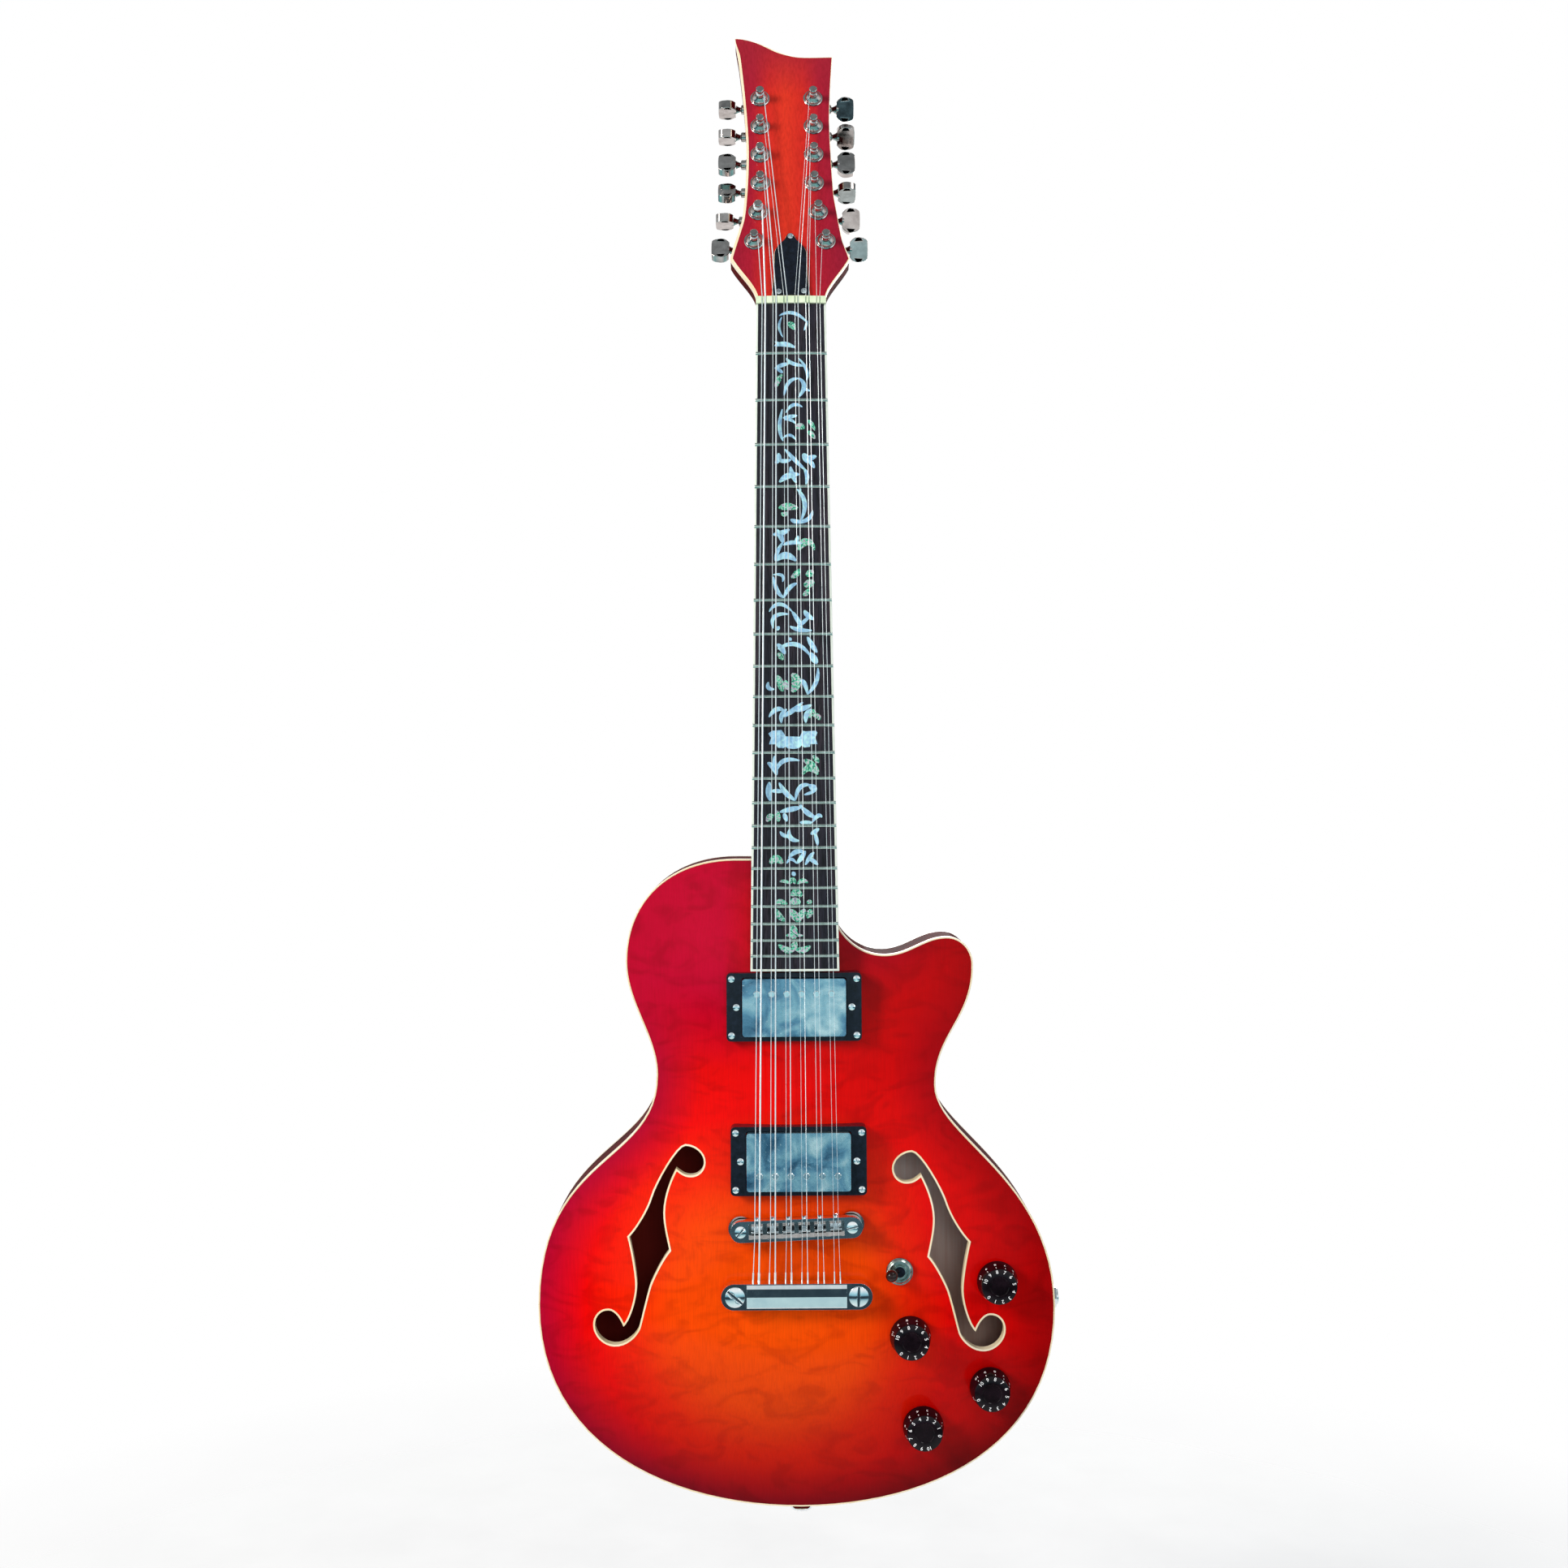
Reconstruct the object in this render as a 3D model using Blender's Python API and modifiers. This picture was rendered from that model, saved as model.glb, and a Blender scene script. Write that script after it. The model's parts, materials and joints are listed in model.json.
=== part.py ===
"""Twelve-string semi-hollow electric guitar, upright, with its face towards -Y, in metres.

The origin is the middle of the fretboard's face where it meets the nut. +Z runs up towards the headstock
and +X to the treble side. Three frames hold the pieces, each with U to the treble side, V up and N out of
the face: the neck's on the fretboard, the headstock's on its face, and the body's on the rim's front plane
with V counted from the bridge line.
"""

import math

import bmesh
import bpy
import numpy as np
from mathutils import Matrix, Vector, geometry

# Fits
CLEARANCE = 0.0003
OVERLAP = 0.0006

# Neck and strings
SCALE_LENGTH = 0.62865
BRIDGE_COMPENSATION = 0.0040
NECK_ANGLE = math.radians(3.0)
HEAD_ANGLE = math.radians(14.0)
FRET_COUNT = 22
BOARD_OVERHANG = 0.0104
BOARD_THICKNESS = 0.0060
BOARD_RADIUS = 0.305
CAMBER_STEPS = 3
NUT_WIDTH = 0.0490
BOARD_END_WIDTH = 0.0602
BOARD_BINDING = 0.0016
BOARD_BINDING_DROP = 0.00045
FRET_WIDTH = 0.0024
FRET_HEIGHT = 0.0011
FRET_SEAT = 0.00015
NUT_LENGTH = 0.0050
NUT_HEIGHT = 0.0024
NECK_DEPTH_AT_NUT = 0.0150
NECK_DEPTH_AT_HEEL = 0.0180
HEEL_RUN = 0.0420
BOARD_END_RISE = 0.0165
TONGUE_SETBACK = 0.0048
TONGUE_DEPTH = 0.0220
TRUSS_ROD_RADIUS = 0.0030
TRUSS_ROD_DEPTH = 0.0126
TRUSS_NUT_RADIUS = 0.0040
TRUSS_NUT_LENGTH = 0.0090

# Headstock
HEAD_DROP = 0.0055
HEAD_FOOT = NUT_WIDTH / 2 - 0.0002
HEAD_THICKNESS = 0.0145
FACE_THICKNESS = 0.0015
HEAD_HEIGHT = 0.2216
HEAD_CORNER_HEIGHT = 0.2045
ACCESS_WIDTH = 0.0120
ACCESS_LENGTH = 0.0320
COVER_THICKNESS = 0.0020
COVER_HEIGHT = 0.0530
COVER_FOOT = 0.0018

# Tuners: posts stand in rows, the first pair is nearest the nut
POST_PITCH = 0.0244
POST_START = 0.0475
BASS_ROW = 0.0213
TREBLE_ROW = 0.0175
ROW_FLARE = (0.0045, 0.0015)
TREBLE_FLARE = 1.7
POSTS_PER_SIDE = 6
POST_RADIUS = 0.0029
POST_TIP = 0.0112
WRAP_HEIGHT = 0.0066
GEAR_RADIUS = 0.0034
GEAR_HEIGHT = 0.0050
WORM_RADIUS = 0.0018
KEY_OFFSET = 0.0055
KEY_DEPTH = 0.0198
KEY_REACH = 0.0245
BUTTON_LENGTH = 0.0132
BUTTON_WIDTH = 0.0182
BUTTON_NECK_WIDTH = 0.0120
BUTTON_THICKNESS = 0.0062
STEM_RADIUS = 0.0028
HOUSING_INNER = 0.0065
HOUSING_OUTER = 0.0085
HOUSING_LENGTH = 0.0160
HOUSING_DEPTH = 0.0100
COLLAR_RADIUS = 0.0036
COLLAR_REACH = 0.0142
WASHER_RADIUS = 0.0071
WASHER_THICKNESS = 0.0010
BUSHING_RADIUS = 0.0045
BUSHING_HEIGHT = 0.0042
BASS_TURNS = (10, 78, 24, 12, 75, 82)
TREBLE_TURNS = (28, 20, 86, 8, 62, 35)

# Strings, bass to treble, as pairs of octave and main string
STRING_DIAMETERS = (
    (0.00061, 0.00117),
    (0.00046, 0.00091),
    (0.00033, 0.00066),
    (0.00023, 0.00046),
    (0.00033, 0.00033),
    (0.00025, 0.00025),
)
COURSE_PITCH_AT_NUT = 0.00763
COURSE_PITCH_AT_BRIDGE = 0.01053
COURSE_PITCH_AT_TAIL = 0.01090
PAIR_GAP_AT_NUT = 0.0022
PAIR_GAP_AT_BRIDGE = 0.0032
PAIR_GAP_AT_TAIL = 0.0040
STRING_LIFT_AT_NUT = 0.0016

# Body
BODY_DEPTH = 0.0450
TOP_THICKNESS = 0.0060
BACK_THICKNESS = 0.0060
RIM_WALL = 0.0062
BINDING_WIDTH = 0.0022
ARCH_HEIGHT = 0.0125
ARCH_LIP = 0.0120
ARCH_RUN = 0.0950
ARCH_BLUR = 0.0180
ARCH_CELL = 0.0200
ARCH_FLATNESS = 0.0005
OUTLINE_STEPS = 6
BLOCK_WIDTH = 0.0880

# F-holes
F_BINDING = 0.0015

# Hardware on the top
BRIDGE_SLANT = math.radians(2.1)
POST_SPACING = 0.0748
BRIDGE_LENGTH = 0.0885
BRIDGE_WIDTH = 0.0140
BRIDGE_BODY_HEIGHT = 0.0075
BRIDGE_FLOOR = 0.0020
BRIDGE_CHANNEL_LENGTH = 0.0640
BRIDGE_CHANNEL_WIDTH = 0.0102
BRIDGE_POST_RADIUS = 0.0026
THUMBWHEEL_RADIUS = 0.0085
THUMBWHEEL_HEIGHT = 0.0030
STUD_DEPTH = 0.0180
SADDLE_CREST = 0.0297
SADDLE_RISE = 0.0040
SADDLE_WIDTH = 0.0072
SADDLE_LENGTH = 0.0058
SADDLE_COUNT = 6
BREAK_SETBACK = 0.0017
SCREW_HEAD_RADIUS = 0.0016
SCREW_HEAD_REACH = 0.0018
TAIL_DROP = 0.0442
TAIL_LENGTH = 0.1010
TAIL_WIDTH = 0.0172
TAIL_THICKNESS = 0.0100
TAIL_FLOOR = 0.0170
STUD_SPACING = 0.0825
STUD_HEAD_RADIUS = 0.0064
STUD_HEAD_RISE = 0.0008
STUD_SLOT_WIDTH = 0.0013
STUD_SLOT_DEPTH = 0.0012
STUD_RADIUS = 0.0050
TAIL_STRING_RISE = 0.0058
RING_WIDTH = 0.0915
RING_HEIGHT = 0.0460
RING_GAP = 0.00125
NECK_RING_SHIFT = -0.0007
BRIDGE_RING_CENTRE = (0.0018, 0.0441)
NECK_RING_RISE = 0.0143
BRIDGE_RING_RISE = 0.0193
RING_CORNER = 0.0030
COVER_SIZE = (0.0700, 0.0387)
COVER_RISE = 0.0040
COVER_DROP = 0.0260
COVER_CORNER = 0.0020
RING_WINDOW_GAP = 0.0006
POLE_RADIUS = 0.0023
POLE_RISE = 0.0006
POLE_ROW = 0.0092
NECK_POLE_PITCH = 0.0101
BRIDGE_POLE_PITCH = 0.0105
POLE_COUNT = 6
EAR_LENGTH = 0.0840
EAR_WIDTH = 0.0100
EAR_THICKNESS = 0.0020
ROUT_GAP = 0.0012
ROUT_DEPTH = 0.0200

# Controls
KNOB_PLACES = {
    "knob_bridge_volume": (0.1362, -0.0405),
    "knob_neck_volume": (0.0764, -0.0748),
    "knob_bridge_tone": (0.1308, -0.1120),
    "knob_neck_tone": (0.0852, -0.1370),
}
KNOB_RADIUS = 0.0138
KNOB_TOP_RADIUS = 0.0120
KNOB_HEIGHT = 0.0128
SHAFT_RADIUS = 0.0030
SHAFT_LENGTH = 0.0180
POT_BUSHING_RADIUS = 0.0046
POT_RADIUS = 0.0115
POT_HEIGHT = 0.0095
POT_FLOOR = 0.0015
SWITCH_PLACE = (0.0695, -0.0314)
SWITCH_NUT_RADIUS = 0.0092
SWITCH_NUT_HEIGHT = 0.0026
SWITCH_BUSHING_RADIUS = 0.0064
SWITCH_BODY = (0.0160, 0.0150, 0.0240)
LEVER_TILT = math.radians(22.0)
LEVER_RADIUS = 0.0015
LEVER_LENGTH = 0.0200
LEVER_TIP_RADIUS = 0.0034
LEVER_TIP_LENGTH = 0.0100
LEVER_BALL_RADIUS = 0.0022
JACK_DROP = 0.0590
JACK_DEPTH = 0.0225
JACK_BORE = 0.0034
JACK_BARREL_RADIUS = 0.0056
JACK_BARREL_LENGTH = 0.0300
JACK_NUT_RADIUS = 0.0078
JACK_NUT_HEIGHT = 0.0024
JACK_WASHER_RADIUS = 0.0110
JACK_WASHER_THICKNESS = 0.0012
STRAP_HEAD_RADIUS = 0.0072
STRAP_NECK_RADIUS = 0.0042
STRAP_HEIGHT = 0.0095
HEEL_BUTTON_PLACE = (-0.0040, 0.2180)

# Body outline: each knot is a point from the bridge line's middle and its handles in and out
BODY_KNOTS = (
    ((-0.0409, 0.2458), (0.0080, 0), (-0.0450, 0)),
    ((-0.1158, 0.1760), (0, 0.0420), (0, -0.0280)),
    ((-0.0948, 0.0990), (0, 0.0260), (0, -0.0610)),
    ((-0.1755, -0.0560), (0, 0.1035), (0, -0.0960)),
    ((0.0030, -0.1924), (-0.0870, 0), (0.0870, 0)),
    ((0.1763, -0.0590), (0, -0.0955), (0, 0.0870)),
    ((0.0960, 0.0910), (0, -0.0360), (0, 0.0340)),
    ((0.1224, 0.1725), (0, -0.0370), (0, 0.0110)),
    ((0.1045, 0.1918), (0.0100, 0), (-0.0160, 0)),
    ((0.0618, 0.1798), (0.0170, 0), (-0.0160, 0)),
    ((0.0306, 0.1990), (0.0040, -0.0080), (-0.0030, 0.0140)),
    ((0.0060, 0.2454), (0.0160, 0), (-0.0080, 0)),
)

# F-hole opening on the bass side, from its top round the treble-side edge, as above
F_KNOTS = (
    ((-0.0749, 0.0514), (-0.0055, 0), (0.0065, 0)),
    ((-0.0624, 0.0410), (0, 0.0055), (0, -0.0052)),
    ((-0.0716, 0.0319), (0.0052, 0), (-0.0040, 0)),
    ((-0.0813, 0.0363), (0.0032, -0.0026), (-0.0032, -0.0055)),
    ((-0.0900, 0.0075), (0, 0.0110), (0, -0.0090)),
    ((-0.0858, -0.0172), (-0.0015, 0.0075), (-0.0042, -0.0046)),
    ((-0.0990, -0.0405), (0.0030, 0.0075), (-0.0026, -0.0085)),
    ((-0.1065, -0.0690), (0.0025, 0.0095), (-0.0022, -0.0055)),
    ((-0.1235, -0.0815), (0.0080, 0), (-0.0070, 0)),
    ((-0.1368, -0.0685), (0, -0.0070), (0, 0.0055)),
    ((-0.1272, -0.0584), (-0.0055, 0), (0.0046, 0)),
    ((-0.1171, -0.0689), (-0.0018, 0.0045), (0.0046, 0.0040)),
    ((-0.1078, -0.0410), (0, -0.0090), (0, 0.0080)),
    ((-0.1133, -0.0093), (0.0022, -0.0075), (0.0055, 0.0055)),
    ((-0.0976, 0.0170), (-0.0026, -0.0085), (0.0026, 0.0090)),
)
F_TREBLE_SHIFT = (0.0041, -0.0052)
F_STEPS = 3

# Headstock face, from the nut end round the bass side, as in F_KNOTS
HEAD_KNOTS = (
    ((-HEAD_FOOT, 0.0006), (0.0020, 0), (-0.0010, 0.0100)),
    ((-0.0426, 0.0330), (0.0060, -0.0120), (0.0010, 0.0060)),
    ((-0.0345, 0.0640), (-0.0028, -0.0110), (0.0020, 0.0110)),
    ((-0.0311, 0.1180), (-0.0002, -0.0200), (0.0002, 0.0260)),
    ((-0.0371, HEAD_CORNER_HEIGHT), (0.0022, -0.0200), (-0.0008, 0.0060)),
    ((-0.0389, HEAD_HEIGHT), (0.0006, -0.0060), (0.0080, 0.0004)),
    ((-0.0136, 0.2127), (-0.0060, 0.0036), (0.0060, -0.0036)),
    ((0.0077, HEAD_CORNER_HEIGHT), (-0.0080, 0.0008), (0.0080, -0.0006)),
    ((0.0318, HEAD_CORNER_HEIGHT), (-0.0080, 0), (-0.0004, -0.0080)),
    ((0.0292, 0.1500), (0.0002, 0.0200), (0, -0.0160)),
    ((0.0314, 0.0850), (-0.0010, 0.0160), (0.0016, -0.0110)),
    ((0.0370, 0.0470), (-0.0016, 0.0080), (0.0016, -0.0050)),
    ((0.0418, 0.0327), (-0.0012, 0.0050), (-0.0060, -0.0120)),
    ((HEAD_FOOT, 0.0006), (0.0010, 0.0100), (-0.0020, 0)),
)
HEAD_STEPS = 4

# Truss-rod cover, a bell with its foot at the nut
COVER_KNOTS = (
    ((-0.0136, COVER_FOOT), (0.0040, 0), (0.0006, 0.0120)),
    ((-0.0118, 0.0400), (-0.0002, -0.0120), (0.0006, 0.0040)),
    ((-0.0030, COVER_HEIGHT), (-0.0030, -0.0050), (0.0012, 0.0012)),
    ((0.0030, COVER_HEIGHT), (-0.0012, 0.0012), (0.0030, -0.0050)),
    ((0.0118, 0.0400), (-0.0006, 0.0040), (0.0002, -0.0120)),
    ((0.0136, COVER_FOOT), (-0.0006, 0.0120), (-0.0040, 0)),
)


def basis(origin, angle):
    """Frame with U along X, V up and tilted back by the angle, and N out of the face."""
    columns = Matrix(
        (
            (1, 0, 0),
            (0, math.sin(angle), -math.cos(angle)),
            (0, math.cos(angle), math.sin(angle)),
        )
    )
    return Matrix.Translation(origin) @ columns.to_4x4()


def fret_distance(number):
    """Distance of a fret from the nut by the equal-tempered rule."""
    return SCALE_LENGTH * (1 - 2 ** (-number / 12))


# The body's place follows from the fretboard: its end stands over the rim plane by a fixed rise
BOARD_LENGTH = fret_distance(FRET_COUNT) + BOARD_OVERHANG
RIM_SETBACK = BOARD_LENGTH * math.sin(NECK_ANGLE) - BOARD_END_RISE
NECK = basis(Vector((0, 0, 0)), NECK_ANGLE)
HEAD = basis(NECK @ Vector((0, NUT_LENGTH, -HEAD_DROP)), NECK_ANGLE + HEAD_ANGLE)
BODY = basis(Vector((0, -RIM_SETBACK, -SCALE_LENGTH - BRIDGE_COMPENSATION)), 0)
BRIDGE = BODY @ Matrix.Rotation(BRIDGE_SLANT, 4, "Z")
NECK_JOINT = -(BODY @ Vector((0, BODY_KNOTS[-1][0][1], 0))).z / math.cos(NECK_ANGLE)
TONGUE_LENGTH = BOARD_LENGTH - NECK_JOINT - TONGUE_SETBACK
BOARD_END_V = SCALE_LENGTH + BRIDGE_COMPENSATION - BOARD_LENGTH * math.cos(NECK_ANGLE)
NECK_RING_CENTRE = (NECK_RING_SHIFT, BOARD_END_V - RING_GAP - RING_HEIGHT / 2)


def knot_loop(knots, steps):
    """Points of the closed Bezier curve through the knots."""
    loop = []
    for (point, _, leave), (target, arrive, _) in zip(knots, knots[1:] + knots[:1]):
        start = Vector((*point, 0))
        end = Vector((*target, 0))
        first = start + Vector((*leave, 0))
        second = end + Vector((*arrive, 0))
        run = geometry.interpolate_bezier(start, first, second, end, steps + 1)
        loop += [(p.x, p.y) for p in run[:-1]]
    return loop


def offset_loop(loop, distance):
    """The loop moved sideways: inwards for a positive distance, whichever way it runs."""
    points = np.array(loop)
    after = np.roll(points, -1, axis=0) - points
    after /= np.linalg.norm(after, axis=1)[:, None]
    before = np.roll(after, 1, axis=0)
    area = np.sum(points[:, 0] * np.roll(points[:, 1], -1) - points[:, 1] * np.roll(points[:, 0], -1))
    side = math.copysign(1, area)
    normals = np.column_stack([-(after + before)[:, 1], (after + before)[:, 0]]) * side
    normals /= np.linalg.norm(normals, axis=1)[:, None]
    edge_normals = np.column_stack([-after[:, 1], after[:, 0]]) * side
    stretch = 1 / np.maximum(np.sum(normals * edge_normals, axis=1), 0.5)
    return [tuple(p) for p in points + normals * (distance * stretch)[:, None]]


BODY_LOOP = knot_loop(BODY_KNOTS, OUTLINE_STEPS)
F_LOOP = knot_loop(F_KNOTS, F_STEPS)
HEAD_LOOP = knot_loop(HEAD_KNOTS, HEAD_STEPS)


def edge_distance(points):
    """How far each (u, v) point lies inside the body outline, and 0 outside it."""
    start = np.array(BODY_LOOP)
    end = np.roll(start, -1, axis=0)
    step = end - start
    reach = points[:, None] - start[None]
    share = np.clip(np.sum(reach * step, axis=2) / np.sum(step * step, axis=1), 0, 1)
    distance = np.linalg.norm(reach - share[..., None] * step, axis=2).min(axis=1)
    u, v = points[:, :1], points[:, 1:]
    rising = (start[:, 1] > v) != (end[:, 1] > v)
    crossing = start[:, 0] + (v - start[:, 1]) * step[:, 0] / np.where(step[:, 1] == 0, 1, step[:, 1])
    inside = np.sum(rising & (u < crossing), axis=1) % 2 == 1
    return np.where(inside, distance, 0)


def arch_heights(points):
    """Height of the carved top over the rim plane: a flat lip, then a blurred smooth rise to the middle."""
    total = np.zeros(len(points))
    shifts = (-ARCH_BLUR, 0, ARCH_BLUR)
    for du in shifts:
        for dv in shifts:
            inside = edge_distance(points + (du, dv))
            share = np.clip((inside - ARCH_LIP) / (ARCH_RUN - ARCH_LIP), 0, 1)
            total += share * share * (3 - 2 * share)
    return ARCH_HEIGHT * total / len(shifts) ** 2


def arch_over_disc(place, radius):
    """Lowest and highest point of the top under a round foot."""
    turns = np.linspace(0, 2 * math.pi, 12, endpoint=False)
    ring = np.column_stack([np.cos(turns), np.sin(turns)]) * radius + place
    heights = arch_heights(np.vstack([ring, [place]]))
    return heights.min() - ARCH_FLATNESS, heights.max() + ARCH_FLATNESS


def camber(u):
    """Drop of the fretboard's round face away from its middle."""
    return -u * u / (2 * BOARD_RADIUS)


def board_half_width(distance):
    """Half the fretboard's width with its binding, at a distance from the nut."""
    share = distance / BOARD_LENGTH
    return (NUT_WIDTH + (BOARD_END_WIDTH - NUT_WIDTH) * share) / 2


def clear_scene():
    for obj in list(bpy.data.objects):
        bpy.data.objects.remove(obj, do_unlink=True)


def collection(name):
    made = bpy.data.collections.new(name)
    bpy.context.scene.collection.children.link(made)
    return made


def material(name, colour, roughness, metallic=0.0):
    made = bpy.data.materials.new(name)
    made.use_nodes = True
    shader = made.node_tree.nodes["Principled BSDF"]
    shader.inputs["Base Color"].default_value = (*colour, 1)
    shader.inputs["Roughness"].default_value = roughness
    shader.inputs["Metallic"].default_value = metallic
    return made


def add_object(name, mesh, frame):
    obj = bpy.data.objects.new(name, mesh)
    obj.matrix_world = frame
    CUTTERS.objects.link(obj)
    obj.hide_render = True
    obj.display_type = "WIRE"
    return obj


def part(obj, finish):
    """Finished piece of the guitar: the helper's shape with its modifiers applied, shaded and coloured."""
    name = obj.name
    frame = obj.matrix_world.copy()
    mesh = baked(obj)
    mesh.name = name
    mesh.materials.clear()
    mesh.materials.append(finish)
    mesh.shade_smooth()
    mesh.set_sharp_from_angle(angle=math.radians(35))
    piece = bpy.data.objects.new(name, mesh)
    piece.matrix_world = frame
    GUITAR.objects.link(piece)
    return piece


def mesh_from(name, bm, frame):
    bmesh.ops.recalc_face_normals(bm, faces=bm.faces)
    mesh = bpy.data.meshes.new(name)
    bm.to_mesh(mesh)
    bm.free()
    return add_object(name, mesh, frame)


def baked(obj):
    """Welded mesh of a curve, or of a mesh with its modifiers; the object itself is removed."""
    source = obj
    if obj.type == "MESH":
        source = obj.evaluated_get(bpy.context.evaluated_depsgraph_get())
    mesh = bpy.data.meshes.new_from_object(source)
    bm = bmesh.new()
    bm.from_mesh(mesh)
    bmesh.ops.remove_doubles(bm, verts=bm.verts, dist=1e-7)
    bm.to_mesh(mesh)
    bm.free()
    bpy.data.objects.remove(obj)
    return mesh


def prism(name, loops, low, high, frame):
    """Flat outline with holes between two heights: the first loop is the outline, the rest are holes."""
    curve = bpy.data.curves.new(name, "CURVE")
    curve.dimensions = "2D"
    curve.fill_mode = "BOTH"
    curve.extrude = (high - low) / 2
    for loop in loops:
        spline = curve.splines.new("POLY")
        spline.points.add(len(loop) - 1)
        for point, (u, v) in zip(spline.points, loop):
            point.co = (u, v, 0, 1)
        spline.use_cyclic_u = True
    mesh = baked(add_object(name, curve, Matrix()))
    mesh.transform(Matrix.Translation((0, 0, (low + high) / 2)))
    return add_object(name, mesh, frame)


def box(name, u, v, n, frame):
    """Block between the two ends of each of its three sides."""
    bm = bmesh.new()
    bmesh.ops.create_cube(bm, size=1)
    sides = Vector((u[1] - u[0], v[1] - v[0], n[1] - n[0]))
    middle = Vector((u[0] + u[1], v[0] + v[1], n[0] + n[1])) / 2
    bmesh.ops.scale(bm, vec=sides, verts=bm.verts)
    bmesh.ops.translate(bm, vec=middle, verts=bm.verts)
    return mesh_from(name, bm, frame)


def cylinder(name, radius, low, high, frame, steps=16, top_radius=None):
    """Round bar or cone along the frame's N."""
    bm = bmesh.new()
    bmesh.ops.create_cone(
        bm,
        cap_ends=True,
        segments=steps,
        radius1=radius,
        radius2=radius if top_radius is None else top_radius,
        depth=high - low,
    )
    bmesh.ops.translate(bm, vec=(0, 0, (low + high) / 2), verts=bm.verts)
    return mesh_from(name, bm, frame)


def bore(name, radius, low, high, frame, steps=12):
    """Cutter for a round hole whose flats still clear a round piece of this radius."""
    return cylinder(name, (radius + CLEARANCE) / math.cos(math.pi / steps), low, high, frame, steps)


def turned(name, profile, frame, steps=16, closed=False):
    """Turned shape from (radius, height) points that run down its outer side."""
    mesh = bpy.data.meshes.new(name)
    count = len(profile)
    edges = [(i, i + 1) for i in range(count - 1)]
    if closed:
        edges.append((count - 1, 0))
    mesh.from_pydata([(radius, 0, height) for radius, height in profile], edges, [])
    obj = add_object(name, mesh, frame)
    screw = obj.modifiers.new("turn", "SCREW")
    screw.steps = steps
    screw.render_steps = steps
    screw.use_merge_vertices = True
    screw.merge_threshold = 0.00001
    return obj


def loft(name, rings, frame):
    """Skin over rings of points, with flat ends."""
    bm = bmesh.new()
    rows = [[bm.verts.new(point) for point in ring] for ring in rings]
    for lower, upper in zip(rows, rows[1:]):
        for i in range(len(lower)):
            j = (i + 1) % len(lower)
            bm.faces.new((lower[i], lower[j], upper[j], upper[i]))
    bm.faces.new(rows[0])
    bm.faces.new(rows[-1])
    return mesh_from(name, bm, frame)


def combine(obj, operation, *tools):
    """Boolean of one object with one or more helpers."""
    if len(tools) == 1:
        change = obj.modifiers.new(operation.lower(), "BOOLEAN")
        change.operation = operation
        change.object = tools[0]
        return obj
    group = bpy.data.collections.new(obj.name + "_" + operation.lower())
    CUTTERS.children.link(group)
    for tool in tools:
        CUTTERS.objects.unlink(tool)
        group.objects.link(tool)
    change = obj.modifiers.new(operation.lower(), "BOOLEAN")
    change.operation = operation
    change.operand_type = "COLLECTION"
    change.collection = group
    return obj


def bevel(obj, width, segments=1, angle=math.radians(40)):
    change = obj.modifiers.new("bevel", "BEVEL")
    change.width = width
    change.segments = segments
    change.angle_limit = angle
    return obj


def at(frame, u=0.0, v=0.0, n=0.0):
    return frame @ Matrix.Translation((u, v, n))


def turn(frame, degrees, axis):
    return frame @ Matrix.Rotation(math.radians(degrees), 4, axis)


def arched_solid(name, lift, floor):
    """Block under the carved surface raised by lift. floor gives the underside from the surface height."""
    loop = np.array(BODY_LOOP)
    low = loop.min(axis=0) - 0.004
    high = loop.max(axis=0) + 0.004
    cells = np.ceil((high - low) / ARCH_CELL).astype(int)
    bm = bmesh.new()
    bmesh.ops.create_grid(bm, x_segments=int(cells[0]), y_segments=int(cells[1]), size=0.5)
    bmesh.ops.triangulate(bm, faces=bm.faces, quad_method="FIXED")
    places = np.array([vert.co[:2] for vert in bm.verts]) * (high - low) + (high + low) / 2
    heights = arch_heights(places)
    for vert, place, height in zip(bm.verts, places, heights):
        vert.co = (place[0], place[1], height + lift)
    made = bmesh.ops.extrude_face_region(bm, geom=bm.faces[:], use_keep_orig=True)
    for vert in (item for item in made["geom"] if isinstance(item, bmesh.types.BMVert)):
        vert.co.z = floor(vert.co.z - lift)
    return mesh_from(name, bm, BODY)


def f_loop(side, inset=0.0):
    """Outline of the f-hole on one side: -1 is the bass side and 1 the treble side."""
    loop = offset_loop(F_LOOP, inset)
    if side < 0:
        return loop
    return [(F_TREBLE_SHIFT[0] - u, F_TREBLE_SHIFT[1] + v) for u, v in loop]


def post_places():
    """Label, side, U and V of each string post: row 1 is nearest the nut."""
    for label, side, row in (("bass", -1, BASS_ROW), ("treble", 1, TREBLE_ROW)):
        for index in range(POSTS_PER_SIDE):
            flare = ROW_FLARE[index] * (TREBLE_FLARE if side > 0 else 1) if index < len(ROW_FLARE) else 0
            yield f"{label}_{index + 1}", side, side * (row + flare), POST_START + POST_PITCH * index


def key_frame(side, u, v):
    """Frame of a tuner key: its N runs outwards along the worm shaft."""
    quarter = Matrix.Rotation(math.radians(90 * side), 4, "Y")
    return at(HEAD, u, v + KEY_OFFSET, -KEY_DEPTH) @ quarter


def half_round(half_width, top, depth, fullness, steps=10):
    """Neck section: flat top and a round belly, boxier with a higher fullness."""
    turns = [math.pi * i / steps for i in range(steps + 1)]
    power = 2 / fullness
    return [
        (
            half_width * math.copysign(abs(math.cos(t)) ** power, math.cos(t)),
            top - depth * math.sin(t) ** power,
        )
        for t in turns
    ]


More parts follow.
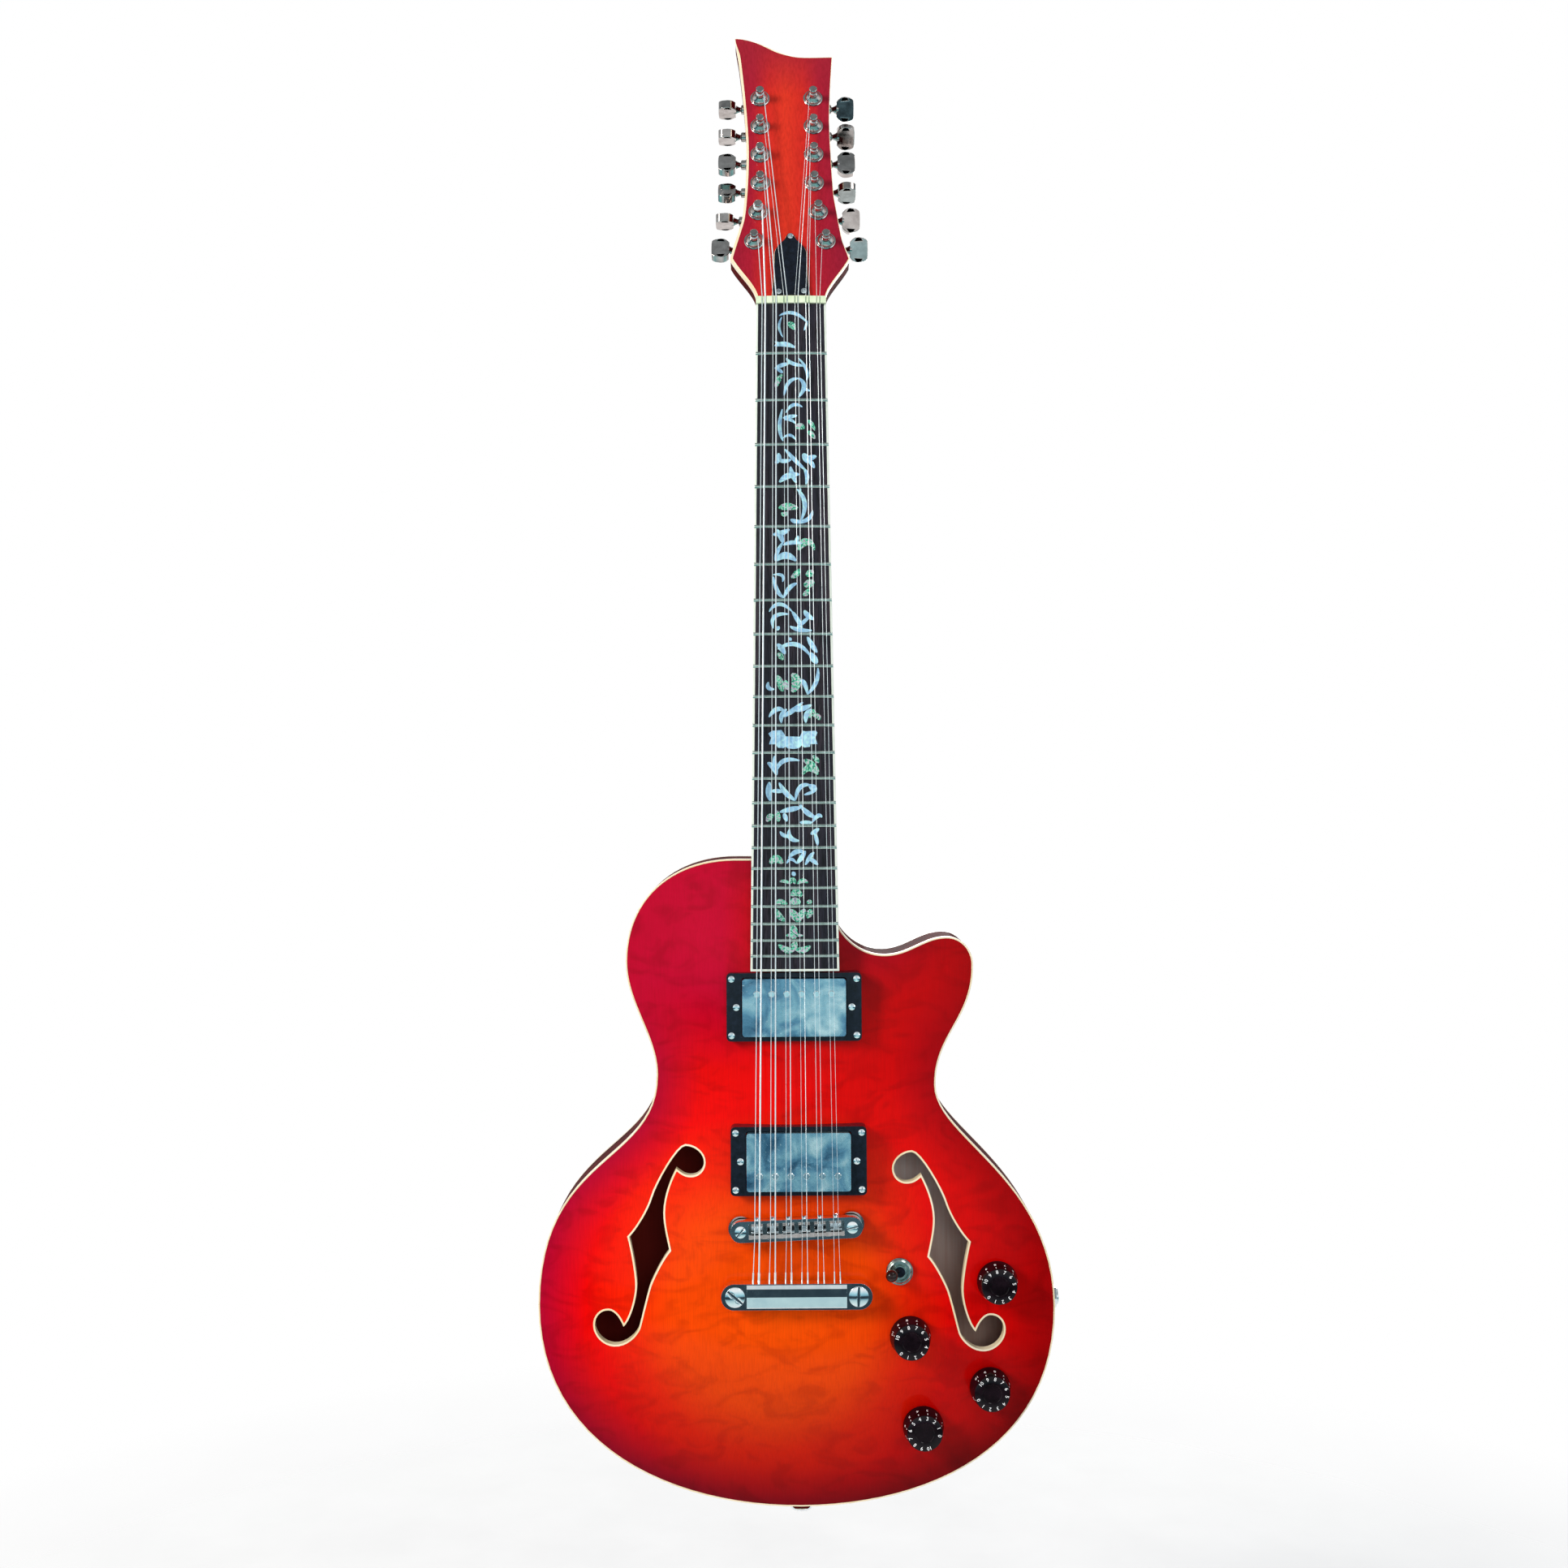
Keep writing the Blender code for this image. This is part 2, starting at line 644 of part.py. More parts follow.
def make_neck(wood):
    top = -BOARD_THICKNESS - CLEARANCE
    start = -NUT_LENGTH - 0.001
    heel_start = NECK_JOINT - HEEL_RUN
    tongue_floor = -RIM_SETBACK + TONGUE_DEPTH
    joint_depth = (tongue_floor + NECK_JOINT * math.sin(NECK_ANGLE)) / math.cos(NECK_ANGLE) + top
    stations = [(start, NECK_DEPTH_AT_NUT, 2.2), (heel_start, NECK_DEPTH_AT_HEEL, 2.2)]
    for share in (0.3, 0.55, 0.75, 0.9, 1.0):
        rise = share * share * (3 - 2 * share)
        depth = NECK_DEPTH_AT_HEEL + (joint_depth - NECK_DEPTH_AT_HEEL) * rise
        stations.append((heel_start + (HEEL_RUN - CLEARANCE) * share, depth, 2.2 + 3.0 * rise))
    rings = []
    for distance, depth, fullness in stations:
        section = half_round(board_half_width(max(distance, 0)), top, depth, fullness)
        rings.append([(u, -distance, n) for u, n in section])
    neck = loft("neck", rings, NECK)

    side_frame = Matrix(((0, 0, 1), (1, 0, 0), (0, 1, 0))).to_4x4()
    front = NECK @ Vector((0, -NECK_JOINT + HEEL_RUN / 3, top))
    end = NECK @ Vector((0, -NECK_JOINT - TONGUE_LENGTH, top))
    heel_z = -NECK_JOINT * math.cos(NECK_ANGLE) + OVERLAP
    half = board_half_width(NECK_JOINT) - CLEARANCE
    profile = [
        (front.y, front.z),
        (end.y, end.z),
        (tongue_floor, end.z),
        (tongue_floor, heel_z),
        (front.y + NECK_DEPTH_AT_HEEL / 2, front.z),
    ]
    tongue = prism("tongue", [profile], -half, half, side_frame)

    back = -HEAD_THICKNESS
    slab = prism("head_core", [HEAD_LOOP], back, -FACE_THICKNESS - CLEARANCE, HEAD)
    foot = (-NUT_WIDTH / 2 + OVERLAP, NUT_WIDTH / 2 - OVERLAP)
    root_depth = (back + OVERLAP, -FACE_THICKNESS - CLEARANCE - OVERLAP)
    root = box("head_root", foot, (-0.003, 0.004), root_depth, HEAD)
    bodies = [tongue, slab, root]
    holes = []
    for _, side, u, v in post_places():
        sides = sorted((u - side * HOUSING_INNER, u + side * HOUSING_OUTER))
        low = v + KEY_OFFSET / 2 - HOUSING_LENGTH / 2
        housing = box(
            "housing", sides, (low, low + HOUSING_LENGTH), (back - HOUSING_DEPTH, back + OVERLAP), HEAD
        )
        shaft = key_frame(side, u, v)
        collar = cylinder("collar", COLLAR_RADIUS, HOUSING_OUTER - OVERLAP, COLLAR_REACH, shaft, 8)
        bodies += [housing, collar]
        gear = -KEY_DEPTH - GEAR_HEIGHT / 2 - CLEARANCE
        holes.append(bore("post_bore", GEAR_RADIUS, gear, 0.001, at(HEAD, u, v), 8))
        start = -GEAR_RADIUS - 2 * CLEARANCE
        holes.append(bore("worm_bore", WORM_RADIUS, start, COLLAR_REACH + 0.001, shaft, 8))
    combine(neck, "UNION", *bodies)

    rod_room = TRUSS_ROD_RADIUS + CLEARANCE
    rod_end = NECK_JOINT + TONGUE_LENGTH * 0.6
    channel = box(
        "rod_channel",
        (-rod_room, rod_room),
        (-rod_end - CLEARANCE, 0.012),
        (-TRUSS_ROD_DEPTH - rod_room, 0.001),
        NECK,
    )
    half_access = ACCESS_WIDTH / 2
    access = box(
        "rod_access",
        (-half_access, half_access),
        (0.0005, ACCESS_LENGTH),
        (-HEAD_THICKNESS + 0.0025, 0.001),
        HEAD,
    )
    face_start = HEAD_KNOTS[0][0][1] - CLEARANCE
    face_room = box(
        "face_room", (-NUT_WIDTH, NUT_WIDTH), (face_start, 0.02), (-FACE_THICKNESS - CLEARANCE, 0.02), HEAD
    )
    combine(neck, "DIFFERENCE", channel, access, face_room, *holes)
    return part(neck, wood)


def make_truss_rod(steel):
    rod_end = NECK_JOINT + TONGUE_LENGTH * 0.6
    rod_frame = at(NECK, 0, 0, -TRUSS_ROD_DEPTH) @ Matrix.Rotation(math.radians(90), 4, "X")
    start = -NUT_LENGTH
    rod = cylinder("truss_rod", TRUSS_ROD_RADIUS, start, rod_end, rod_frame, 10)
    nut = cylinder("rod_nut", TRUSS_NUT_RADIUS, start - TRUSS_NUT_LENGTH, start + OVERLAP, rod_frame, 6)
    return part(combine(rod, "UNION", nut), steel)


def make_headstock_face(lacquer):
    face = prism("headstock_face", [HEAD_LOOP], -FACE_THICKNESS, 0, HEAD)
    bushings = []
    holes = []
    for _, _, u, v in post_places():
        stand = at(HEAD, u, v)
        profile = [
            (0, BUSHING_HEIGHT),
            (BUSHING_RADIUS, BUSHING_HEIGHT),
            (BUSHING_RADIUS, WASHER_THICKNESS),
            (WASHER_RADIUS, WASHER_THICKNESS),
            (WASHER_RADIUS, -FACE_THICKNESS / 2),
            (0, -FACE_THICKNESS / 2),
        ]
        bushings.append(turned("bushing", profile, stand, 8))
        holes.append(bore("bushing_bore", POST_RADIUS, -0.004, BUSHING_HEIGHT + 0.001, stand, 8))
    combine(face, "UNION", *bushings)
    half = ACCESS_WIDTH / 2
    access = box("face_access", (-half, half), (0.004, ACCESS_LENGTH), (-0.003, 0.001), HEAD)
    combine(face, "DIFFERENCE", access, *holes)
    return part(face, lacquer)


def make_tuners(chrome):
    """Twelve keys on their worm shafts, and the twelve posts that they turn."""
    button_loop = [
        (-BUTTON_NECK_WIDTH / 2, 0),
        (-BUTTON_WIDTH / 2, BUTTON_LENGTH * 0.45),
        (-BUTTON_WIDTH / 2, BUTTON_LENGTH * 0.75),
        (-BUTTON_WIDTH * 0.36, BUTTON_LENGTH),
        (BUTTON_WIDTH * 0.36, BUTTON_LENGTH),
        (BUTTON_WIDTH / 2, BUTTON_LENGTH * 0.75),
        (BUTTON_WIDTH / 2, BUTTON_LENGTH * 0.45),
        (BUTTON_NECK_WIDTH / 2, 0),
    ]
    button_start = KEY_REACH - BUTTON_LENGTH / 2
    # A turn of 0 shows the button's broad face from the front.
    upright = turn(turn(at(Matrix(), 0, 0, button_start), 90, "Z"), 90, "X")
    half = BUTTON_THICKNESS / 2
    button = bevel(prism("button", [button_loop], -half, half, upright), 0.0015)
    stem_profile = [
        (0, button_start + OVERLAP),
        (STEM_RADIUS, button_start + OVERLAP),
        (WORM_RADIUS, COLLAR_REACH + CLEARANCE),
        (WORM_RADIUS, -GEAR_RADIUS),
        (0, -GEAR_RADIUS),
    ]
    key_mesh = baked(combine(turned("key", stem_profile, Matrix(), 8), "UNION", button))

    gear_top = -KEY_DEPTH + GEAR_HEIGHT / 2
    waist = WRAP_HEIGHT
    post_profile = [
        (0, POST_TIP),
        (POST_RADIUS, POST_TIP),
        (POST_RADIUS, waist + 0.0014),
        (POST_RADIUS * 0.75, waist),
        (POST_RADIUS, waist - 0.0014),
        (POST_RADIUS, gear_top),
        (GEAR_RADIUS, gear_top),
        (GEAR_RADIUS, gear_top - GEAR_HEIGHT),
        (0, gear_top - GEAR_HEIGHT),
    ]
    post_mesh = baked(turned("post", post_profile, Matrix(), 8))
    turns = dict(bass=BASS_TURNS, treble=TREBLE_TURNS)
    for label, side, u, v in post_places():
        row, number = label.split("_")
        angle = turns[row][int(number) - 1]
        key = add_object(f"key_{label}", key_mesh.copy(), turn(key_frame(side, u, v), angle, "Z"))
        part(key, chrome)
        part(add_object(f"post_{label}", post_mesh.copy(), at(HEAD, u, v)), chrome)


def cambered_solid(name, inset, low, lift=0.0):
    """Tapered bar under the fretboard's round face, inset from the board's sides and its body end."""
    rings = []
    for distance in (CLEARANCE, BOARD_LENGTH - inset):
        half = board_half_width(distance) - inset
        face = [(u, -distance, camber(u) + lift) for u in np.linspace(-half, half, CAMBER_STEPS + 1)]
        rings.append(face + [(half, -distance, low), (-half, -distance, low)])
    return loft(name, rings, NECK)


def make_fretboard(rosewood):
    """Board with its frets: each has a tang in the board and a crown that also spans the binding."""
    board = cambered_solid("fretboard", BOARD_BINDING + CLEARANCE, -BOARD_THICKNESS)
    frets = []
    for number in range(1, FRET_COUNT + 1):
        distance = fret_distance(number)
        half = board_half_width(distance)
        rings = []
        for u in np.linspace(-half, half, CAMBER_STEPS + 1):
            base = camber(u)
            rings.append(
                [
                    (u, -distance - FRET_WIDTH / 2, base - FRET_SEAT),
                    (u, -distance - FRET_WIDTH / 4, base + FRET_HEIGHT),
                    (u, -distance + FRET_WIDTH / 4, base + FRET_HEIGHT),
                    (u, -distance + FRET_WIDTH / 2, base - FRET_SEAT),
                ]
            )
        frets.append(loft("fret", rings, NECK))
    return part(combine(board, "UNION", *frets), rosewood)


def make_board_binding(cream):
    """Strip round three sides of the fretboard, a little lower than its face."""
    outer = [board_half_width(CLEARANCE), board_half_width(BOARD_LENGTH)]
    end = -BOARD_LENGTH
    inner_end = end + BOARD_BINDING
    loop = [
        (-outer[0], -CLEARANCE),
        (-outer[1], end),
        (outer[1], end),
        (outer[0], -CLEARANCE),
        (outer[0] - BOARD_BINDING, -CLEARANCE),
        (outer[1] - BOARD_BINDING, inner_end),
        (-outer[1] + BOARD_BINDING, inner_end),
        (-outer[0] + BOARD_BINDING, -CLEARANCE),
    ]
    strip = prism("fretboard_binding", [loop], -BOARD_THICKNESS, 0.001, NECK)
    face = cambered_solid("binding_face", -0.001, -BOARD_THICKNESS - 0.001, -BOARD_BINDING_DROP)
    return part(combine(strip, "INTERSECT", face), cream)


def string_points():
    """For each string from the bass side: its radius and its points from post to tailpiece."""
    posts = list(post_places())
    lanes = posts[:POSTS_PER_SIDE] + posts[: POSTS_PER_SIDE - 1 : -1]
    course_middle = (len(STRING_DIAMETERS) - 1) / 2
    for course, pair in enumerate(STRING_DIAMETERS):
        for member, diameter in enumerate(pair):
            radius = diameter / 2
            _, side, post_u, post_v = lanes[course * 2 + member]
            shift = member - 0.5

            def across(pitch, gap):
                return (course - course_middle) * pitch + shift * gap

            nut_u = across(COURSE_PITCH_AT_NUT, PAIR_GAP_AT_NUT)
            bridge_u = across(COURSE_PITCH_AT_BRIDGE, PAIR_GAP_AT_BRIDGE)
            tail_u = across(COURSE_PITCH_AT_TAIL, PAIR_GAP_AT_TAIL)
            wrap = side * -(POST_RADIUS + CLEARANCE + radius)
            nut_n = STRING_LIFT_AT_NUT + camber(nut_u) + radius
            crest = SADDLE_CREST + camber(bridge_u) + CLEARANCE + radius
            yield radius, (
                HEAD @ Vector((post_u + wrap, post_v, WRAP_HEIGHT)),
                NECK @ Vector((nut_u, NUT_LENGTH, nut_n - 0.0002)),
                NECK @ Vector((nut_u, 0, nut_n)),
                BRIDGE @ Vector((bridge_u, -BREAK_SETBACK, crest)),
                BODY @ Vector((tail_u, -TAIL_DROP + TAIL_WIDTH / 2, TAIL_FLOOR + TAIL_STRING_RISE)),
                BODY @ Vector((tail_u, -TAIL_DROP, TAIL_FLOOR + TAIL_STRING_RISE - 0.0005)),
            )


def tube(name, points, radius):
    """Round wire through a few points."""
    curve = bpy.data.curves.new(name, "CURVE")
    curve.dimensions = "3D"
    curve.bevel_depth = radius
    curve.bevel_resolution = 1
    curve.use_fill_caps = True
    spline = curve.splines.new("POLY")
    spline.points.add(len(points) - 1)
    for point, place in zip(spline.points, points):
        point.co = (*place, 1)
    return add_object(name, baked(add_object(name, curve, Matrix())), Matrix())


def make_nut(bone):
    """Nut with a slot under each string."""
    half = NUT_WIDTH / 2
    rings = []
    for distance in (-NUT_LENGTH, 0):
        face = [(u, -distance, NUT_HEIGHT + camber(u)) for u in np.linspace(-half, half, CAMBER_STEPS + 1)]
        rings.append(face + [(half, -distance, -BOARD_THICKNESS), (-half, -distance, -BOARD_THICKNESS)])
    nut = loft("nut", rings, NECK)
    slots = []
    for radius, points in string_points():
        place = NECK.inverted() @ points[2]
        reach = radius + CLEARANCE
        low = place.z - reach - CLEARANCE
        across = (place.x - reach, place.x + reach)
        slots.append(box("slot", across, (-0.001, NUT_LENGTH + 0.001), (low, 0.006), NECK))
    return part(combine(nut, "DIFFERENCE", *slots), bone)


def make_truss_rod_cover(plastic):
    loop = knot_loop(COVER_KNOTS, 3)
    cover = prism("truss_rod_cover", [loop], CLEARANCE, CLEARANCE + COVER_THICKNESS, HEAD)
    return part(bevel(cover, 0.0006), plastic)


def mortise(name, grow=CLEARANCE):
    """Room for the neck's tongue, open past the body's edge on the treble side of the neck."""
    half = board_half_width(NECK_JOINT) - CLEARANCE + grow
    joint_v = BODY_KNOTS[-1][0][1]
    low = joint_v - TONGUE_LENGTH * math.cos(NECK_ANGLE) - 0.0012 - grow
    floor = -TONGUE_DEPTH - grow
    slot = box(name, (-half, half), (low, joint_v + 0.02), (floor, 0.03), BODY)
    corner = BODY_KNOTS[-2][0]
    shoulder = box(name + "_side", (0, corner[0] + 0.012), (corner[1], joint_v + 0.02), (floor, 0.03), BODY)
    return slot, shoulder


def rout(name, centre, floor):
    """Room for a pickup: its cover, and its two ears."""
    u, v = centre
    half_u = COVER_SIZE[0] / 2 + ROUT_GAP
    half_v = COVER_SIZE[1] / 2 + ROUT_GAP
    ear_u = EAR_LENGTH / 2 + ROUT_GAP
    ear_v = EAR_WIDTH / 2 + ROUT_GAP
    return (
        box(name, (u - half_u, u + half_u), (v - half_v, v + half_v), (floor, 0.03), BODY),
        box(name + "_ears", (u - ear_u, u + ear_u), (v - ear_v, v + ear_v), (floor, 0.03), BODY),
    )


def hardware_bores(floor):
    """Holes for the bridge posts and the tailpiece studs."""
    holes = []
    for side in (-1, 1):
        post = at(BRIDGE, side * POST_SPACING / 2)
        holes.append(bore("bridge_bore", BRIDGE_POST_RADIUS, floor, 0.03, post, 10))
        stud = at(BODY, side * STUD_SPACING / 2, -TAIL_DROP)
        holes.append(bore("stud_bore", STUD_RADIUS, floor, 0.03, stud))
    return holes


def knob_seat(place):
    """Height of a knob's foot over the rim plane."""
    return arch_over_disc(place, KNOB_RADIUS)[1] + CLEARANCE


def make_top(lacquer):
    """Arched plate with its f-holes and routs, and the four potentiometers that hang from it."""
    top = arched_solid("body_top", 0.0, lambda height: height - TOP_THICKNESS)
    edge = offset_loop(BODY_LOOP, BINDING_WIDTH + CLEARANCE)
    combine(top, "INTERSECT", prism("top_edge", [edge], -0.02, 0.03, BODY))
    cuts = [prism("f_cut", [f_loop(side, -F_BINDING - CLEARANCE)], -0.02, 0.03, BODY) for side in (-1, 1)]
    cuts += mortise("top_mortise")
    cuts += rout("neck_rout", NECK_RING_CENTRE, -0.02)
    cuts += rout("bridge_rout", BRIDGE_RING_CENTRE, -0.02)
    cuts += hardware_bores(-0.02)
    switch = at(BODY, *SWITCH_PLACE)
    cuts.append(bore("switch_hole", SWITCH_BUSHING_RADIUS, -0.02, 0.03, switch, 14))
    pots = []
    for place in KNOB_PLACES.values():
        seat = knob_seat(place)
        roof = arch_over_disc(place, POT_RADIUS)[0] - TOP_THICKNESS + OVERLAP
        room = SHAFT_RADIUS + 2 * CLEARANCE
        floor = roof - POT_HEIGHT
        profile = [
            (room, seat - CLEARANCE - OVERLAP),
            (POT_BUSHING_RADIUS, seat - CLEARANCE - OVERLAP),
            (POT_BUSHING_RADIUS, roof),
            (POT_RADIUS, roof),
            (POT_RADIUS, floor),
            (0, floor),
            (0, floor + POT_FLOOR),
            (room, floor + POT_FLOOR),
        ]
        spot = at(BODY, *place)
        pots.append(turned("pot", profile, spot, 10, closed=True))
        cuts.append(cylinder("pot_hole", POT_BUSHING_RADIUS - OVERLAP, -0.02, 0.03, spot, 10))
    combine(top, "DIFFERENCE", *cuts)
    return part(combine(top, "UNION", *pots), lacquer)


def make_f_bindings(cream):
    for side, label in ((-1, "bass"), (1, "treble")):
        strip = arched_solid(f"f_hole_binding_{label}", 0.0, lambda height: height - TOP_THICKNESS)
        loops = [f_loop(side, -F_BINDING), f_loop(side)]
        combine(strip, "INTERSECT", prism("f_ring", loops, -0.02, 0.03, BODY))
        part(strip, cream)


def make_body_shell(wood, cream):
    """Rim, back and the two edge bindings."""
    inner = offset_loop(BODY_LOOP, RIM_WALL)
    rim_back = -BODY_DEPTH + BACK_THICKNESS + CLEARANCE
    sides = prism("body_sides", [BODY_LOOP, inner], rim_back, -TOP_THICKNESS - CLEARANCE, BODY)
    jack = bore("jack_hole", JACK_BARREL_RADIUS, -RIM_WALL - 0.01, 0.01, jack_frame())
    combine(sides, "DIFFERENCE", jack, *mortise("side_mortise"))
    part(sides, wood)

    inset = offset_loop(BODY_LOOP, BINDING_WIDTH + CLEARANCE)
    part(prism("body_back", [inset], -BODY_DEPTH, -BODY_DEPTH + BACK_THICKNESS, BODY), wood)
    ring = [BODY_LOOP, offset_loop(BODY_LOOP, BINDING_WIDTH)]
    top_strip = prism("top_binding", ring, -TOP_THICKNESS, 0, BODY)
    part(combine(top_strip, "DIFFERENCE", *mortise("strip_mortise")), cream)
    part(prism("back_binding", ring, -BODY_DEPTH, -BODY_DEPTH + BACK_THICKNESS, BODY), cream)


def make_centre_block(wood):
    """Block between top and back that carries neck, bridge and tailpiece."""
    half = BLOCK_WIDTH / 2
    back = -BODY_DEPTH + BACK_THICKNESS + CLEARANCE
    block = box("centre_block", (-half, half), (-0.21, 0.26), (back, 0.02), BODY)
    room = prism("block_room", [offset_loop(BODY_LOOP, RIM_WALL + CLEARANCE)], -0.06, 0.03, BODY)
    combine(block, "INTERSECT", room)
    over = arched_solid("over_block", -TOP_THICKNESS - CLEARANCE, lambda height: 0.04)
    cuts = [over, *mortise("block_mortise"), *hardware_bores(-STUD_DEPTH)]
    cuts += rout("neck_well", NECK_RING_CENTRE, -ROUT_DEPTH)
    cuts += rout("bridge_well", BRIDGE_RING_CENTRE, -ROUT_DEPTH)
    combine(block, "DIFFERENCE", *cuts)
    return part(block, wood)


def rounded_box(name, centre, size, low, high, corner):
    """Upright block with rounded corners on the body's face."""
    half_u, half_v = size[0] / 2 - corner, size[1] / 2 - corner
    loop = []
    for sign_u, sign_v, start in ((1, 1, 0), (-1, 1, 90), (-1, -1, 180), (1, -1, 270)):
        for step in range(4):
            angle = math.radians(start + 30 * step)
            loop.append(
                (
                    centre[0] + sign_u * half_u + corner * math.cos(angle),
                    centre[1] + sign_v * half_v + corner * math.sin(angle),
                )
            )
    return prism(name, [loop], low, high, BODY)


def make_pickups(chrome, plastic):
    """Covered pickups on their ears, each in a ring whose underside follows the arch."""
    sets = (
        ("neck", NECK_RING_CENTRE, NECK_RING_RISE, POLE_ROW, NECK_POLE_PITCH),
        ("bridge", BRIDGE_RING_CENTRE, BRIDGE_RING_RISE, -POLE_ROW, BRIDGE_POLE_PITCH),
    )
    for label, centre, rise, row, pitch in sets:
        ring = rounded_box(
            f"pickup_ring_{label}", centre, (RING_WIDTH, RING_HEIGHT), -0.004, rise, RING_CORNER
        )
        window = (COVER_SIZE[0] + 2 * RING_WINDOW_GAP, COVER_SIZE[1] + 2 * RING_WINDOW_GAP)
        hole = rounded_box("ring_window", centre, window, -0.02, 0.04, COVER_CORNER)
        under = arched_solid("under_ring", CLEARANCE, lambda height: -0.03)
        part(combine(bevel(ring, 0.0008), "DIFFERENCE", hole, under), plastic)

        crown = rise + COVER_RISE
        cover = rounded_box(
            f"pickup_{label}", centre, COVER_SIZE, crown - COVER_DROP, crown, COVER_CORNER
        )
        ears_low = crown - COVER_DROP
        ears = box(
            "ears",
            (centre[0] - EAR_LENGTH / 2, centre[0] + EAR_LENGTH / 2),
            (centre[1] - EAR_WIDTH / 2, centre[1] + EAR_WIDTH / 2),
            (ears_low, ears_low + EAR_THICKNESS),
            BODY,
        )
        poles = []
        for index in range(POLE_COUNT):
            u = centre[0] + (index - (POLE_COUNT - 1) / 2) * pitch
            spot = at(BODY, u, centre[1] + row)
            poles.append(cylinder("pole", POLE_RADIUS, crown - 0.002, crown + POLE_RISE, spot, 8))
        part(combine(bevel(cover, 0.0012), "UNION", ears, *poles), chrome)


def stadium(centre, length, width, steps=6):
    """Outline of a bar with round ends."""
    half = (length - width) / 2
    loop = []
    for side, start in ((1, -90), (-1, 90)):
        for step in range(steps + 1):
            angle = math.radians(start + 180 * step / steps)
            loop.append(
                (
                    centre[0] + side * half + width / 2 * math.cos(angle),
                    centre[1] + width / 2 * math.sin(angle),
                )
            )
    return loop


def saddle_middle(index):
    """U of a saddle on the bridge."""
    return (index - (SADDLE_COUNT - 1) / 2) * COURSE_PITCH_AT_BRIDGE


def make_bridge(chrome):
    """Bridge body with its saddle channel, posts, thumbwheels and intonation screw heads."""
    top = SADDLE_CREST - SADDLE_RISE
    floor = top - BRIDGE_BODY_HEIGHT
    bar = prism("bridge", [stadium((0, 0), BRIDGE_LENGTH, BRIDGE_WIDTH)], floor, top, BRIDGE)
    half_u = BRIDGE_CHANNEL_LENGTH / 2
    half_v = BRIDGE_CHANNEL_WIDTH / 2
    channel = box(
        "channel", (-half_u, half_u), (-half_v, half_v), (floor + BRIDGE_FLOOR, top + 0.002), BRIDGE
    )
    combine(bevel(bar, 0.0010), "DIFFERENCE", channel)
    added = []
    for side in (-1, 1):
        spot = at(BRIDGE, side * POST_SPACING / 2)
        seat = ARCH_HEIGHT + 0.0012
        added.append(
            cylinder("bridge_post", BRIDGE_POST_RADIUS, -STUD_DEPTH + 0.004, top - 0.002, spot, 10)
        )
        added.append(
            cylinder("thumbwheel", THUMBWHEEL_RADIUS, seat, seat + THUMBWHEEL_HEIGHT, spot, 14)
        )
    quarter = Matrix.Rotation(math.radians(-90), 4, "X")
    for index in range(SADDLE_COUNT):
        spot = at(BRIDGE, saddle_middle(index), BRIDGE_WIDTH / 2, top - 0.0035) @ quarter
        added.append(cylinder("screw_head", SCREW_HEAD_RADIUS, -0.0008, SCREW_HEAD_REACH, spot, 8))
    return part(combine(bar, "UNION", *added), chrome)


def make_saddles(chrome):
    """Six saddles with a ridged crest, in the bridge's channel."""
    base = SADDLE_CREST - SADDLE_RISE - BRIDGE_BODY_HEIGHT + BRIDGE_FLOOR + CLEARANCE
    half = SADDLE_LENGTH / 2
    foot = half * 0.95
    for index in range(SADDLE_COUNT):
        u = saddle_middle(index)
        outer_u = abs(u) + SADDLE_WIDTH / 2
        height = SADDLE_CREST + camber(outer_u) - base
        profile = [
            (-foot, 0),
            (foot, 0),
            (half, height * 0.45),
            (0.0005, height),
            (-0.0005, height),
            (-half, height * 0.45),
        ]
        frame = at(BRIDGE, u, 0, base) @ Matrix(((0, 0, 1), (1, 0, 0), (0, 1, 0))).to_4x4()
        saddle = prism(f"saddle_{index + 1}", [profile], -SADDLE_WIDTH / 2, SADDLE_WIDTH / 2, frame)
        part(saddle, chrome)


def make_tailpiece(chrome):
    """Stop bar on its two slotted studs, with the twelve strings that are hooked into it."""
    top = TAIL_FLOOR + TAIL_THICKNESS
    bar = prism(
        "tailpiece_with_strings",
        [stadium((0, -TAIL_DROP), TAIL_LENGTH, TAIL_WIDTH)],
        TAIL_FLOOR,
        top,
        BODY,
    )
    added = []
    slots = []
    for side, angle in ((-1, -40), (1, 85)):
        spot = at(BODY, side * STUD_SPACING / 2, -TAIL_DROP)
        head = top + STUD_HEAD_RISE
        added.append(cylinder("stud", STUD_RADIUS, -STUD_DEPTH + 0.004, TAIL_FLOOR + OVERLAP, spot, 12))
        added.append(cylinder("stud_head", STUD_HEAD_RADIUS, top - OVERLAP, head, spot, 18))
        width = STUD_SLOT_WIDTH / 2
        slot_frame = turn(spot, angle, "Z")
        slots.append(
            box(
                "slot",
                (-STUD_HEAD_RADIUS - 0.001, STUD_HEAD_RADIUS + 0.001),
                (-width, width),
                (head - STUD_SLOT_DEPTH, head + 0.002),
                slot_frame,
            )
        )
    for radius, points in string_points():
        added.append(tube("string", points, radius))
    combine(bevel(bar, 0.0025), "UNION", *added)
    return part(combine(bar, "DIFFERENCE", *slots), chrome)


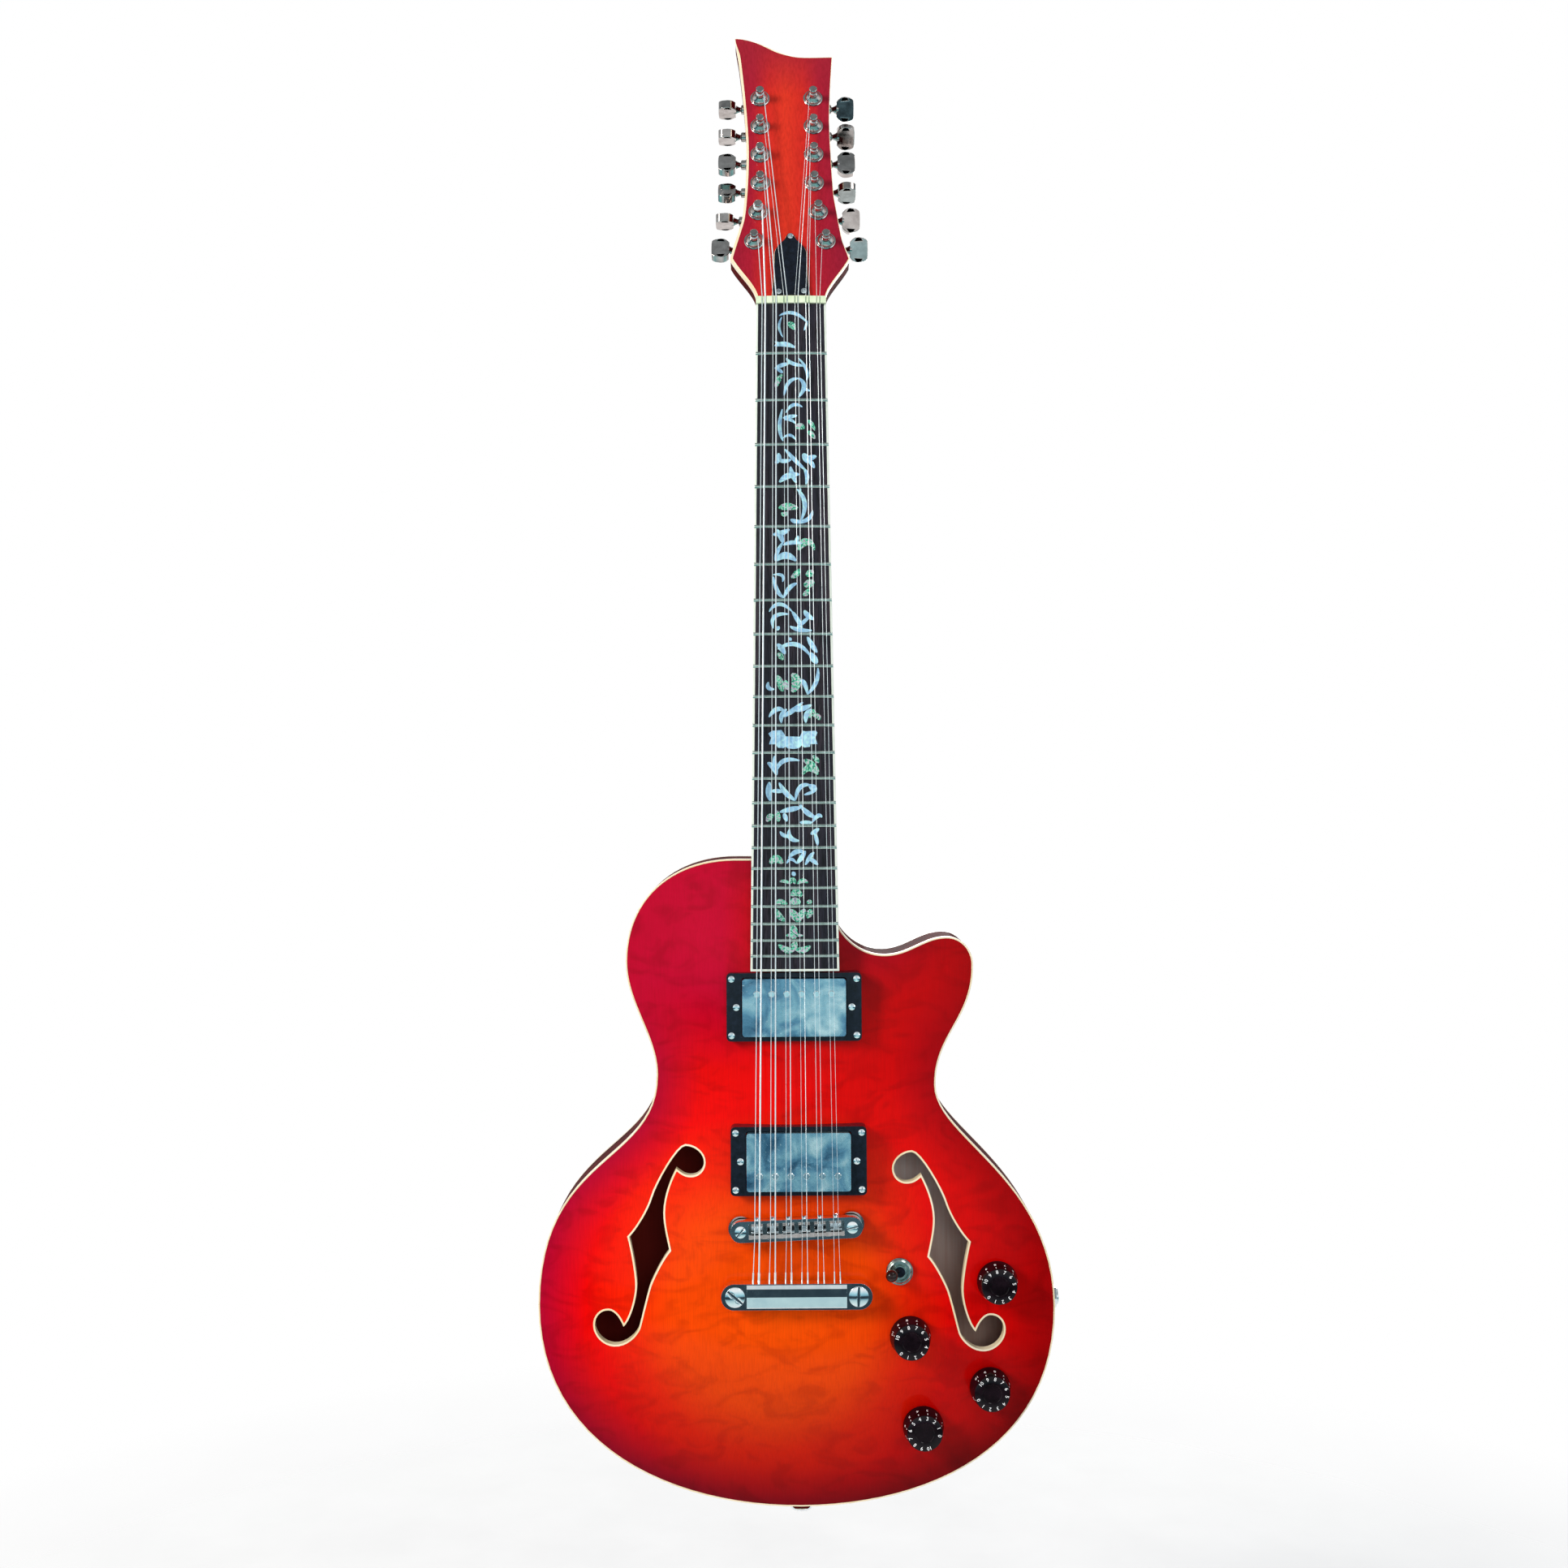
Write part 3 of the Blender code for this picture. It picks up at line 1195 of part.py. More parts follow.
def make_knobs(plastic):
    """Numbered knobs, each with the potentiometer shaft that it turns."""
    shaft_end = -SHAFT_LENGTH
    profile = [
        (0, KNOB_HEIGHT),
        (KNOB_TOP_RADIUS * 0.93, KNOB_HEIGHT),
        (KNOB_TOP_RADIUS, KNOB_HEIGHT - 0.0010),
        (KNOB_RADIUS, 0.0012),
        (KNOB_RADIUS, 0),
        (SHAFT_RADIUS, 0),
        (SHAFT_RADIUS, shaft_end),
        (0, shaft_end),
    ]
    for name, place in KNOB_PLACES.items():
        lowest = arch_over_disc(place, POT_RADIUS)[0] - TOP_THICKNESS + OVERLAP - POT_HEIGHT + POT_FLOOR
        reach = min(SHAFT_LENGTH, knob_seat(place) - lowest - CLEARANCE)
        fitted = [(radius, -reach if height == shaft_end else height) for radius, height in profile]
        part(turned(name, fitted, at(BODY, *place, knob_seat(place)), 16), plastic)


def make_toggle(chrome, plastic):
    """Switch with its round nut, and the lever in its conical throat."""
    seat = arch_over_disc(SWITCH_PLACE, SWITCH_NUT_RADIUS)[1] + CLEARANCE
    under = arch_over_disc(SWITCH_PLACE, SWITCH_NUT_RADIUS)[0] - TOP_THICKNESS - CLEARANCE
    spot = at(BODY, *SWITCH_PLACE)
    half_u, half_v, depth = SWITCH_BODY[0] / 2, SWITCH_BODY[1] / 2, SWITCH_BODY[2]
    rim = seat + SWITCH_NUT_HEIGHT
    profile = [
        (0, rim),
        (SWITCH_NUT_RADIUS * 0.8, rim),
        (SWITCH_NUT_RADIUS, seat + 0.0010),
        (SWITCH_NUT_RADIUS, seat),
        (SWITCH_BUSHING_RADIUS, seat),
        (SWITCH_BUSHING_RADIUS, under - 0.001),
        (0, under - 0.001),
    ]
    switch = turned("toggle_switch", profile, spot, 14)
    frame = box("switch_frame", (-half_u, half_u), (-half_v, half_v), (under - depth, under), spot)
    pivot = seat - 0.0035
    room = LEVER_BALL_RADIUS + CLEARANCE
    well = cylinder("ball_room", room, pivot - 0.006, pivot + 0.0004, spot, 14)
    throat = cylinder("throat", room, pivot, rim + 0.0005, spot, 14, SWITCH_NUT_RADIUS * 0.62)
    combine(switch, "UNION", frame)
    part(combine(switch, "DIFFERENCE", well, throat), chrome)

    tip = LEVER_LENGTH
    tip_start = tip - LEVER_TIP_LENGTH
    lever_profile = [
        (0, tip),
        (LEVER_TIP_RADIUS * 0.6, tip - 0.0004),
        (LEVER_TIP_RADIUS, tip - 0.0022),
        (LEVER_TIP_RADIUS * 0.62, tip_start),
        (LEVER_RADIUS, tip_start),
        (LEVER_RADIUS, LEVER_BALL_RADIUS * 0.75),
        (LEVER_BALL_RADIUS, 0),
        (LEVER_BALL_RADIUS * 0.7, -LEVER_BALL_RADIUS * 0.7),
        (0, -LEVER_BALL_RADIUS),
    ]
    tilted = at(spot, 0, 0, pivot) @ Matrix.Rotation(-LEVER_TILT, 4, "Y")
    part(turned("toggle_lever", lever_profile, tilted, 14), plastic)


def jack_frame():
    """Frame on the rim's treble side with N straight out along X."""
    edge = max(u for u, _ in BODY_LOOP)
    return at(BODY, edge, -JACK_DROP, -JACK_DEPTH) @ Matrix.Rotation(math.radians(90), 4, "Y")


def make_jack(chrome):
    """Output jack with its washer, nut and socket."""
    foot = CLEARANCE
    nut_foot = foot + JACK_WASHER_THICKNESS
    nut_top = nut_foot + JACK_NUT_HEIGHT
    profile = [
        (JACK_BORE, nut_top + 0.001),
        (JACK_BARREL_RADIUS, nut_top + 0.001),
        (JACK_BARREL_RADIUS, nut_foot),
        (JACK_WASHER_RADIUS, nut_foot),
        (JACK_WASHER_RADIUS, foot),
        (JACK_BARREL_RADIUS, foot),
        (JACK_BARREL_RADIUS, foot - JACK_BARREL_LENGTH),
        (0, foot - JACK_BARREL_LENGTH),
        (0, foot - JACK_BARREL_LENGTH + 0.0015),
        (JACK_BORE, foot - JACK_BARREL_LENGTH + 0.0015),
    ]
    jack = turned("output_jack", profile, jack_frame(), 12, closed=True)
    nut = cylinder("jack_nut", JACK_NUT_RADIUS, nut_foot - OVERLAP, nut_top, jack_frame(), 6)
    clear = cylinder("jack_clear", JACK_BORE + OVERLAP, nut_foot - 0.002, nut_top + 0.003, jack_frame(), 16)
    combine(nut, "DIFFERENCE", clear)
    return part(combine(jack, "UNION", nut), chrome)


def make_strap_buttons(chrome):
    """Two turned buttons: at the bottom end of the rim, and on the back at the neck joint."""
    profile = [
        (0, STRAP_HEIGHT),
        (STRAP_HEAD_RADIUS * 0.9, STRAP_HEIGHT),
        (STRAP_HEAD_RADIUS, STRAP_HEIGHT - 0.0010),
        (STRAP_NECK_RADIUS, STRAP_HEIGHT * 0.55),
        (STRAP_HEAD_RADIUS * 0.85, 0.0012),
        (STRAP_HEAD_RADIUS * 0.85, 0),
        (0, 0),
    ]
    low = min(BODY_LOOP, key=lambda point: point[1])
    end = at(BODY, low[0], low[1] - CLEARANCE, -BODY_DEPTH / 2) @ Matrix.Rotation(math.radians(90), 4, "X")
    part(turned("strap_button_end", profile, end, 12), chrome)
    heel = at(BODY, *HEEL_BUTTON_PLACE, -BODY_DEPTH - CLEARANCE) @ Matrix.Rotation(math.radians(180), 4, "X")
    part(turned("strap_button_heel", profile, heel, 12), chrome)


clear_scene()
GUITAR = collection("twelve_string_guitar")
CUTTERS = collection("helpers")

chrome = material("chrome", (0.80, 0.82, 0.84), 0.12, 1.0)
steel = material("steel", (0.55, 0.55, 0.56), 0.35, 1.0)
mahogany = material("stained_mahogany", (0.33, 0.03, 0.02), 0.25)
maple_block = material("maple_block", (0.75, 0.55, 0.33), 0.6)
cherry = material("cherry_burst_lacquer", (0.80, 0.08, 0.01), 0.12)
cream = material("cream_binding", (0.93, 0.84, 0.63), 0.35)
rosewood = material("rosewood", (0.045, 0.035, 0.035), 0.5)
bone = material("nut_plastic", (0.84, 0.93, 0.78), 0.4)
black = material("black_plastic", (0.015, 0.012, 0.018), 0.3)

make_neck(mahogany)
make_truss_rod(steel)
make_headstock_face(cherry)
make_truss_rod_cover(black)
make_tuners(chrome)
make_fretboard(rosewood)
make_board_binding(cream)
make_nut(bone)
make_top(cherry)
make_f_bindings(cream)
make_body_shell(mahogany, cream)
make_centre_block(maple_block)
make_pickups(chrome, black)
make_bridge(chrome)
make_saddles(chrome)
make_tailpiece(chrome)
make_knobs(black)
make_toggle(chrome, black)
make_jack(chrome)
make_strap_buttons(chrome)
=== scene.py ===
import json
import math

import bmesh
import bpy
import numpy as np
from mathutils import Matrix, Vector, geometry

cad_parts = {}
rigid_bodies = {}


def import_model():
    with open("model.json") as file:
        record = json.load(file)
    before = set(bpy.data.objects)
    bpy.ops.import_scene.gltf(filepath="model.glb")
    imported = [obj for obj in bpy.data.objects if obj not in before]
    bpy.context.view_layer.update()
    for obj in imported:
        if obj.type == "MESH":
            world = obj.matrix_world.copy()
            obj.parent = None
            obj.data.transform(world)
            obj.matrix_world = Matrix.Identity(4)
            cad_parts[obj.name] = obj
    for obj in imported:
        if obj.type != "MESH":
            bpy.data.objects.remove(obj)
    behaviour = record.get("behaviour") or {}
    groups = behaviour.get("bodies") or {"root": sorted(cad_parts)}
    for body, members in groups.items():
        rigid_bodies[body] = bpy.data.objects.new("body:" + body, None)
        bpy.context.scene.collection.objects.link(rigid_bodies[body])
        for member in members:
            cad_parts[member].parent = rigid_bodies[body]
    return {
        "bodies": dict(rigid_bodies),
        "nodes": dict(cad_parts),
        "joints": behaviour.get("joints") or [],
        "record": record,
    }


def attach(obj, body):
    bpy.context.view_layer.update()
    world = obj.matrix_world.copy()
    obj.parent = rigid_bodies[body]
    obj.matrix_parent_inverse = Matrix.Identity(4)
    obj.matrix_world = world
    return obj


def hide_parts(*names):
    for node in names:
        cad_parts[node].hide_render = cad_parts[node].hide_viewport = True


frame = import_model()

scene = bpy.context.scene
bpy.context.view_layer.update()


# Camera, white room and lamps
# The photograph was taken from the front, level with the lower part of the neck, by a phone's camera.
# The room is white, with softboxes for the gloss and a dark band that gives the chrome its contrast.
def linear(colour):
    """The linear colour that a shader takes, from sRGB hex."""
    values = [int(colour[i : i + 2], 16) / 255 for i in (0, 2, 4)]
    return [v / 12.92 if v <= 0.04045 else ((v + 0.055) / 1.055) ** 2.4 for v in values] + [1.0]


def feed(node, inputs):
    """Sets a node's inputs, each to a value, an output, or a node, which stands for its first output."""
    for name, value in inputs.items():
        if isinstance(value, bpy.types.Node):
            value = value.outputs[0]
        if isinstance(value, bpy.types.NodeSocket):
            node.id_data.links.new(value, node.inputs[name])
        else:
            node.inputs[name].default_value = value


def add_node(tree, kind, inputs=None, stops=(), **settings):
    """A node with its settings, its ramp's stops and its inputs."""
    node = tree.nodes.new("ShaderNode" + kind)
    for name, value in settings.items():
        setattr(node, name, value)
    for index, (place, colour) in enumerate(stops):
        ramp = node.color_ramp.elements
        stop = ramp[index] if index < 2 else ramp.new(place)
        stop.position = place
        stop.color = linear(colour)
    feed(node, inputs or {})
    return node


def new_finish(name, values):
    """A material, its node tree and its shader with the values set on the shader's own sockets."""
    made = bpy.data.materials.new(name)
    made.use_nodes = True
    shader = made.node_tree.nodes["Principled BSDF"]
    feed(shader, values)
    return made, made.node_tree, shader


FOCAL_PIXELS = 2140
FRAME_PIXELS = 1932
SENSOR_WIDTH = 36
HORIZON_ROW = 870
eye = Vector((-0.014838, -1.203628, -0.324581))
ahead = Vector((0.00706969, 0.9993392, 0.03565376)).normalized()
roll = math.radians(-0.293)
level = Vector((ahead.y, -ahead.x, 0)).normalized()
upright = level.cross(ahead)
right = level * math.cos(roll) + upright * math.sin(roll)
up = upright * math.cos(roll) - level * math.sin(roll)
lens = bpy.data.cameras.new("camera")
lens.sensor_width = SENSOR_WIDTH
lens.lens = FOCAL_PIXELS / FRAME_PIXELS * SENSOR_WIDTH
lens.shift_y = (HORIZON_ROW - FRAME_PIXELS / 2) / FRAME_PIXELS
camera = bpy.data.objects.new("camera", lens)
camera.matrix_world = Matrix.Translation(eye) @ Matrix((right, up, -ahead)).transposed().to_4x4()
scene.collection.objects.link(camera)
scene.camera = camera
scene.view_settings.view_transform = "Standard"

world = bpy.data.worlds.new("white_room")
world.use_nodes = True
scene.world = world
room = world.node_tree
path = add_node(room, "LightPath")
facing = add_node(room, "SeparateXYZ", {"Vector": add_node(room, "TexCoord").outputs["Generated"]})
# Behind the camera the chrome sees a pale blue floor, a dark band, a bright wall and a grey ceiling.
ROOM_BY_HEIGHT = (
    (0.0, "7CC4D2"), (0.22, "90DCDA"), (0.30, "6FA9B8"), (0.33, "222E36"), (0.376, "34464F"),
    (0.395, "7FB2C4"), (0.435, "A8DCE6"), (0.54, "FFFFFF"), (0.66, "DDE6E9"), (0.80, "7E888C"),
    (1.0, "9AA4A8"),
)
WHITE = linear("FFFFFF")
AMBIENT_STRENGTH = 0.42
facing_height = add_node(room, "MapRange", {"Value": facing.outputs["Z"], "From Min": -1.0})
height = add_node(room, "ValToRGB", {"Fac": facing_height}, ROOM_BY_HEIGHT)
# Behind the guitar the room is white all over.
behind = {"Value": facing.outputs["Y"], "From Min": 0.4, "From Max": 0.75}
depth = add_node(room, "MapRange", behind, clamp=True)
mirrored = add_node(room, "MixRGB", {"Fac": depth, "Color1": height, "Color2": WHITE})
ambient = add_node(room, "Background", {"Color": linear("EEF3F8"), "Strength": AMBIENT_STRENGTH})
shiny = add_node(room, "Background", {"Color": mirrored, "Strength": 1.0})
white = add_node(room, "Background", {"Color": WHITE, "Strength": 1.0})
lit = add_node(room, "MixShader", {0: path.outputs["Is Glossy Ray"], 1: ambient, 2: shiny})
straight_rays = {0: path.outputs["Is Camera Ray"], 1: path.outputs["Is Transmission Ray"]}
through = add_node(room, "Math", straight_rays, operation="MAXIMUM")
feed(room.nodes["World Output"], {"Surface": add_node(room, "MixShader", {0: through, 1: lit, 2: white})})


def softbox(name, place, target, size, power, colour):
    """A rectangular lamp of a size in metres and a power in watts, aimed at its target."""
    lamp = bpy.data.lights.new(name, "AREA")
    lamp.shape = "RECTANGLE"
    lamp.size, lamp.size_y = size
    lamp.energy = power
    lamp.color = linear(colour)[:3]
    holder = bpy.data.objects.new(name, lamp)
    holder.location = place
    holder.rotation_euler = (Vector(target) - Vector(place)).to_track_quat("-Z", "Y").to_euler()
    scene.collection.objects.link(holder)
    return holder


GUITAR_MIDDLE = (0.0, 0.0, -0.35)
softbox("key_softbox", (-1.9, -1.5, 0.7), GUITAR_MIDDLE, (0.6, 0.9), 56, "FFF9F2")
softbox("fill_softbox", (1.7, -1.5, 0.0), GUITAR_MIDDLE, (0.9, 1.6), 5, "F2F7FF")
front_lamp = softbox("front_softbox", (0.4, -2.3, 0.1), GUITAR_MIDDLE, (0.8, 0.8), 6, "FFFFFF")
# The chrome doesn't mirror the lamp beside the camera, which would wash the tuner keys out.
front_lamp.visible_glossy = False
softbox("top_softbox", (1.3, -0.6, 1.5), GUITAR_MIDDLE, (0.8, 0.8), 8, "FFFFFF")
softbox("back_softbox", (0.6, 1.9, 0.3), GUITAR_MIDDLE, (1.4, 1.4), 16, "FFFFFF")

FLOOR_HEIGHT = -1.12
FLOOR_RADIUS = 1.2
FADE_START = 0.3
floor_mesh = bmesh.new()
bmesh.ops.create_circle(floor_mesh, cap_ends=True, segments=96, radius=FLOOR_RADIUS)
floor_data = bpy.data.meshes.new("floor")
floor_mesh.to_mesh(floor_data)
floor_mesh.free()
floor = bpy.data.objects.new("floor", floor_data)
floor.location.z = FLOOR_HEIGHT
scene.collection.objects.link(floor)
floor_finish, tree, shader = new_finish("white_paper_floor", {"Roughness": 0.9, "Specular IOR Level": 0.1})
floor_data.materials.append(floor_finish)
# The paper's faint mottling, about 110 mm across, fades to the white of the room at its edge.
spot = add_node(tree, "TexCoord").outputs["Object"]
mottle = add_node(tree, "TexNoise", {"Vector": spot, "Scale": 9.0, "Detail": 3.0})
paper = add_node(tree, "ValToRGB", {"Fac": mottle}, ((0.3, "F6F6F6"), (0.7, "FFFFFF")))
reach = add_node(tree, "VectorMath", {0: spot}, operation="LENGTH").outputs["Value"]
fade = {"Value": reach, "From Min": FADE_START, "From Max": FLOOR_RADIUS, "To Min": 1.0, "To Max": 0.0}
feed(shader, {"Base Color": paper, "Alpha": add_node(tree, "MapRange", fade)})


# Rim, back and edge bindings
# The rim is mahogany bent round the body and the back is a mahogany plate, both stained dark red and
# lacquered. Cream strips of celluloid bind the two edges, glued into ledges and scraped flush.
RIM_SETBACK = 0.0077
STRING_SCALE = 0.62865
BRIDGE_COMPENSATION = 0.0040
BODY_DEPTH = 0.0450
RIM_WALL = 0.0062
PLATE_THICKNESS = 0.0060
BINDING_WIDTH = 0.0012
OUTLINE_STEPS = 24
BODY_KNOTS = (
    ((-0.0409, 0.2458), (0.0080, 0), (-0.0450, 0)),
    ((-0.1158, 0.1760), (0, 0.0420), (0, -0.0280)),
    ((-0.0948, 0.0990), (0, 0.0260), (0, -0.0610)),
    ((-0.1755, -0.0560), (0, 0.1035), (0, -0.0960)),
    ((0.0030, -0.1924), (-0.0870, 0), (0.0870, 0)),
    ((0.1763, -0.0590), (0, -0.0955), (0, 0.0870)),
    ((0.0960, 0.0910), (0, -0.0360), (0, 0.0340)),
    ((0.1224, 0.1725), (0, -0.0370), (0, 0.0110)),
    ((0.1045, 0.1918), (0.0100, 0), (-0.0160, 0)),
    ((0.0618, 0.1798), (0.0170, 0), (-0.0160, 0)),
    ((0.0306, 0.1990), (0.0040, -0.0080), (-0.0030, 0.0140)),
    ((0.0060, 0.2454), (0.0160, 0), (-0.0080, 0)),
)


def basis(origin, degrees):
    """Frame with U along X, V up and tilted back by the angle, and N out of the face."""
    angle = math.radians(degrees)
    rows = (
        (1, 0, 0),
        (0, math.sin(angle), -math.cos(angle)),
        (0, math.cos(angle), math.sin(angle)),
    )
    return Matrix.Translation(origin) @ Matrix(rows).to_4x4()


def knot_loop(knots, steps):
    """Points of the closed Bezier curve through knots, each a point and its handles in and out."""
    loop = []
    for (point, _, leave), (target, arrive, _) in zip(knots, knots[1:] + knots[:1]):
        start = Vector((*point, 0))
        end = Vector((*target, 0))
        first = start + Vector((*leave, 0))
        second = end + Vector((*arrive, 0))
        run = geometry.interpolate_bezier(start, first, second, end, steps + 1)
        loop += [(p.x, p.y) for p in run[:-1]]
    return loop


def offset_loop(loop, distance):
    """The loop moved sideways: inwards for a positive distance, whichever way it runs."""
    points = np.array(loop)
    after = np.roll(points, -1, axis=0) - points
    after /= np.linalg.norm(after, axis=1)[:, None]
    before = np.roll(after, 1, axis=0)
    area = np.sum(points[:, 0] * np.roll(points[:, 1], -1) - points[:, 1] * np.roll(points[:, 0], -1))
    side = math.copysign(1, area)
    normals = np.column_stack([-(after + before)[:, 1], (after + before)[:, 0]]) * side
    normals /= np.linalg.norm(normals, axis=1)[:, None]
    edge_normals = np.column_stack([-after[:, 1], after[:, 0]]) * side
    stretch = 1 / np.maximum(np.sum(normals * edge_normals, axis=1), 0.5)
    return [tuple(p) for p in points + normals * (distance * stretch)[:, None]]


def inside(points, loops):
    """Which of the points lie within the outline and outside its holes."""
    hit = np.zeros(len(points), bool)
    u, v = points[:, :1], points[:, 1:]
    for loop in loops:
        start = np.array(loop)
        end = np.roll(start, -1, axis=0)
        step = end - start
        rising = (start[:, 1] > v) != (end[:, 1] > v)
        crossing = start[:, 0] + (v - start[:, 1]) * step[:, 0] / np.where(step[:, 1] == 0, 1, step[:, 1])
        hit ^= np.sum(rising & (u < crossing), axis=1) % 2 == 1
    return hit


def slab(bm, loops, low, high, frame, grid=None, finish=0):
    """Adds a closed slab in an outline with holes. A face's height is a number or a function of points."""
    points = np.array([p for loop in loops for p in loop])
    edges = []
    for loop in loops:
        first = len(edges)
        edges += [(first + i, first + (i + 1) % len(loop)) for i in range(len(loop))]
    if grid is not None:
        within = grid[inside(grid, loops)]
        apart = np.array([np.min(np.sum((points - p) ** 2, axis=1)) for p in within])
        spacing = grid[1, 1] - grid[0, 1]
        points = np.vstack([points, within[apart > (spacing * 0.45) ** 2]])
    flat, _, faces, *_ = geometry.delaunay_2d_cdt([Vector(p) for p in points], edges, [], 0, 1e-7)
    flat = np.array([tuple(p) for p in flat])
    faces = np.array(faces)
    faces = faces[inside(flat[faces].mean(axis=1), loops)]
    sides = {}
    for a, b, c in faces:
        for pair in ((a, b), (b, c), (c, a)):
            sides[pair] = True
    rim = [pair for pair in sides if (pair[1], pair[0]) not in sides]
    levels = []
    for level in (low, high):
        heights = level(flat) if callable(level) else np.full(len(flat), level)
        levels.append([bm.verts.new(frame @ Vector((*p, h))) for p, h in zip(flat, heights)])
    lower, upper = levels
    made = []
    for a, b, c in faces:
        made.append(bm.faces.new((upper[a], upper[b], upper[c])))
        made.append(bm.faces.new((lower[c], lower[b], lower[a])))
    for a, b in rim:
        made.append(bm.faces.new((lower[a], lower[b], upper[b], upper[a])))
    for face in made:
        face.material_index = finish
    bmesh.ops.delete(bm, geom=[v for v in lower + upper if not v.link_faces], context="VERTS")


def piece(
    name, bm, finishes, body="guitar_body", stands_for=(),
    bevel=0.0, segments=3, bevel_from=50, sharp=35,
):
    """Finished piece of the guitar from its mesh, riding on a body in place of the nodes it stands for."""
    data = bpy.data.meshes.new(name)
    bmesh.ops.recalc_face_normals(bm, faces=bm.faces)
    bm.to_mesh(data)
    bm.free()
    for finish in finishes:
        data.materials.append(finish)
    data.shade_smooth()
    data.set_sharp_from_angle(angle=math.radians(sharp))
    made = bpy.data.objects.new(name, data)
    scene.collection.objects.link(made)
    if bevel:
        rounding = made.modifiers.new("rounding", "BEVEL")
        rounding.width = bevel
        rounding.segments = segments
        rounding.angle_limit = math.radians(bevel_from)
        rounding.harden_normals = True
    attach(made, body)
    if stands_for:
        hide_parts(*stands_for)
    return made


def grain(tree, scale, noise):
    """Noise with one scale per metre, or with three, one for each axis, that draw it out along the wood."""
    spot = add_node(tree, "TexCoord").outputs["Object"]
    if isinstance(scale, tuple):
        spot = add_node(tree, "Mapping", {"Vector": spot, "Scale": scale})
        scale = 1.0
    return add_node(tree, "TexNoise", {"Vector": spot, "Scale": scale, **noise})


def clouded_finish(name, values, tones, scale, noise, gloss=None):
    """A finish tinted by its clouds. Where gloss gives two values, the roughness runs between them too."""
    made, tree, shader = new_finish(name, values)
    clouds = grain(tree, scale, noise)
    feed(shader, {"Base Color": add_node(tree, "ValToRGB", {"Fac": clouds}, tones)})
    if gloss:
        span = {"Value": clouds, "To Min": gloss[0], "To Max": gloss[1]}
        feed(shader, {"Roughness": add_node(tree, "MapRange", span)})
    return made


def porous_wood(name, values, pores, flecks, stripes, tones):
    """A wood with stripes of the tones under the flecks of its pores, its shader and its pores' noise."""
    made, tree, shader = new_finish(name, values)
    open_pores = grain(tree, *pores)
    tone = add_node(tree, "ValToRGB", {"Fac": grain(tree, *stripes)}, tones)
    dark = add_node(tree, "ValToRGB", {"Fac": open_pores}, flecks)
    layers = {"Fac": 1.0, "Color1": tone, "Color2": dark}
    feed(shader, {"Base Color": add_node(tree, "MixRGB", layers, blend_type="MULTIPLY")})
    return made, tree, shader, open_pores


BODY = basis(Vector((0, -RIM_SETBACK, -STRING_SCALE - BRIDGE_COMPENSATION)), 0)
body_loop = knot_loop(BODY_KNOTS, OUTLINE_STEPS)
bound_loop = offset_loop(body_loop, BINDING_WIDTH)

# Celluloid: smooth and slightly yellowed, in clouds about 22 mm across, with a soft gloss.
celluloid = clouded_finish(
    "cream_celluloid_binding",
    {"Roughness": 0.28, "IOR": 1.5, "Coat Weight": 0.4, "Coat Roughness": 0.08},
    ((0.25, "F3DDA8"), (0.5, "FBE9C4"), (0.8, "FFF4DC")),
    scale=45.0,
    noise={"Detail": 4.0, "Roughness": 0.6},
)

# Stained mahogany under lacquer: fine pores, and stripes 14 mm wide, that run along the rim, neck and back.
# The real pores are a quarter of a millimetre wide, and are drawn 1 mm wide so that they show.
mahogany, tree, shader, pores = porous_wood(
    "stained_mahogany_gloss",
    {"Roughness": 0.38, "Specular IOR Level": 0.0, "Coat Weight": 0.06, "Coat Roughness": 0.05},
    pores=((900.0, 900.0, 30.0), {"Detail": 5.0, "Roughness": 0.65}),
    flecks=((0.36, "6A5A5A"), (0.52, "FFFFFF")),
    stripes=((70.0, 110.0, 3.0), {"Detail": 3.0, "Distortion": 0.6}),
    tones=((0.25, "3A0508"), (0.5, "5C0A0C"), (0.75, "7A1412")),
)
feed(shader, {"Normal": add_node(tree, "Bump", {"Height": pores, "Strength": 0.08, "Distance": 0.0002})})

bm = bmesh.new()
inner_loop = offset_loop(body_loop, RIM_WALL)
slab(bm, [body_loop, inner_loop], -BODY_DEPTH + PLATE_THICKNESS, -PLATE_THICKNESS, BODY)
piece("rim", bm, [mahogany], stands_for=["body_sides"])

# Bare mahogany inside the body: dry, with fibres drawn 2 mm wide so that they show through the f-holes, and
# painted with light and shade: dark painted shade on the bass side, and pale painted light on the treble
# side.
dry = {"Roughness": 0.8, "Specular IOR Level": 0.2}
bare_mahogany, tree, shader = new_finish("bare_mahogany_inside", dry)
fibres = grain(tree, (500.0, 500.0, 20.0), {"Detail": 4.0})
tone = add_node(tree, "ValToRGB", {"Fac": fibres}, ((0.3, "F0E0D8"), (0.7, "FFFAF6")))
axes = add_node(tree, "SeparateXYZ", {"Vector": add_node(tree, "TexCoord").outputs["Object"]}).outputs
treble_part = add_node(tree, "MapRange", {"Value": axes["X"], "From Max": 0.01})
upper_part = add_node(tree, "MapRange", {"Value": axes["Z"], "From Min": -0.69, "From Max": -0.62})
# Painted light: the treble side is pale, palest towards the top; the bass side's dark red-brown is painted
# shade.
treble_painted_light = add_node(tree, "ValToRGB", {"Fac": upper_part}, ((0.0, "E0C8BC"), (1.0, "FFFFFF")))
painted_light_and_shade = add_node(tree, "MixRGB", {"Fac": treble_part, "Color1": linear("7A2018"), "Color2": treble_painted_light})
layers = {"Fac": 1.0, "Color1": tone, "Color2": painted_light_and_shade}
feed(shader, {"Base Color": add_node(tree, "MixRGB", layers, blend_type="MULTIPLY")})

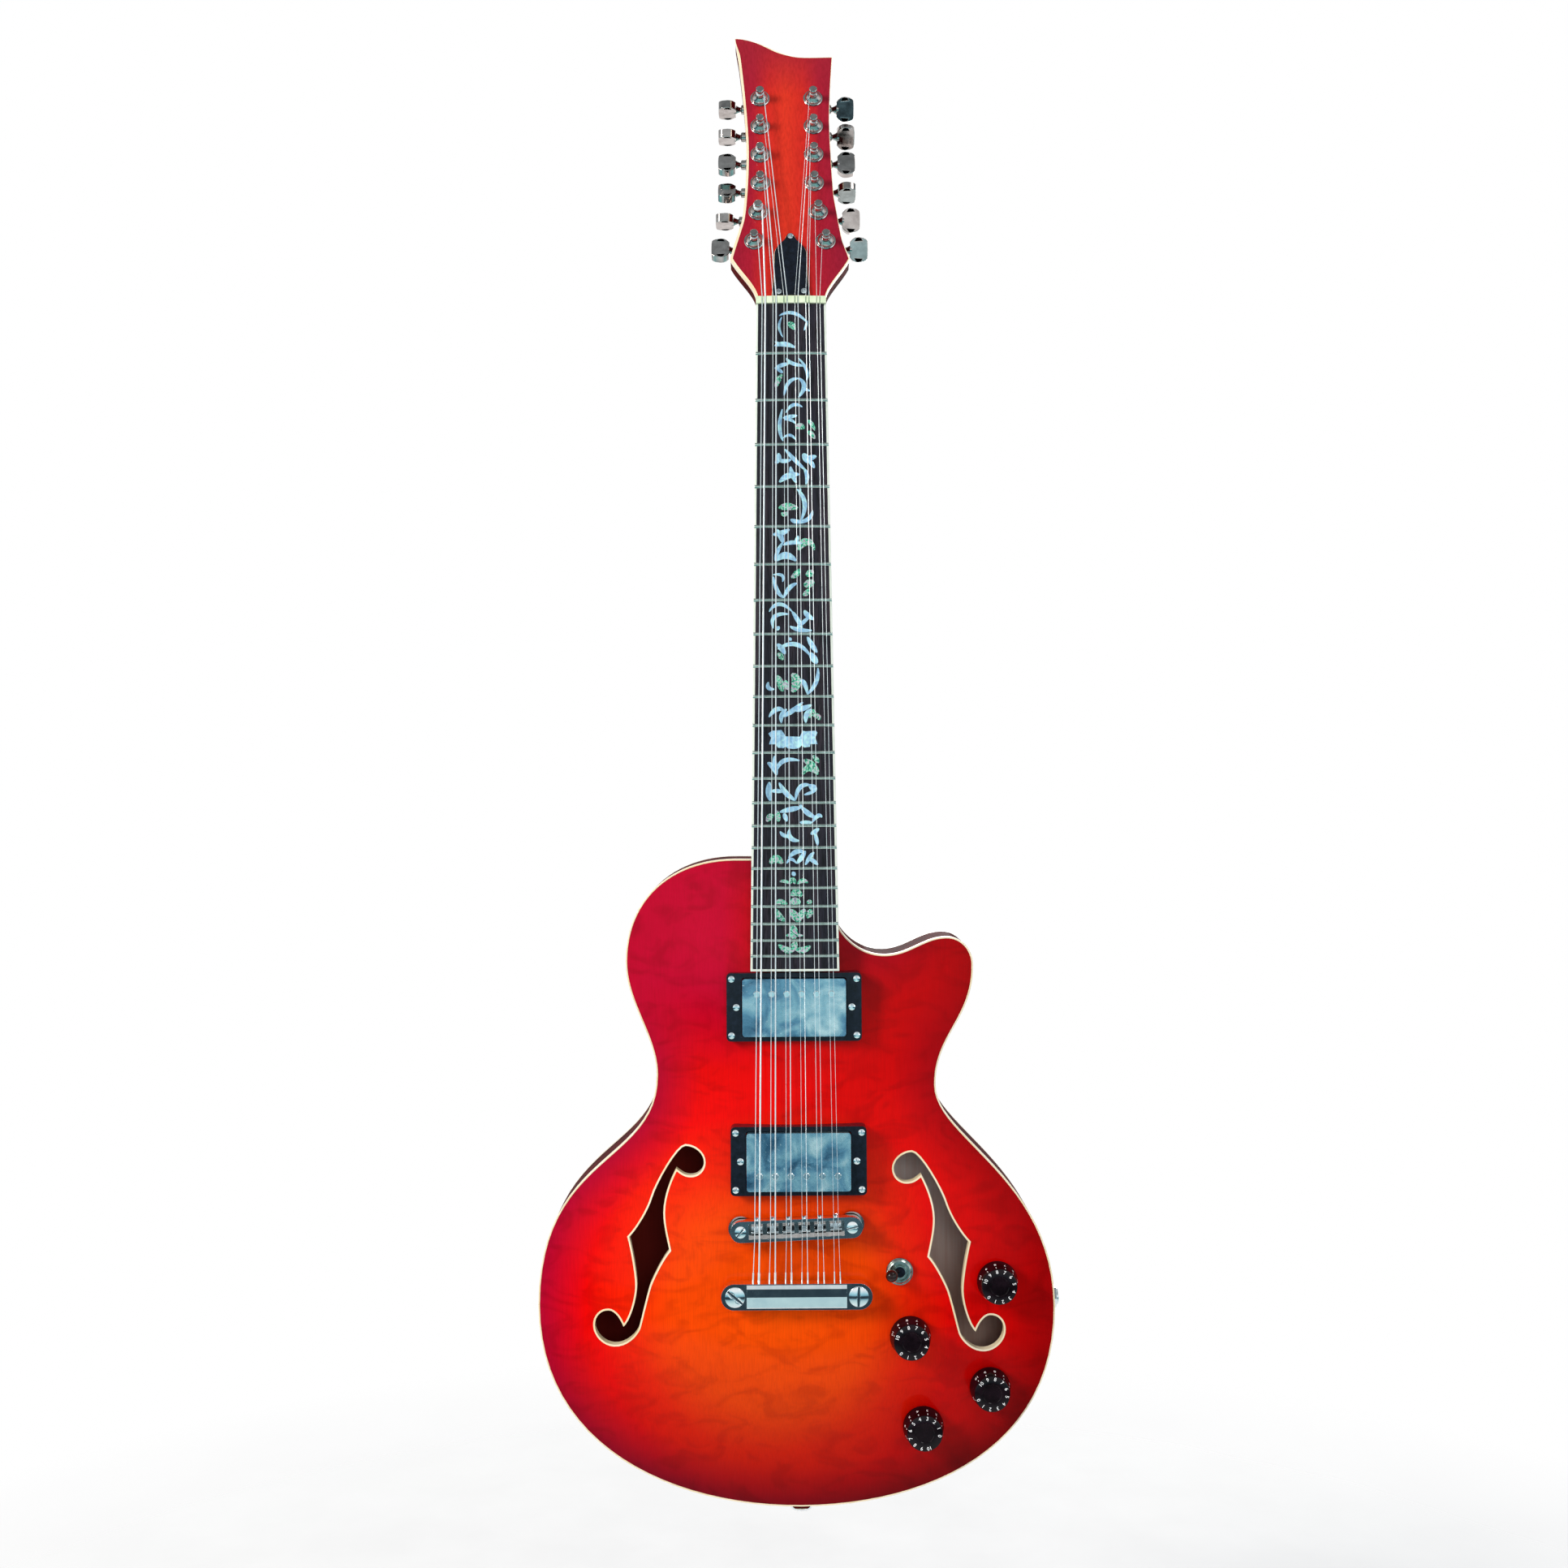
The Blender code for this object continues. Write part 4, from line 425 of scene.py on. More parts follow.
INNER_FACE = 0.0004
bm = bmesh.new()
slab(bm, [bound_loop], -BODY_DEPTH, -BODY_DEPTH + PLATE_THICKNESS, BODY)
inner_low = -BODY_DEPTH + PLATE_THICKNESS
slab(bm, [inner_loop], inner_low, inner_low + INNER_FACE, BODY, finish=1)
piece("back_plate", bm, [mahogany, bare_mahogany], stands_for=["body_back"])
EDGE_ROUNDING = 0.0004
for name, low, high in (
    ("top_binding", -PLATE_THICKNESS, 0.0),
    ("back_binding", -BODY_DEPTH, -BODY_DEPTH + PLATE_THICKNESS),
):
    bm = bmesh.new()
    slab(bm, [body_loop, bound_loop], low, high, BODY)
    piece(name + "_strip", bm, [celluloid], stands_for=[name], bevel=EDGE_ROUNDING)


# Arched top with its f-hole bindings
# The top is a plate of flamed maple pressed to an arch, with a flat lip at the edge. It is sprayed as a
# cherry burst, orange in the lower middle to crimson at the edges, under thick clear lacquer.
ARCH_HEIGHT = 0.0125
ARCH_LIP = 0.0120
ARCH_RUN = 0.0950
ARCH_BLUR_CELLS = 6
ARCH_CELL = 0.0030
ARCH_MARGIN = 0.0300
ARCH_SMOOTHINGS = 12
DISTANCE_PARTS = 12
F_BINDING = 0.0012
F_STEPS = 8
F_KNOTS = (
    ((-0.0749, 0.0514), (-0.0055, 0), (0.0065, 0)),
    ((-0.0624, 0.0410), (0, 0.0055), (0, -0.0052)),
    ((-0.0716, 0.0319), (0.0052, 0), (-0.0040, 0)),
    ((-0.0813, 0.0363), (0.0032, -0.0026), (-0.0032, -0.0055)),
    ((-0.0900, 0.0075), (0, 0.0110), (0, -0.0090)),
    ((-0.0858, -0.0172), (-0.0015, 0.0075), (-0.0042, -0.0046)),
    ((-0.0990, -0.0405), (0.0030, 0.0075), (-0.0026, -0.0085)),
    ((-0.1065, -0.0690), (0.0025, 0.0095), (-0.0022, -0.0055)),
    ((-0.1235, -0.0815), (0.0080, 0), (-0.0070, 0)),
    ((-0.1368, -0.0685), (0, -0.0070), (0, 0.0055)),
    ((-0.1272, -0.0584), (-0.0055, 0), (0.0046, 0)),
    ((-0.1171, -0.0689), (-0.0018, 0.0045), (0.0046, 0.0040)),
    ((-0.1078, -0.0410), (0, -0.0090), (0, 0.0080)),
    ((-0.1133, -0.0093), (0.0022, -0.0075), (0.0055, 0.0055)),
    ((-0.0976, 0.0170), (-0.0026, -0.0085), (0.0026, 0.0090)),
)
F_TREBLE_SHIFT = (0.0041, -0.0052)


def rim_distance(points):
    """How far each point lies inside the body outline, and 0 outside it."""
    start = np.array(body_loop)[::3]
    step = np.roll(start, -1, axis=0) - start
    reach = points[:, None] - start[None]
    share = np.clip(np.sum(reach * step, axis=2) / np.sum(step * step, axis=1), 0, 1)
    distance = np.linalg.norm(reach - share[..., None] * step, axis=2).min(axis=1)
    return np.where(inside(points, [start]), distance, 0)


def ease(share):
    """A share from 0 to 1 that starts and ends level."""
    return share * share * (3 - 2 * share)


def rim_distances(points):
    """Distances inside the rim, taken a part of the points at a time to save memory."""
    return np.concatenate([rim_distance(part) for part in np.array_split(points, DISTANCE_PARTS)])


arch_low = np.array(body_loop).min(axis=0) - ARCH_MARGIN
arch_cells = np.ceil((np.array(body_loop).max(axis=0) + ARCH_MARGIN - arch_low) / ARCH_CELL).astype(int) + 1
arch_grid = np.stack(np.meshgrid(*[np.arange(n) for n in arch_cells], indexing="ij"), axis=-1)
arch_grid = arch_grid.reshape(-1, 2) * ARCH_CELL + arch_low
share = np.clip((rim_distances(arch_grid) - ARCH_LIP) / (ARCH_RUN - ARCH_LIP), 0, 1)
rise = ease(share).reshape(arch_cells)
shifts = (-ARCH_BLUR_CELLS, 0, ARCH_BLUR_CELLS)
rise = sum(np.roll(rise, (i, j), axis=(0, 1)) for i in shifts for j in shifts) / len(shifts) ** 2
# The plate has no creases: a further blur over about 8 mm takes the blocks of the coarser sum out.
for _ in range(ARCH_SMOOTHINGS):
    for axis in (0, 1):
        rise = (np.roll(rise, 1, axis=axis) + 2 * rise + np.roll(rise, -1, axis=axis)) / 4
arch = rise * ARCH_HEIGHT


def arch_at(points):
    """Height of the arched face over the rim plane."""
    cells = (np.atleast_2d(points) - arch_low) / ARCH_CELL
    corner = np.clip(np.floor(cells).astype(int), 0, arch_cells - 2)
    s, t = (cells - corner).T
    i, j = corner.T
    near = arch[i, j] * (1 - s) + arch[i + 1, j] * s
    far = arch[i, j + 1] * (1 - s) + arch[i + 1, j + 1] * s
    return near * (1 - t) + far * t


def seat_at(u, v):
    """Height of the arched face at one place."""
    return float(arch_at([(u, v)])[0])


def f_loop(side, inset=0.0):
    """Outline of the f-hole on one side: -1 is the bass side and 1 the treble side."""
    loop = offset_loop(knot_loop(F_KNOTS, F_STEPS), inset)
    if side < 0:
        return loop
    return [(F_TREBLE_SHIFT[0] - u, F_TREBLE_SHIFT[1] + v) for u, v in loop]


# Nitro lacquer over a sprayed burst: a mirror coat over the maple's faint, shifting flame.
cherry, tree, shader = new_finish(
    "cherry_burst_nitro_lacquer",
    {"Roughness": 0.42, "Specular IOR Level": 0.03, "Coat Weight": 0.12, "Coat Roughness": 0.03},
)
spot = add_node(tree, "TexCoord").outputs["Object"]
axes = add_node(tree, "SeparateXYZ", {"Vector": spot}).outputs
inset = add_node(tree, "Attribute", attribute_name="rim_distance").outputs["Fac"]
drift = grain(tree, 7.0, {"Detail": 2.0})
# The orange heart is an oval below the bridge, about 150 mm across.
HEART_CENTRE = (-0.014, 0.0, -0.688)
HEART_SCALE = (7.2, 0.0, 6.6)
HEART_TONES = ((0.0, "FF5602"), (0.34, "FC4801"), (0.5, "F62401"), (0.64, "F40401"), (1.0, "CE0104"))
heart_shift = [-c * s for c, s in zip(HEART_CENTRE, HEART_SCALE)]
heart = add_node(tree, "Mapping", {"Vector": spot, "Location": heart_shift, "Scale": HEART_SCALE})
heart = add_node(tree, "VectorMath", {0: heart}, operation="LENGTH").outputs["Value"]
heart = add_node(tree, "Math", {0: drift, 1: 0.3, 2: heart}, operation="MULTIPLY_ADD")
heart = add_node(tree, "MapRange", {"Value": heart, "From Min": 0.15, "From Max": 1.55})
burst = add_node(tree, "ValToRGB", {"Fac": heart}, HEART_TONES)
# The crimson edge was sprayed 6 to 46 mm wide. Towards the bottom end it is darkened by painted shade.
EDGE_VEIL = ((0.0, "FFFFFF"), (0.35, "B8B8B8"), (0.75, "303030"), (1.0, "000000"))
edge = add_node(tree, "Math", {0: drift, 1: 0.012, 2: inset}, operation="MULTIPLY_ADD")
edge = add_node(tree, "MapRange", {"Value": edge, "From Min": 0.006, "From Max": 0.046})
veil = add_node(tree, "ValToRGB", {"Fac": edge}, EDGE_VEIL)
sideways = add_node(tree, "MapRange", {"Value": axes["X"], "From Min": -0.12, "From Max": 0.12})
edge_tone = add_node(tree, "ValToRGB", {"Fac": sideways}, ((0.0, "B60630"), (0.5, "AC0320"), (1.0, "B00206")))
# Painted shade: towards the bottom end the edge's crimson is mixed with a dark red.
upwards = {"Value": axes["Z"], "From Min": -0.83, "From Max": -0.72, "To Min": 0.62}
low_share = add_node(tree, "MapRange", upwards)
edge_with_painted_shade = add_node(tree, "MixRGB", {"Fac": low_share, "Color1": linear("5A0410"), "Color2": edge_tone})
edged = add_node(tree, "MixRGB", {"Fac": veil, "Color1": burst, "Color2": edge_with_painted_shade})
# The shoulder beside the neck is crimson on the bass side, and the treble side is darkened by painted shade.
shoulder = add_node(tree, "MapRange", {"Value": axes["Z"], "From Min": -0.53, "From Max": -0.47})
bass_part = add_node(tree, "MapRange", {"Value": axes["X"], "From Min": -0.02, "From Max": -0.05})
crimson_share = add_node(tree, "Math", {0: shoulder, 1: bass_part}, operation="MULTIPLY")
painted = add_node(tree, "MixRGB", {"Fac": crimson_share, "Color1": edged, "Color2": linear("C2022E")})
# Painted shade: a grey ramp that darkens the burst towards the treble side.
treble_shade_share = add_node(tree, "MapRange", {"Value": axes["X"], "From Max": 0.15})
treble_painted_shade = add_node(tree, "ValToRGB", {"Fac": treble_shade_share}, ((0.0, "FFFFFF"), (1.0, "E6E6E6")))
# Painted shade: a grey ramp darkens the bottom of the lower bout.
low_part = add_node(tree, "MapRange", {"Value": axes["Z"], "From Min": -0.70, "From Max": -0.81})
low_painted_shade = add_node(tree, "ValToRGB", {"Fac": low_part}, ((0.0, "FFFFFF"), (1.0, "BCBCBC")))
# Flame: ripples about 16 mm apart across the grain, broken up into short waves. The wood's own fibres are
# drawn 0.7 mm wide, which is coarser than they are, so that they show.
FLAME_STRENGTH = 0.35
flame_lie = {"Vector": spot, "Scale": (32.0, 32.0, 62.0), "Rotation": (0.0, 0.6, 0.0)}
waves = {"Scale": 1.0, "Detail": 2.0, "Roughness": 0.45, "Distortion": 1.6}
flame = add_node(tree, "TexNoise", {"Vector": add_node(tree, "Mapping", flame_lie), **waves})
ripples = add_node(tree, "ValToRGB", {"Fac": flame}, ((0.33, "B48A78"), (0.5, "F4EEE8"), (0.66, "FFFFFF")))
fibres = grain(tree, (1500.0, 1500.0, 60.0), {"Detail": 2.0})
streaks = add_node(tree, "ValToRGB", {"Fac": fibres}, ((0.3, "F4F0F0"), (0.6, "FFFFFF")))
for share, layer in ((1.0, treble_painted_shade), (1.0, low_painted_shade), (FLAME_STRENGTH, ripples), (1.0, streaks)):
    layers = {"Fac": share, "Color1": painted, "Color2": layer}
    painted = add_node(tree, "MixRGB", layers, blend_type="MULTIPLY")
# The lacquer has sunk a little, in swells about 17 mm across.
sink = grain(tree, 60.0, {"Detail": 2.0})
swell = add_node(tree, "Bump", {"Height": sink, "Strength": 0.04, "Distance": 0.0004})
feed(shader, {"Base Color": painted, "Coat Normal": swell})

bm = bmesh.new()
f_edges = [f_loop(side, -F_BINDING) for side in (-1, 1)]
slab(bm, [bound_loop, *f_edges], lambda p: arch_at(p) - PLATE_THICKNESS, arch_at, BODY, arch_grid)
top = piece("arched_top", bm, [cherry], stands_for=["body_top"])
inverse = BODY.inverted()
places = np.array([tuple(inverse @ v.co)[:2] for v in top.data.vertices])
depth_layer = top.data.attributes.new("rim_distance", "FLOAT", "POINT")
depth_layer.data.foreach_set("value", rim_distances(places).astype(np.float32))
F_PROUD = 0.0002
for side, label in ((-1, "bass"), (1, "treble")):
    bm = bmesh.new()
    loops = [f_loop(side, -F_BINDING), f_loop(side)]
    slab(bm, loops, lambda p: arch_at(p) - PLATE_THICKNESS, lambda p: arch_at(p) + F_PROUD, BODY)
    node = f"f_hole_binding_{label}"
    piece(f"f_hole_edge_{label}", bm, [celluloid], stands_for=[node])


# Neck, heel and headstock core
# One piece of mahogany carved to a round back, with a heel at the body and a headstock tilted back by
# fourteen degrees. A cream strip is let into the headstock's front edge.
NECK_ANGLE = 3
HEAD_ANGLE = 14
BOARD_THICKNESS = 0.0060
NUT_WIDTH = 0.0490
BOARD_END_WIDTH = 0.0602
BOARD_LENGTH = 0.46262
NECK_DEPTH_AT_NUT = 0.0150
NECK_DEPTH_AT_HEEL = 0.0180
NECK_JOINT = 0.38778
HEEL_RUN = 0.0420
TONGUE_LENGTH = 0.0700
TONGUE_BACK = 0.0143
HEAD_THICKNESS = 0.0145
NECK_FULLNESS = 2.2
HEEL_FULLNESS_GAIN = 3.6
VOLUTE_LENGTH = 0.046
VOLUTE_FULLNESS_GAIN = 7.0
VOLUTE_INSET = 0.0003
VOLUTE_START = -0.006
VOLUTE_TOP = -0.0018
VOLUTE_END_RISE = 0.0022
HEAD_VENEER = 0.0015
HEAD_EDGE_WIDTH = 0.0014
HEAD_EDGE_DEPTH = 0.0040
HEAD_EDGE_LEAST = 0.0002
HEAD_EDGE_TOP = 0.219
HEAD_FLARE_TOP = 0.045
HEAD_FLARE_SHARE = 0.3
HEAD_EDGE_FADE = 0.01
HEAD_KNOTS = (
    ((-0.0243, 0.0006), (0.0020, 0), (-0.0010, 0.0100)),
    ((-0.0426, 0.0330), (0.0060, -0.0120), (0.0010, 0.0060)),
    ((-0.0345, 0.0640), (-0.0028, -0.0110), (0.0020, 0.0110)),
    ((-0.0311, 0.1180), (-0.0002, -0.0200), (0.0002, 0.0260)),
    ((-0.0371, 0.2045), (0.0022, -0.0200), (-0.0008, 0.0060)),
    ((-0.0397, 0.2231), (0.0006, -0.0060), (0.0080, 0.0004)),
    ((-0.0140, 0.2143), (-0.0060, 0.0036), (0.0060, -0.0036)),
    ((0.0077, 0.2062), (-0.0080, 0.0008), (0.0080, -0.0006)),
    ((0.0321, 0.2062), (-0.0080, 0), (-0.0004, -0.0080)),
    ((0.0292, 0.1500), (0.0002, 0.0200), (0, -0.0160)),
    ((0.0314, 0.0850), (-0.0010, 0.0160), (0.0016, -0.0110)),
    ((0.0370, 0.0470), (-0.0016, 0.0080), (0.0016, -0.0050)),
    ((0.0418, 0.0327), (-0.0012, 0.0050), (-0.0060, -0.0120)),
    ((0.0243, 0.0006), (0.0010, 0.0100), (-0.0020, 0)),
)
NECK = basis(Vector((0, 0, 0)), NECK_ANGLE)
HEAD = basis(NECK @ Vector((0, 0.0050, -0.0055)), NECK_ANGLE + HEAD_ANGLE)


def loft(bm, rings, frame, finish=0):
    """Adds a skin over rings of points, with flat ends."""
    rows = [[bm.verts.new(frame @ Vector(point)) for point in ring] for ring in rings]
    made = [bm.faces.new(rows[0][::-1]), bm.faces.new(rows[-1])]
    for lower, upper in zip(rows, rows[1:]):
        for i in range(len(lower)):
            j = (i + 1) % len(lower)
            made.append(bm.faces.new((lower[i], lower[j], upper[j], upper[i])))
    for face in made:
        face.material_index = finish


def half_round(left, right, top, depth, fullness, steps=24):
    """Neck section: flat top and a round belly, boxier with a higher fullness."""
    power = 2 / fullness
    section = []
    for step in range(steps + 1):
        angle = math.pi * step / steps
        across = math.copysign(abs(math.cos(angle)) ** power, math.cos(angle))
        half = (right - left) / 2
        section.append(((left + right) / 2 + half * across, top - depth * math.sin(angle) ** power))
    return section


def board_half_width(distance):
    return (NUT_WIDTH + (BOARD_END_WIDTH - NUT_WIDTH) * distance / BOARD_LENGTH) / 2


bm = bmesh.new()
stations = [(-0.004, NECK_DEPTH_AT_NUT, NECK_FULLNESS)]
heel_start = NECK_JOINT - HEEL_RUN
for distance in np.linspace(0.02, heel_start, 8):
    share = distance / heel_start
    depth = NECK_DEPTH_AT_NUT + (NECK_DEPTH_AT_HEEL - NECK_DEPTH_AT_NUT) * share
    stations.append((distance, depth, NECK_FULLNESS))
slope = math.radians(NECK_ANGLE)
for distance in np.linspace(heel_start + 0.004, NECK_JOINT + TONGUE_LENGTH, 24):
    rise_share = ease(min((distance - heel_start) / HEEL_RUN, 1))
    back_depth = (TONGUE_BACK + distance * math.sin(slope)) / math.cos(slope) - BOARD_THICKNESS
    depth = NECK_DEPTH_AT_HEEL + (back_depth - NECK_DEPTH_AT_HEEL) * rise_share
    stations.append((distance, depth, NECK_FULLNESS + HEEL_FULLNESS_GAIN * rise_share))
rings = []
for distance, depth, fullness in stations:
    half = board_half_width(max(distance, 0))
    section = half_round(-half, half, -BOARD_THICKNESS, depth, fullness)
    rings.append([(u, -distance, n) for u, n in section])
loft(bm, rings, NECK)

# The carved back runs on under the headstock as a volute that dies into the flat.
head_loop = knot_loop(HEAD_KNOTS, 12)
head_points = np.array(head_loop)
rings = []
for v in np.linspace(VOLUTE_START, VOLUTE_LENGTH, 16):
    share = max(v, 0) / VOLUTE_LENGTH
    near = head_points[head_points[:, 1] < 0.07]
    sides = []
    for side in (-1, 1):
        edge = near[near[:, 0] * side > 0]
        edge = edge[np.argsort(edge[:, 1])]
        sides.append(float(np.interp(max(v, 0.0008), edge[:, 1], edge[:, 0])) - side * VOLUTE_INSET)
    depth = NECK_DEPTH_AT_NUT * (1 - share) + (HEAD_THICKNESS - VOLUTE_END_RISE) * share
    fullness = NECK_FULLNESS + VOLUTE_FULLNESS_GAIN * ease(share)
    section = half_round(*sides, VOLUTE_TOP, depth, fullness)
    rings.append([(u, v, n) for u, n in section])
loft(bm, rings, HEAD)
slab(bm, [offset_loop(head_loop, 0.0001)], -HEAD_THICKNESS, -HEAD_VENEER, HEAD)
piece("neck_and_head_core", bm, [mahogany], stands_for=["neck"], bevel=0.0006)

# The strip was scraped thin on the treble side and across the top, and shows widest on the bass side.
bass_share = np.clip(-head_points[:, 0] / 0.02, 0, 1)
bass_share *= np.clip((HEAD_EDGE_TOP - head_points[:, 1]) / HEAD_EDGE_FADE, 0, 1)
flare_share = np.clip((HEAD_FLARE_TOP - head_points[:, 1]) / HEAD_EDGE_FADE, 0, 1)
edge_widths = HEAD_EDGE_LEAST + HEAD_EDGE_WIDTH * np.maximum(bass_share, HEAD_FLARE_SHARE * flare_share)
edge_inner = offset_loop(head_loop, edge_widths)
bm = bmesh.new()
slab(bm, [offset_loop(head_loop, -0.0001), edge_inner], -HEAD_EDGE_DEPTH, 0.0, HEAD)
piece("head_edge_strip", bm, [celluloid], bevel=0.0002)


# Headstock face with the tuners' nuts and washers
# A maple veneer in the same cherry burst covers the headstock, red-orange down the middle and crimson
# at the sides. Each post comes through a chromed washer and a domed nut.
veneer, tree, shader = new_finish(
    "cherry_burst_head_veneer",
    {"Roughness": 0.42, "Specular IOR Level": 0.05, "Coat Weight": 0.2, "Coat Roughness": 0.04},
)
VENEER_TONES = ((0.0, "D83420"), (0.35, "CC2820"), (0.65, "A81A30"), (1.0, "941830"))
axes = add_node(tree, "SeparateXYZ", {"Vector": add_node(tree, "TexCoord").outputs["Object"]}).outputs
drift = grain(tree, 18.0, {"Detail": 2.0})
from_middle = add_node(tree, "Math", {0: axes["X"], 1: 0.003}, operation="ADD")
from_middle = add_node(tree, "Math", {0: from_middle}, operation="ABSOLUTE")
from_middle = add_node(tree, "Math", {0: drift, 1: 0.008, 2: from_middle}, operation="MULTIPLY_ADD")
from_middle = add_node(tree, "MapRange", {"Value": from_middle, "From Min": 0.004, "From Max": 0.042})
burst = add_node(tree, "ValToRGB", {"Fac": from_middle}, VENEER_TONES)
tip = add_node(tree, "MapRange", {"Value": axes["Z"], "From Min": 0.17, "From Max": 0.215})
topped = add_node(tree, "MixRGB", {"Fac": tip, "Color1": burst, "Color2": linear("9E2030")})
fibres = grain(tree, (700.0, 700.0, 30.0), {"Detail": 4.0})
streaks = add_node(tree, "ValToRGB", {"Fac": fibres}, ((0.3, "EAE4E4"), (0.6, "FFFFFF")))
layers = {"Fac": 1.0, "Color1": topped, "Color2": streaks}
feed(shader, {"Base Color": add_node(tree, "MixRGB", layers, blend_type="MULTIPLY")})

# Chromed steel and zinc: a bright mirror with the faintest haze of fingermarks, about 8 mm across.
chrome = clouded_finish(
    "polished_chrome_plate",
    {"Metallic": 1.0},
    ((0.3, "DCE4E8"), (0.7, "F2F5F6")),
    scale=120.0,
    noise={"Detail": 3.0, "Roughness": 0.6},
    gloss=(0.03, 0.13),
)

# The tuners' zinc castings are plated thinner and have gone greyer with handling, in marks of about 7 mm.
worn_chrome = clouded_finish(
    "handled_chrome_on_zinc",
    {"Metallic": 1.0},
    ((0.3, "A89F9B"), (0.7, "CEC5C1")),
    scale=150.0,
    noise={"Detail": 3.0, "Roughness": 0.6},
    gloss=(0.04, 0.18),
)


def lathe(bm, profile, frame, steps=40, closed=False, finish=0):
    """Adds a turned shape from (radius, height) points that run down its outer side."""
    turns = [2 * math.pi * i / steps for i in range(steps)]
    rings = []
    for radius, height in profile:
        if radius == 0:
            rings.append([bm.verts.new(frame @ Vector((0, 0, height)))] * steps)
        else:
            ring = [(radius * math.cos(t), radius * math.sin(t), height) for t in turns]
            rings.append([bm.verts.new(frame @ Vector(point)) for point in ring])
    pairs = list(zip(rings, rings[1:])) + ([(rings[-1], rings[0])] if closed else [])
    for upper, lower in pairs:
        for i in range(steps):
            j = (i + 1) % steps
            corners = list(dict.fromkeys((upper[i], lower[i], lower[j], upper[j])))
            if len(corners) > 2:
                bm.faces.new(corners).material_index = finish


def at(frame, u=0.0, v=0.0, n=0.0):
    return frame @ Matrix.Translation((u, v, n))


def turn(frame, degrees, axis="Z"):
    return frame @ Matrix.Rotation(math.radians(degrees), 4, axis)


POST_PITCH = 0.0244
POST_START = 0.0475
POSTS_PER_SIDE = 6
# Each row: its name and side, how far it stands from the middle, how much its first posts flare out, and
# the turn at which each key was left.
POST_ROWS = (
    ("bass", -1, 0.0213, (0.0045, 0.0015), (10, 78, 24, 12, 75, 82)),
    ("treble", 1, 0.0175, (0.00765, 0.00255), (28, 20, 86, 8, 62, 35)),
)
posts = []
for label, side, row, flare, key_turns in POST_ROWS:
    for index in range(POSTS_PER_SIDE):
        u = side * (row + (flare[index] if index < len(flare) else 0))
        posts.append((f"{label}_{index + 1}", side, u, POST_START + POST_PITCH * index, key_turns[index]))

bm = bmesh.new()
slab(bm, [edge_inner], -HEAD_VENEER, 0.0, HEAD)
piece("head_face", bm, [veneer], stands_for=["headstock_face"])
bm = bmesh.new()
NUT_PROFILE = (
    (0.0030, 0.0042), (0.0036, 0.0042), (0.0045, 0.0032), (0.0056, 0.0020), (0.0058, 0.0010),
    (0.0066, 0.0010), (0.0071, 0.0006), (0.0071, 0.0000), (0.0030, 0.0000),
)
for _, _, u, v, _ in posts:
    lathe(bm, NUT_PROFILE, at(HEAD, u, v), closed=True)
piece("tuner_nuts_and_washers", bm, [worn_chrome])


# Tuners
# Sealed tuners in chromed zinc, screwed to the back of the headstock. Each key turns a worm shaft, and
# its post turns with it. The posts have a waist for the string; their string hole is not drawn.
POST_RADIUS = 0.0029
POST_TIP = 0.0112
WRAP_HEIGHT = 0.0066
KEY_OFFSET = 0.0055
KEY_DEPTH = 0.0198
KEY_REACH = 0.0245
GEAR_RADIUS = 0.0034
GEAR_HALF = 0.0025
BUTTON_LENGTH = 0.0132
BUTTON_THICKNESS = 0.0062
BUTTON_ROUNDING = 0.0021
HOUSING_SIZE = (0.0150, 0.0160)
HOUSING_CORNER = 0.0040
HOUSING_HEIGHT = 0.0100
HOUSING_SHIFT = 0.0010
HOUSING_SCREW_HEAD = (0.0013, 0.0005)
HOUSING_SCREW_PLACE = (0.0045, 0.0058)
BUTTON_KNOTS = (
    ((-0.0050, 0.0), (0.0010, 0), (-0.0012, 0.0004)),
    ((-0.0090, 0.0062), (-0.0004, -0.0030), (0.0004, 0.0024)),
    ((-0.0064, 0.0128), (-0.0022, -0.0014), (0.0012, 0.0004)),
    ((0.0064, 0.0128), (-0.0012, 0.0004), (0.0022, -0.0014)),
    ((0.0090, 0.0062), (-0.0004, 0.0024), (0.0004, -0.0030)),
    ((0.0050, 0.0), (0.0012, 0.0004), (-0.0010, 0)),
)
POST_PROFILE = (
    (0, POST_TIP), (0.0024, POST_TIP), (POST_RADIUS, POST_TIP - 0.0005), (POST_RADIUS, 0.0088),
    (0.0024, 0.0080), (0.0022, 0.0066), (0.0024, 0.0052), (POST_RADIUS, 0.0044),
    (POST_RADIUS, -KEY_DEPTH + GEAR_HALF), (GEAR_RADIUS, -KEY_DEPTH + GEAR_HALF),
    (GEAR_RADIUS, -KEY_DEPTH - GEAR_HALF), (0, -KEY_DEPTH - GEAR_HALF),
)
STEM_TOP = KEY_REACH - BUTTON_LENGTH / 2
STEM_PROFILE = (
    (0, STEM_TOP + 0.0030), (0.0034, STEM_TOP + 0.0016), (0.0036, STEM_TOP + 0.0002),
    (0.0026, STEM_TOP - 0.0012), (0.0019, STEM_TOP - 0.0028), (0.0018, -GEAR_RADIUS), (0, -GEAR_RADIUS),
)
COLLAR_PROFILE = (
    (0.0021, 0.0142), (0.0030, 0.0142), (0.0036, 0.0136), (0.0036, 0.0110), (0.0042, 0.0104),
    (0.0042, 0.0080), (0.0021, 0.0080),
)


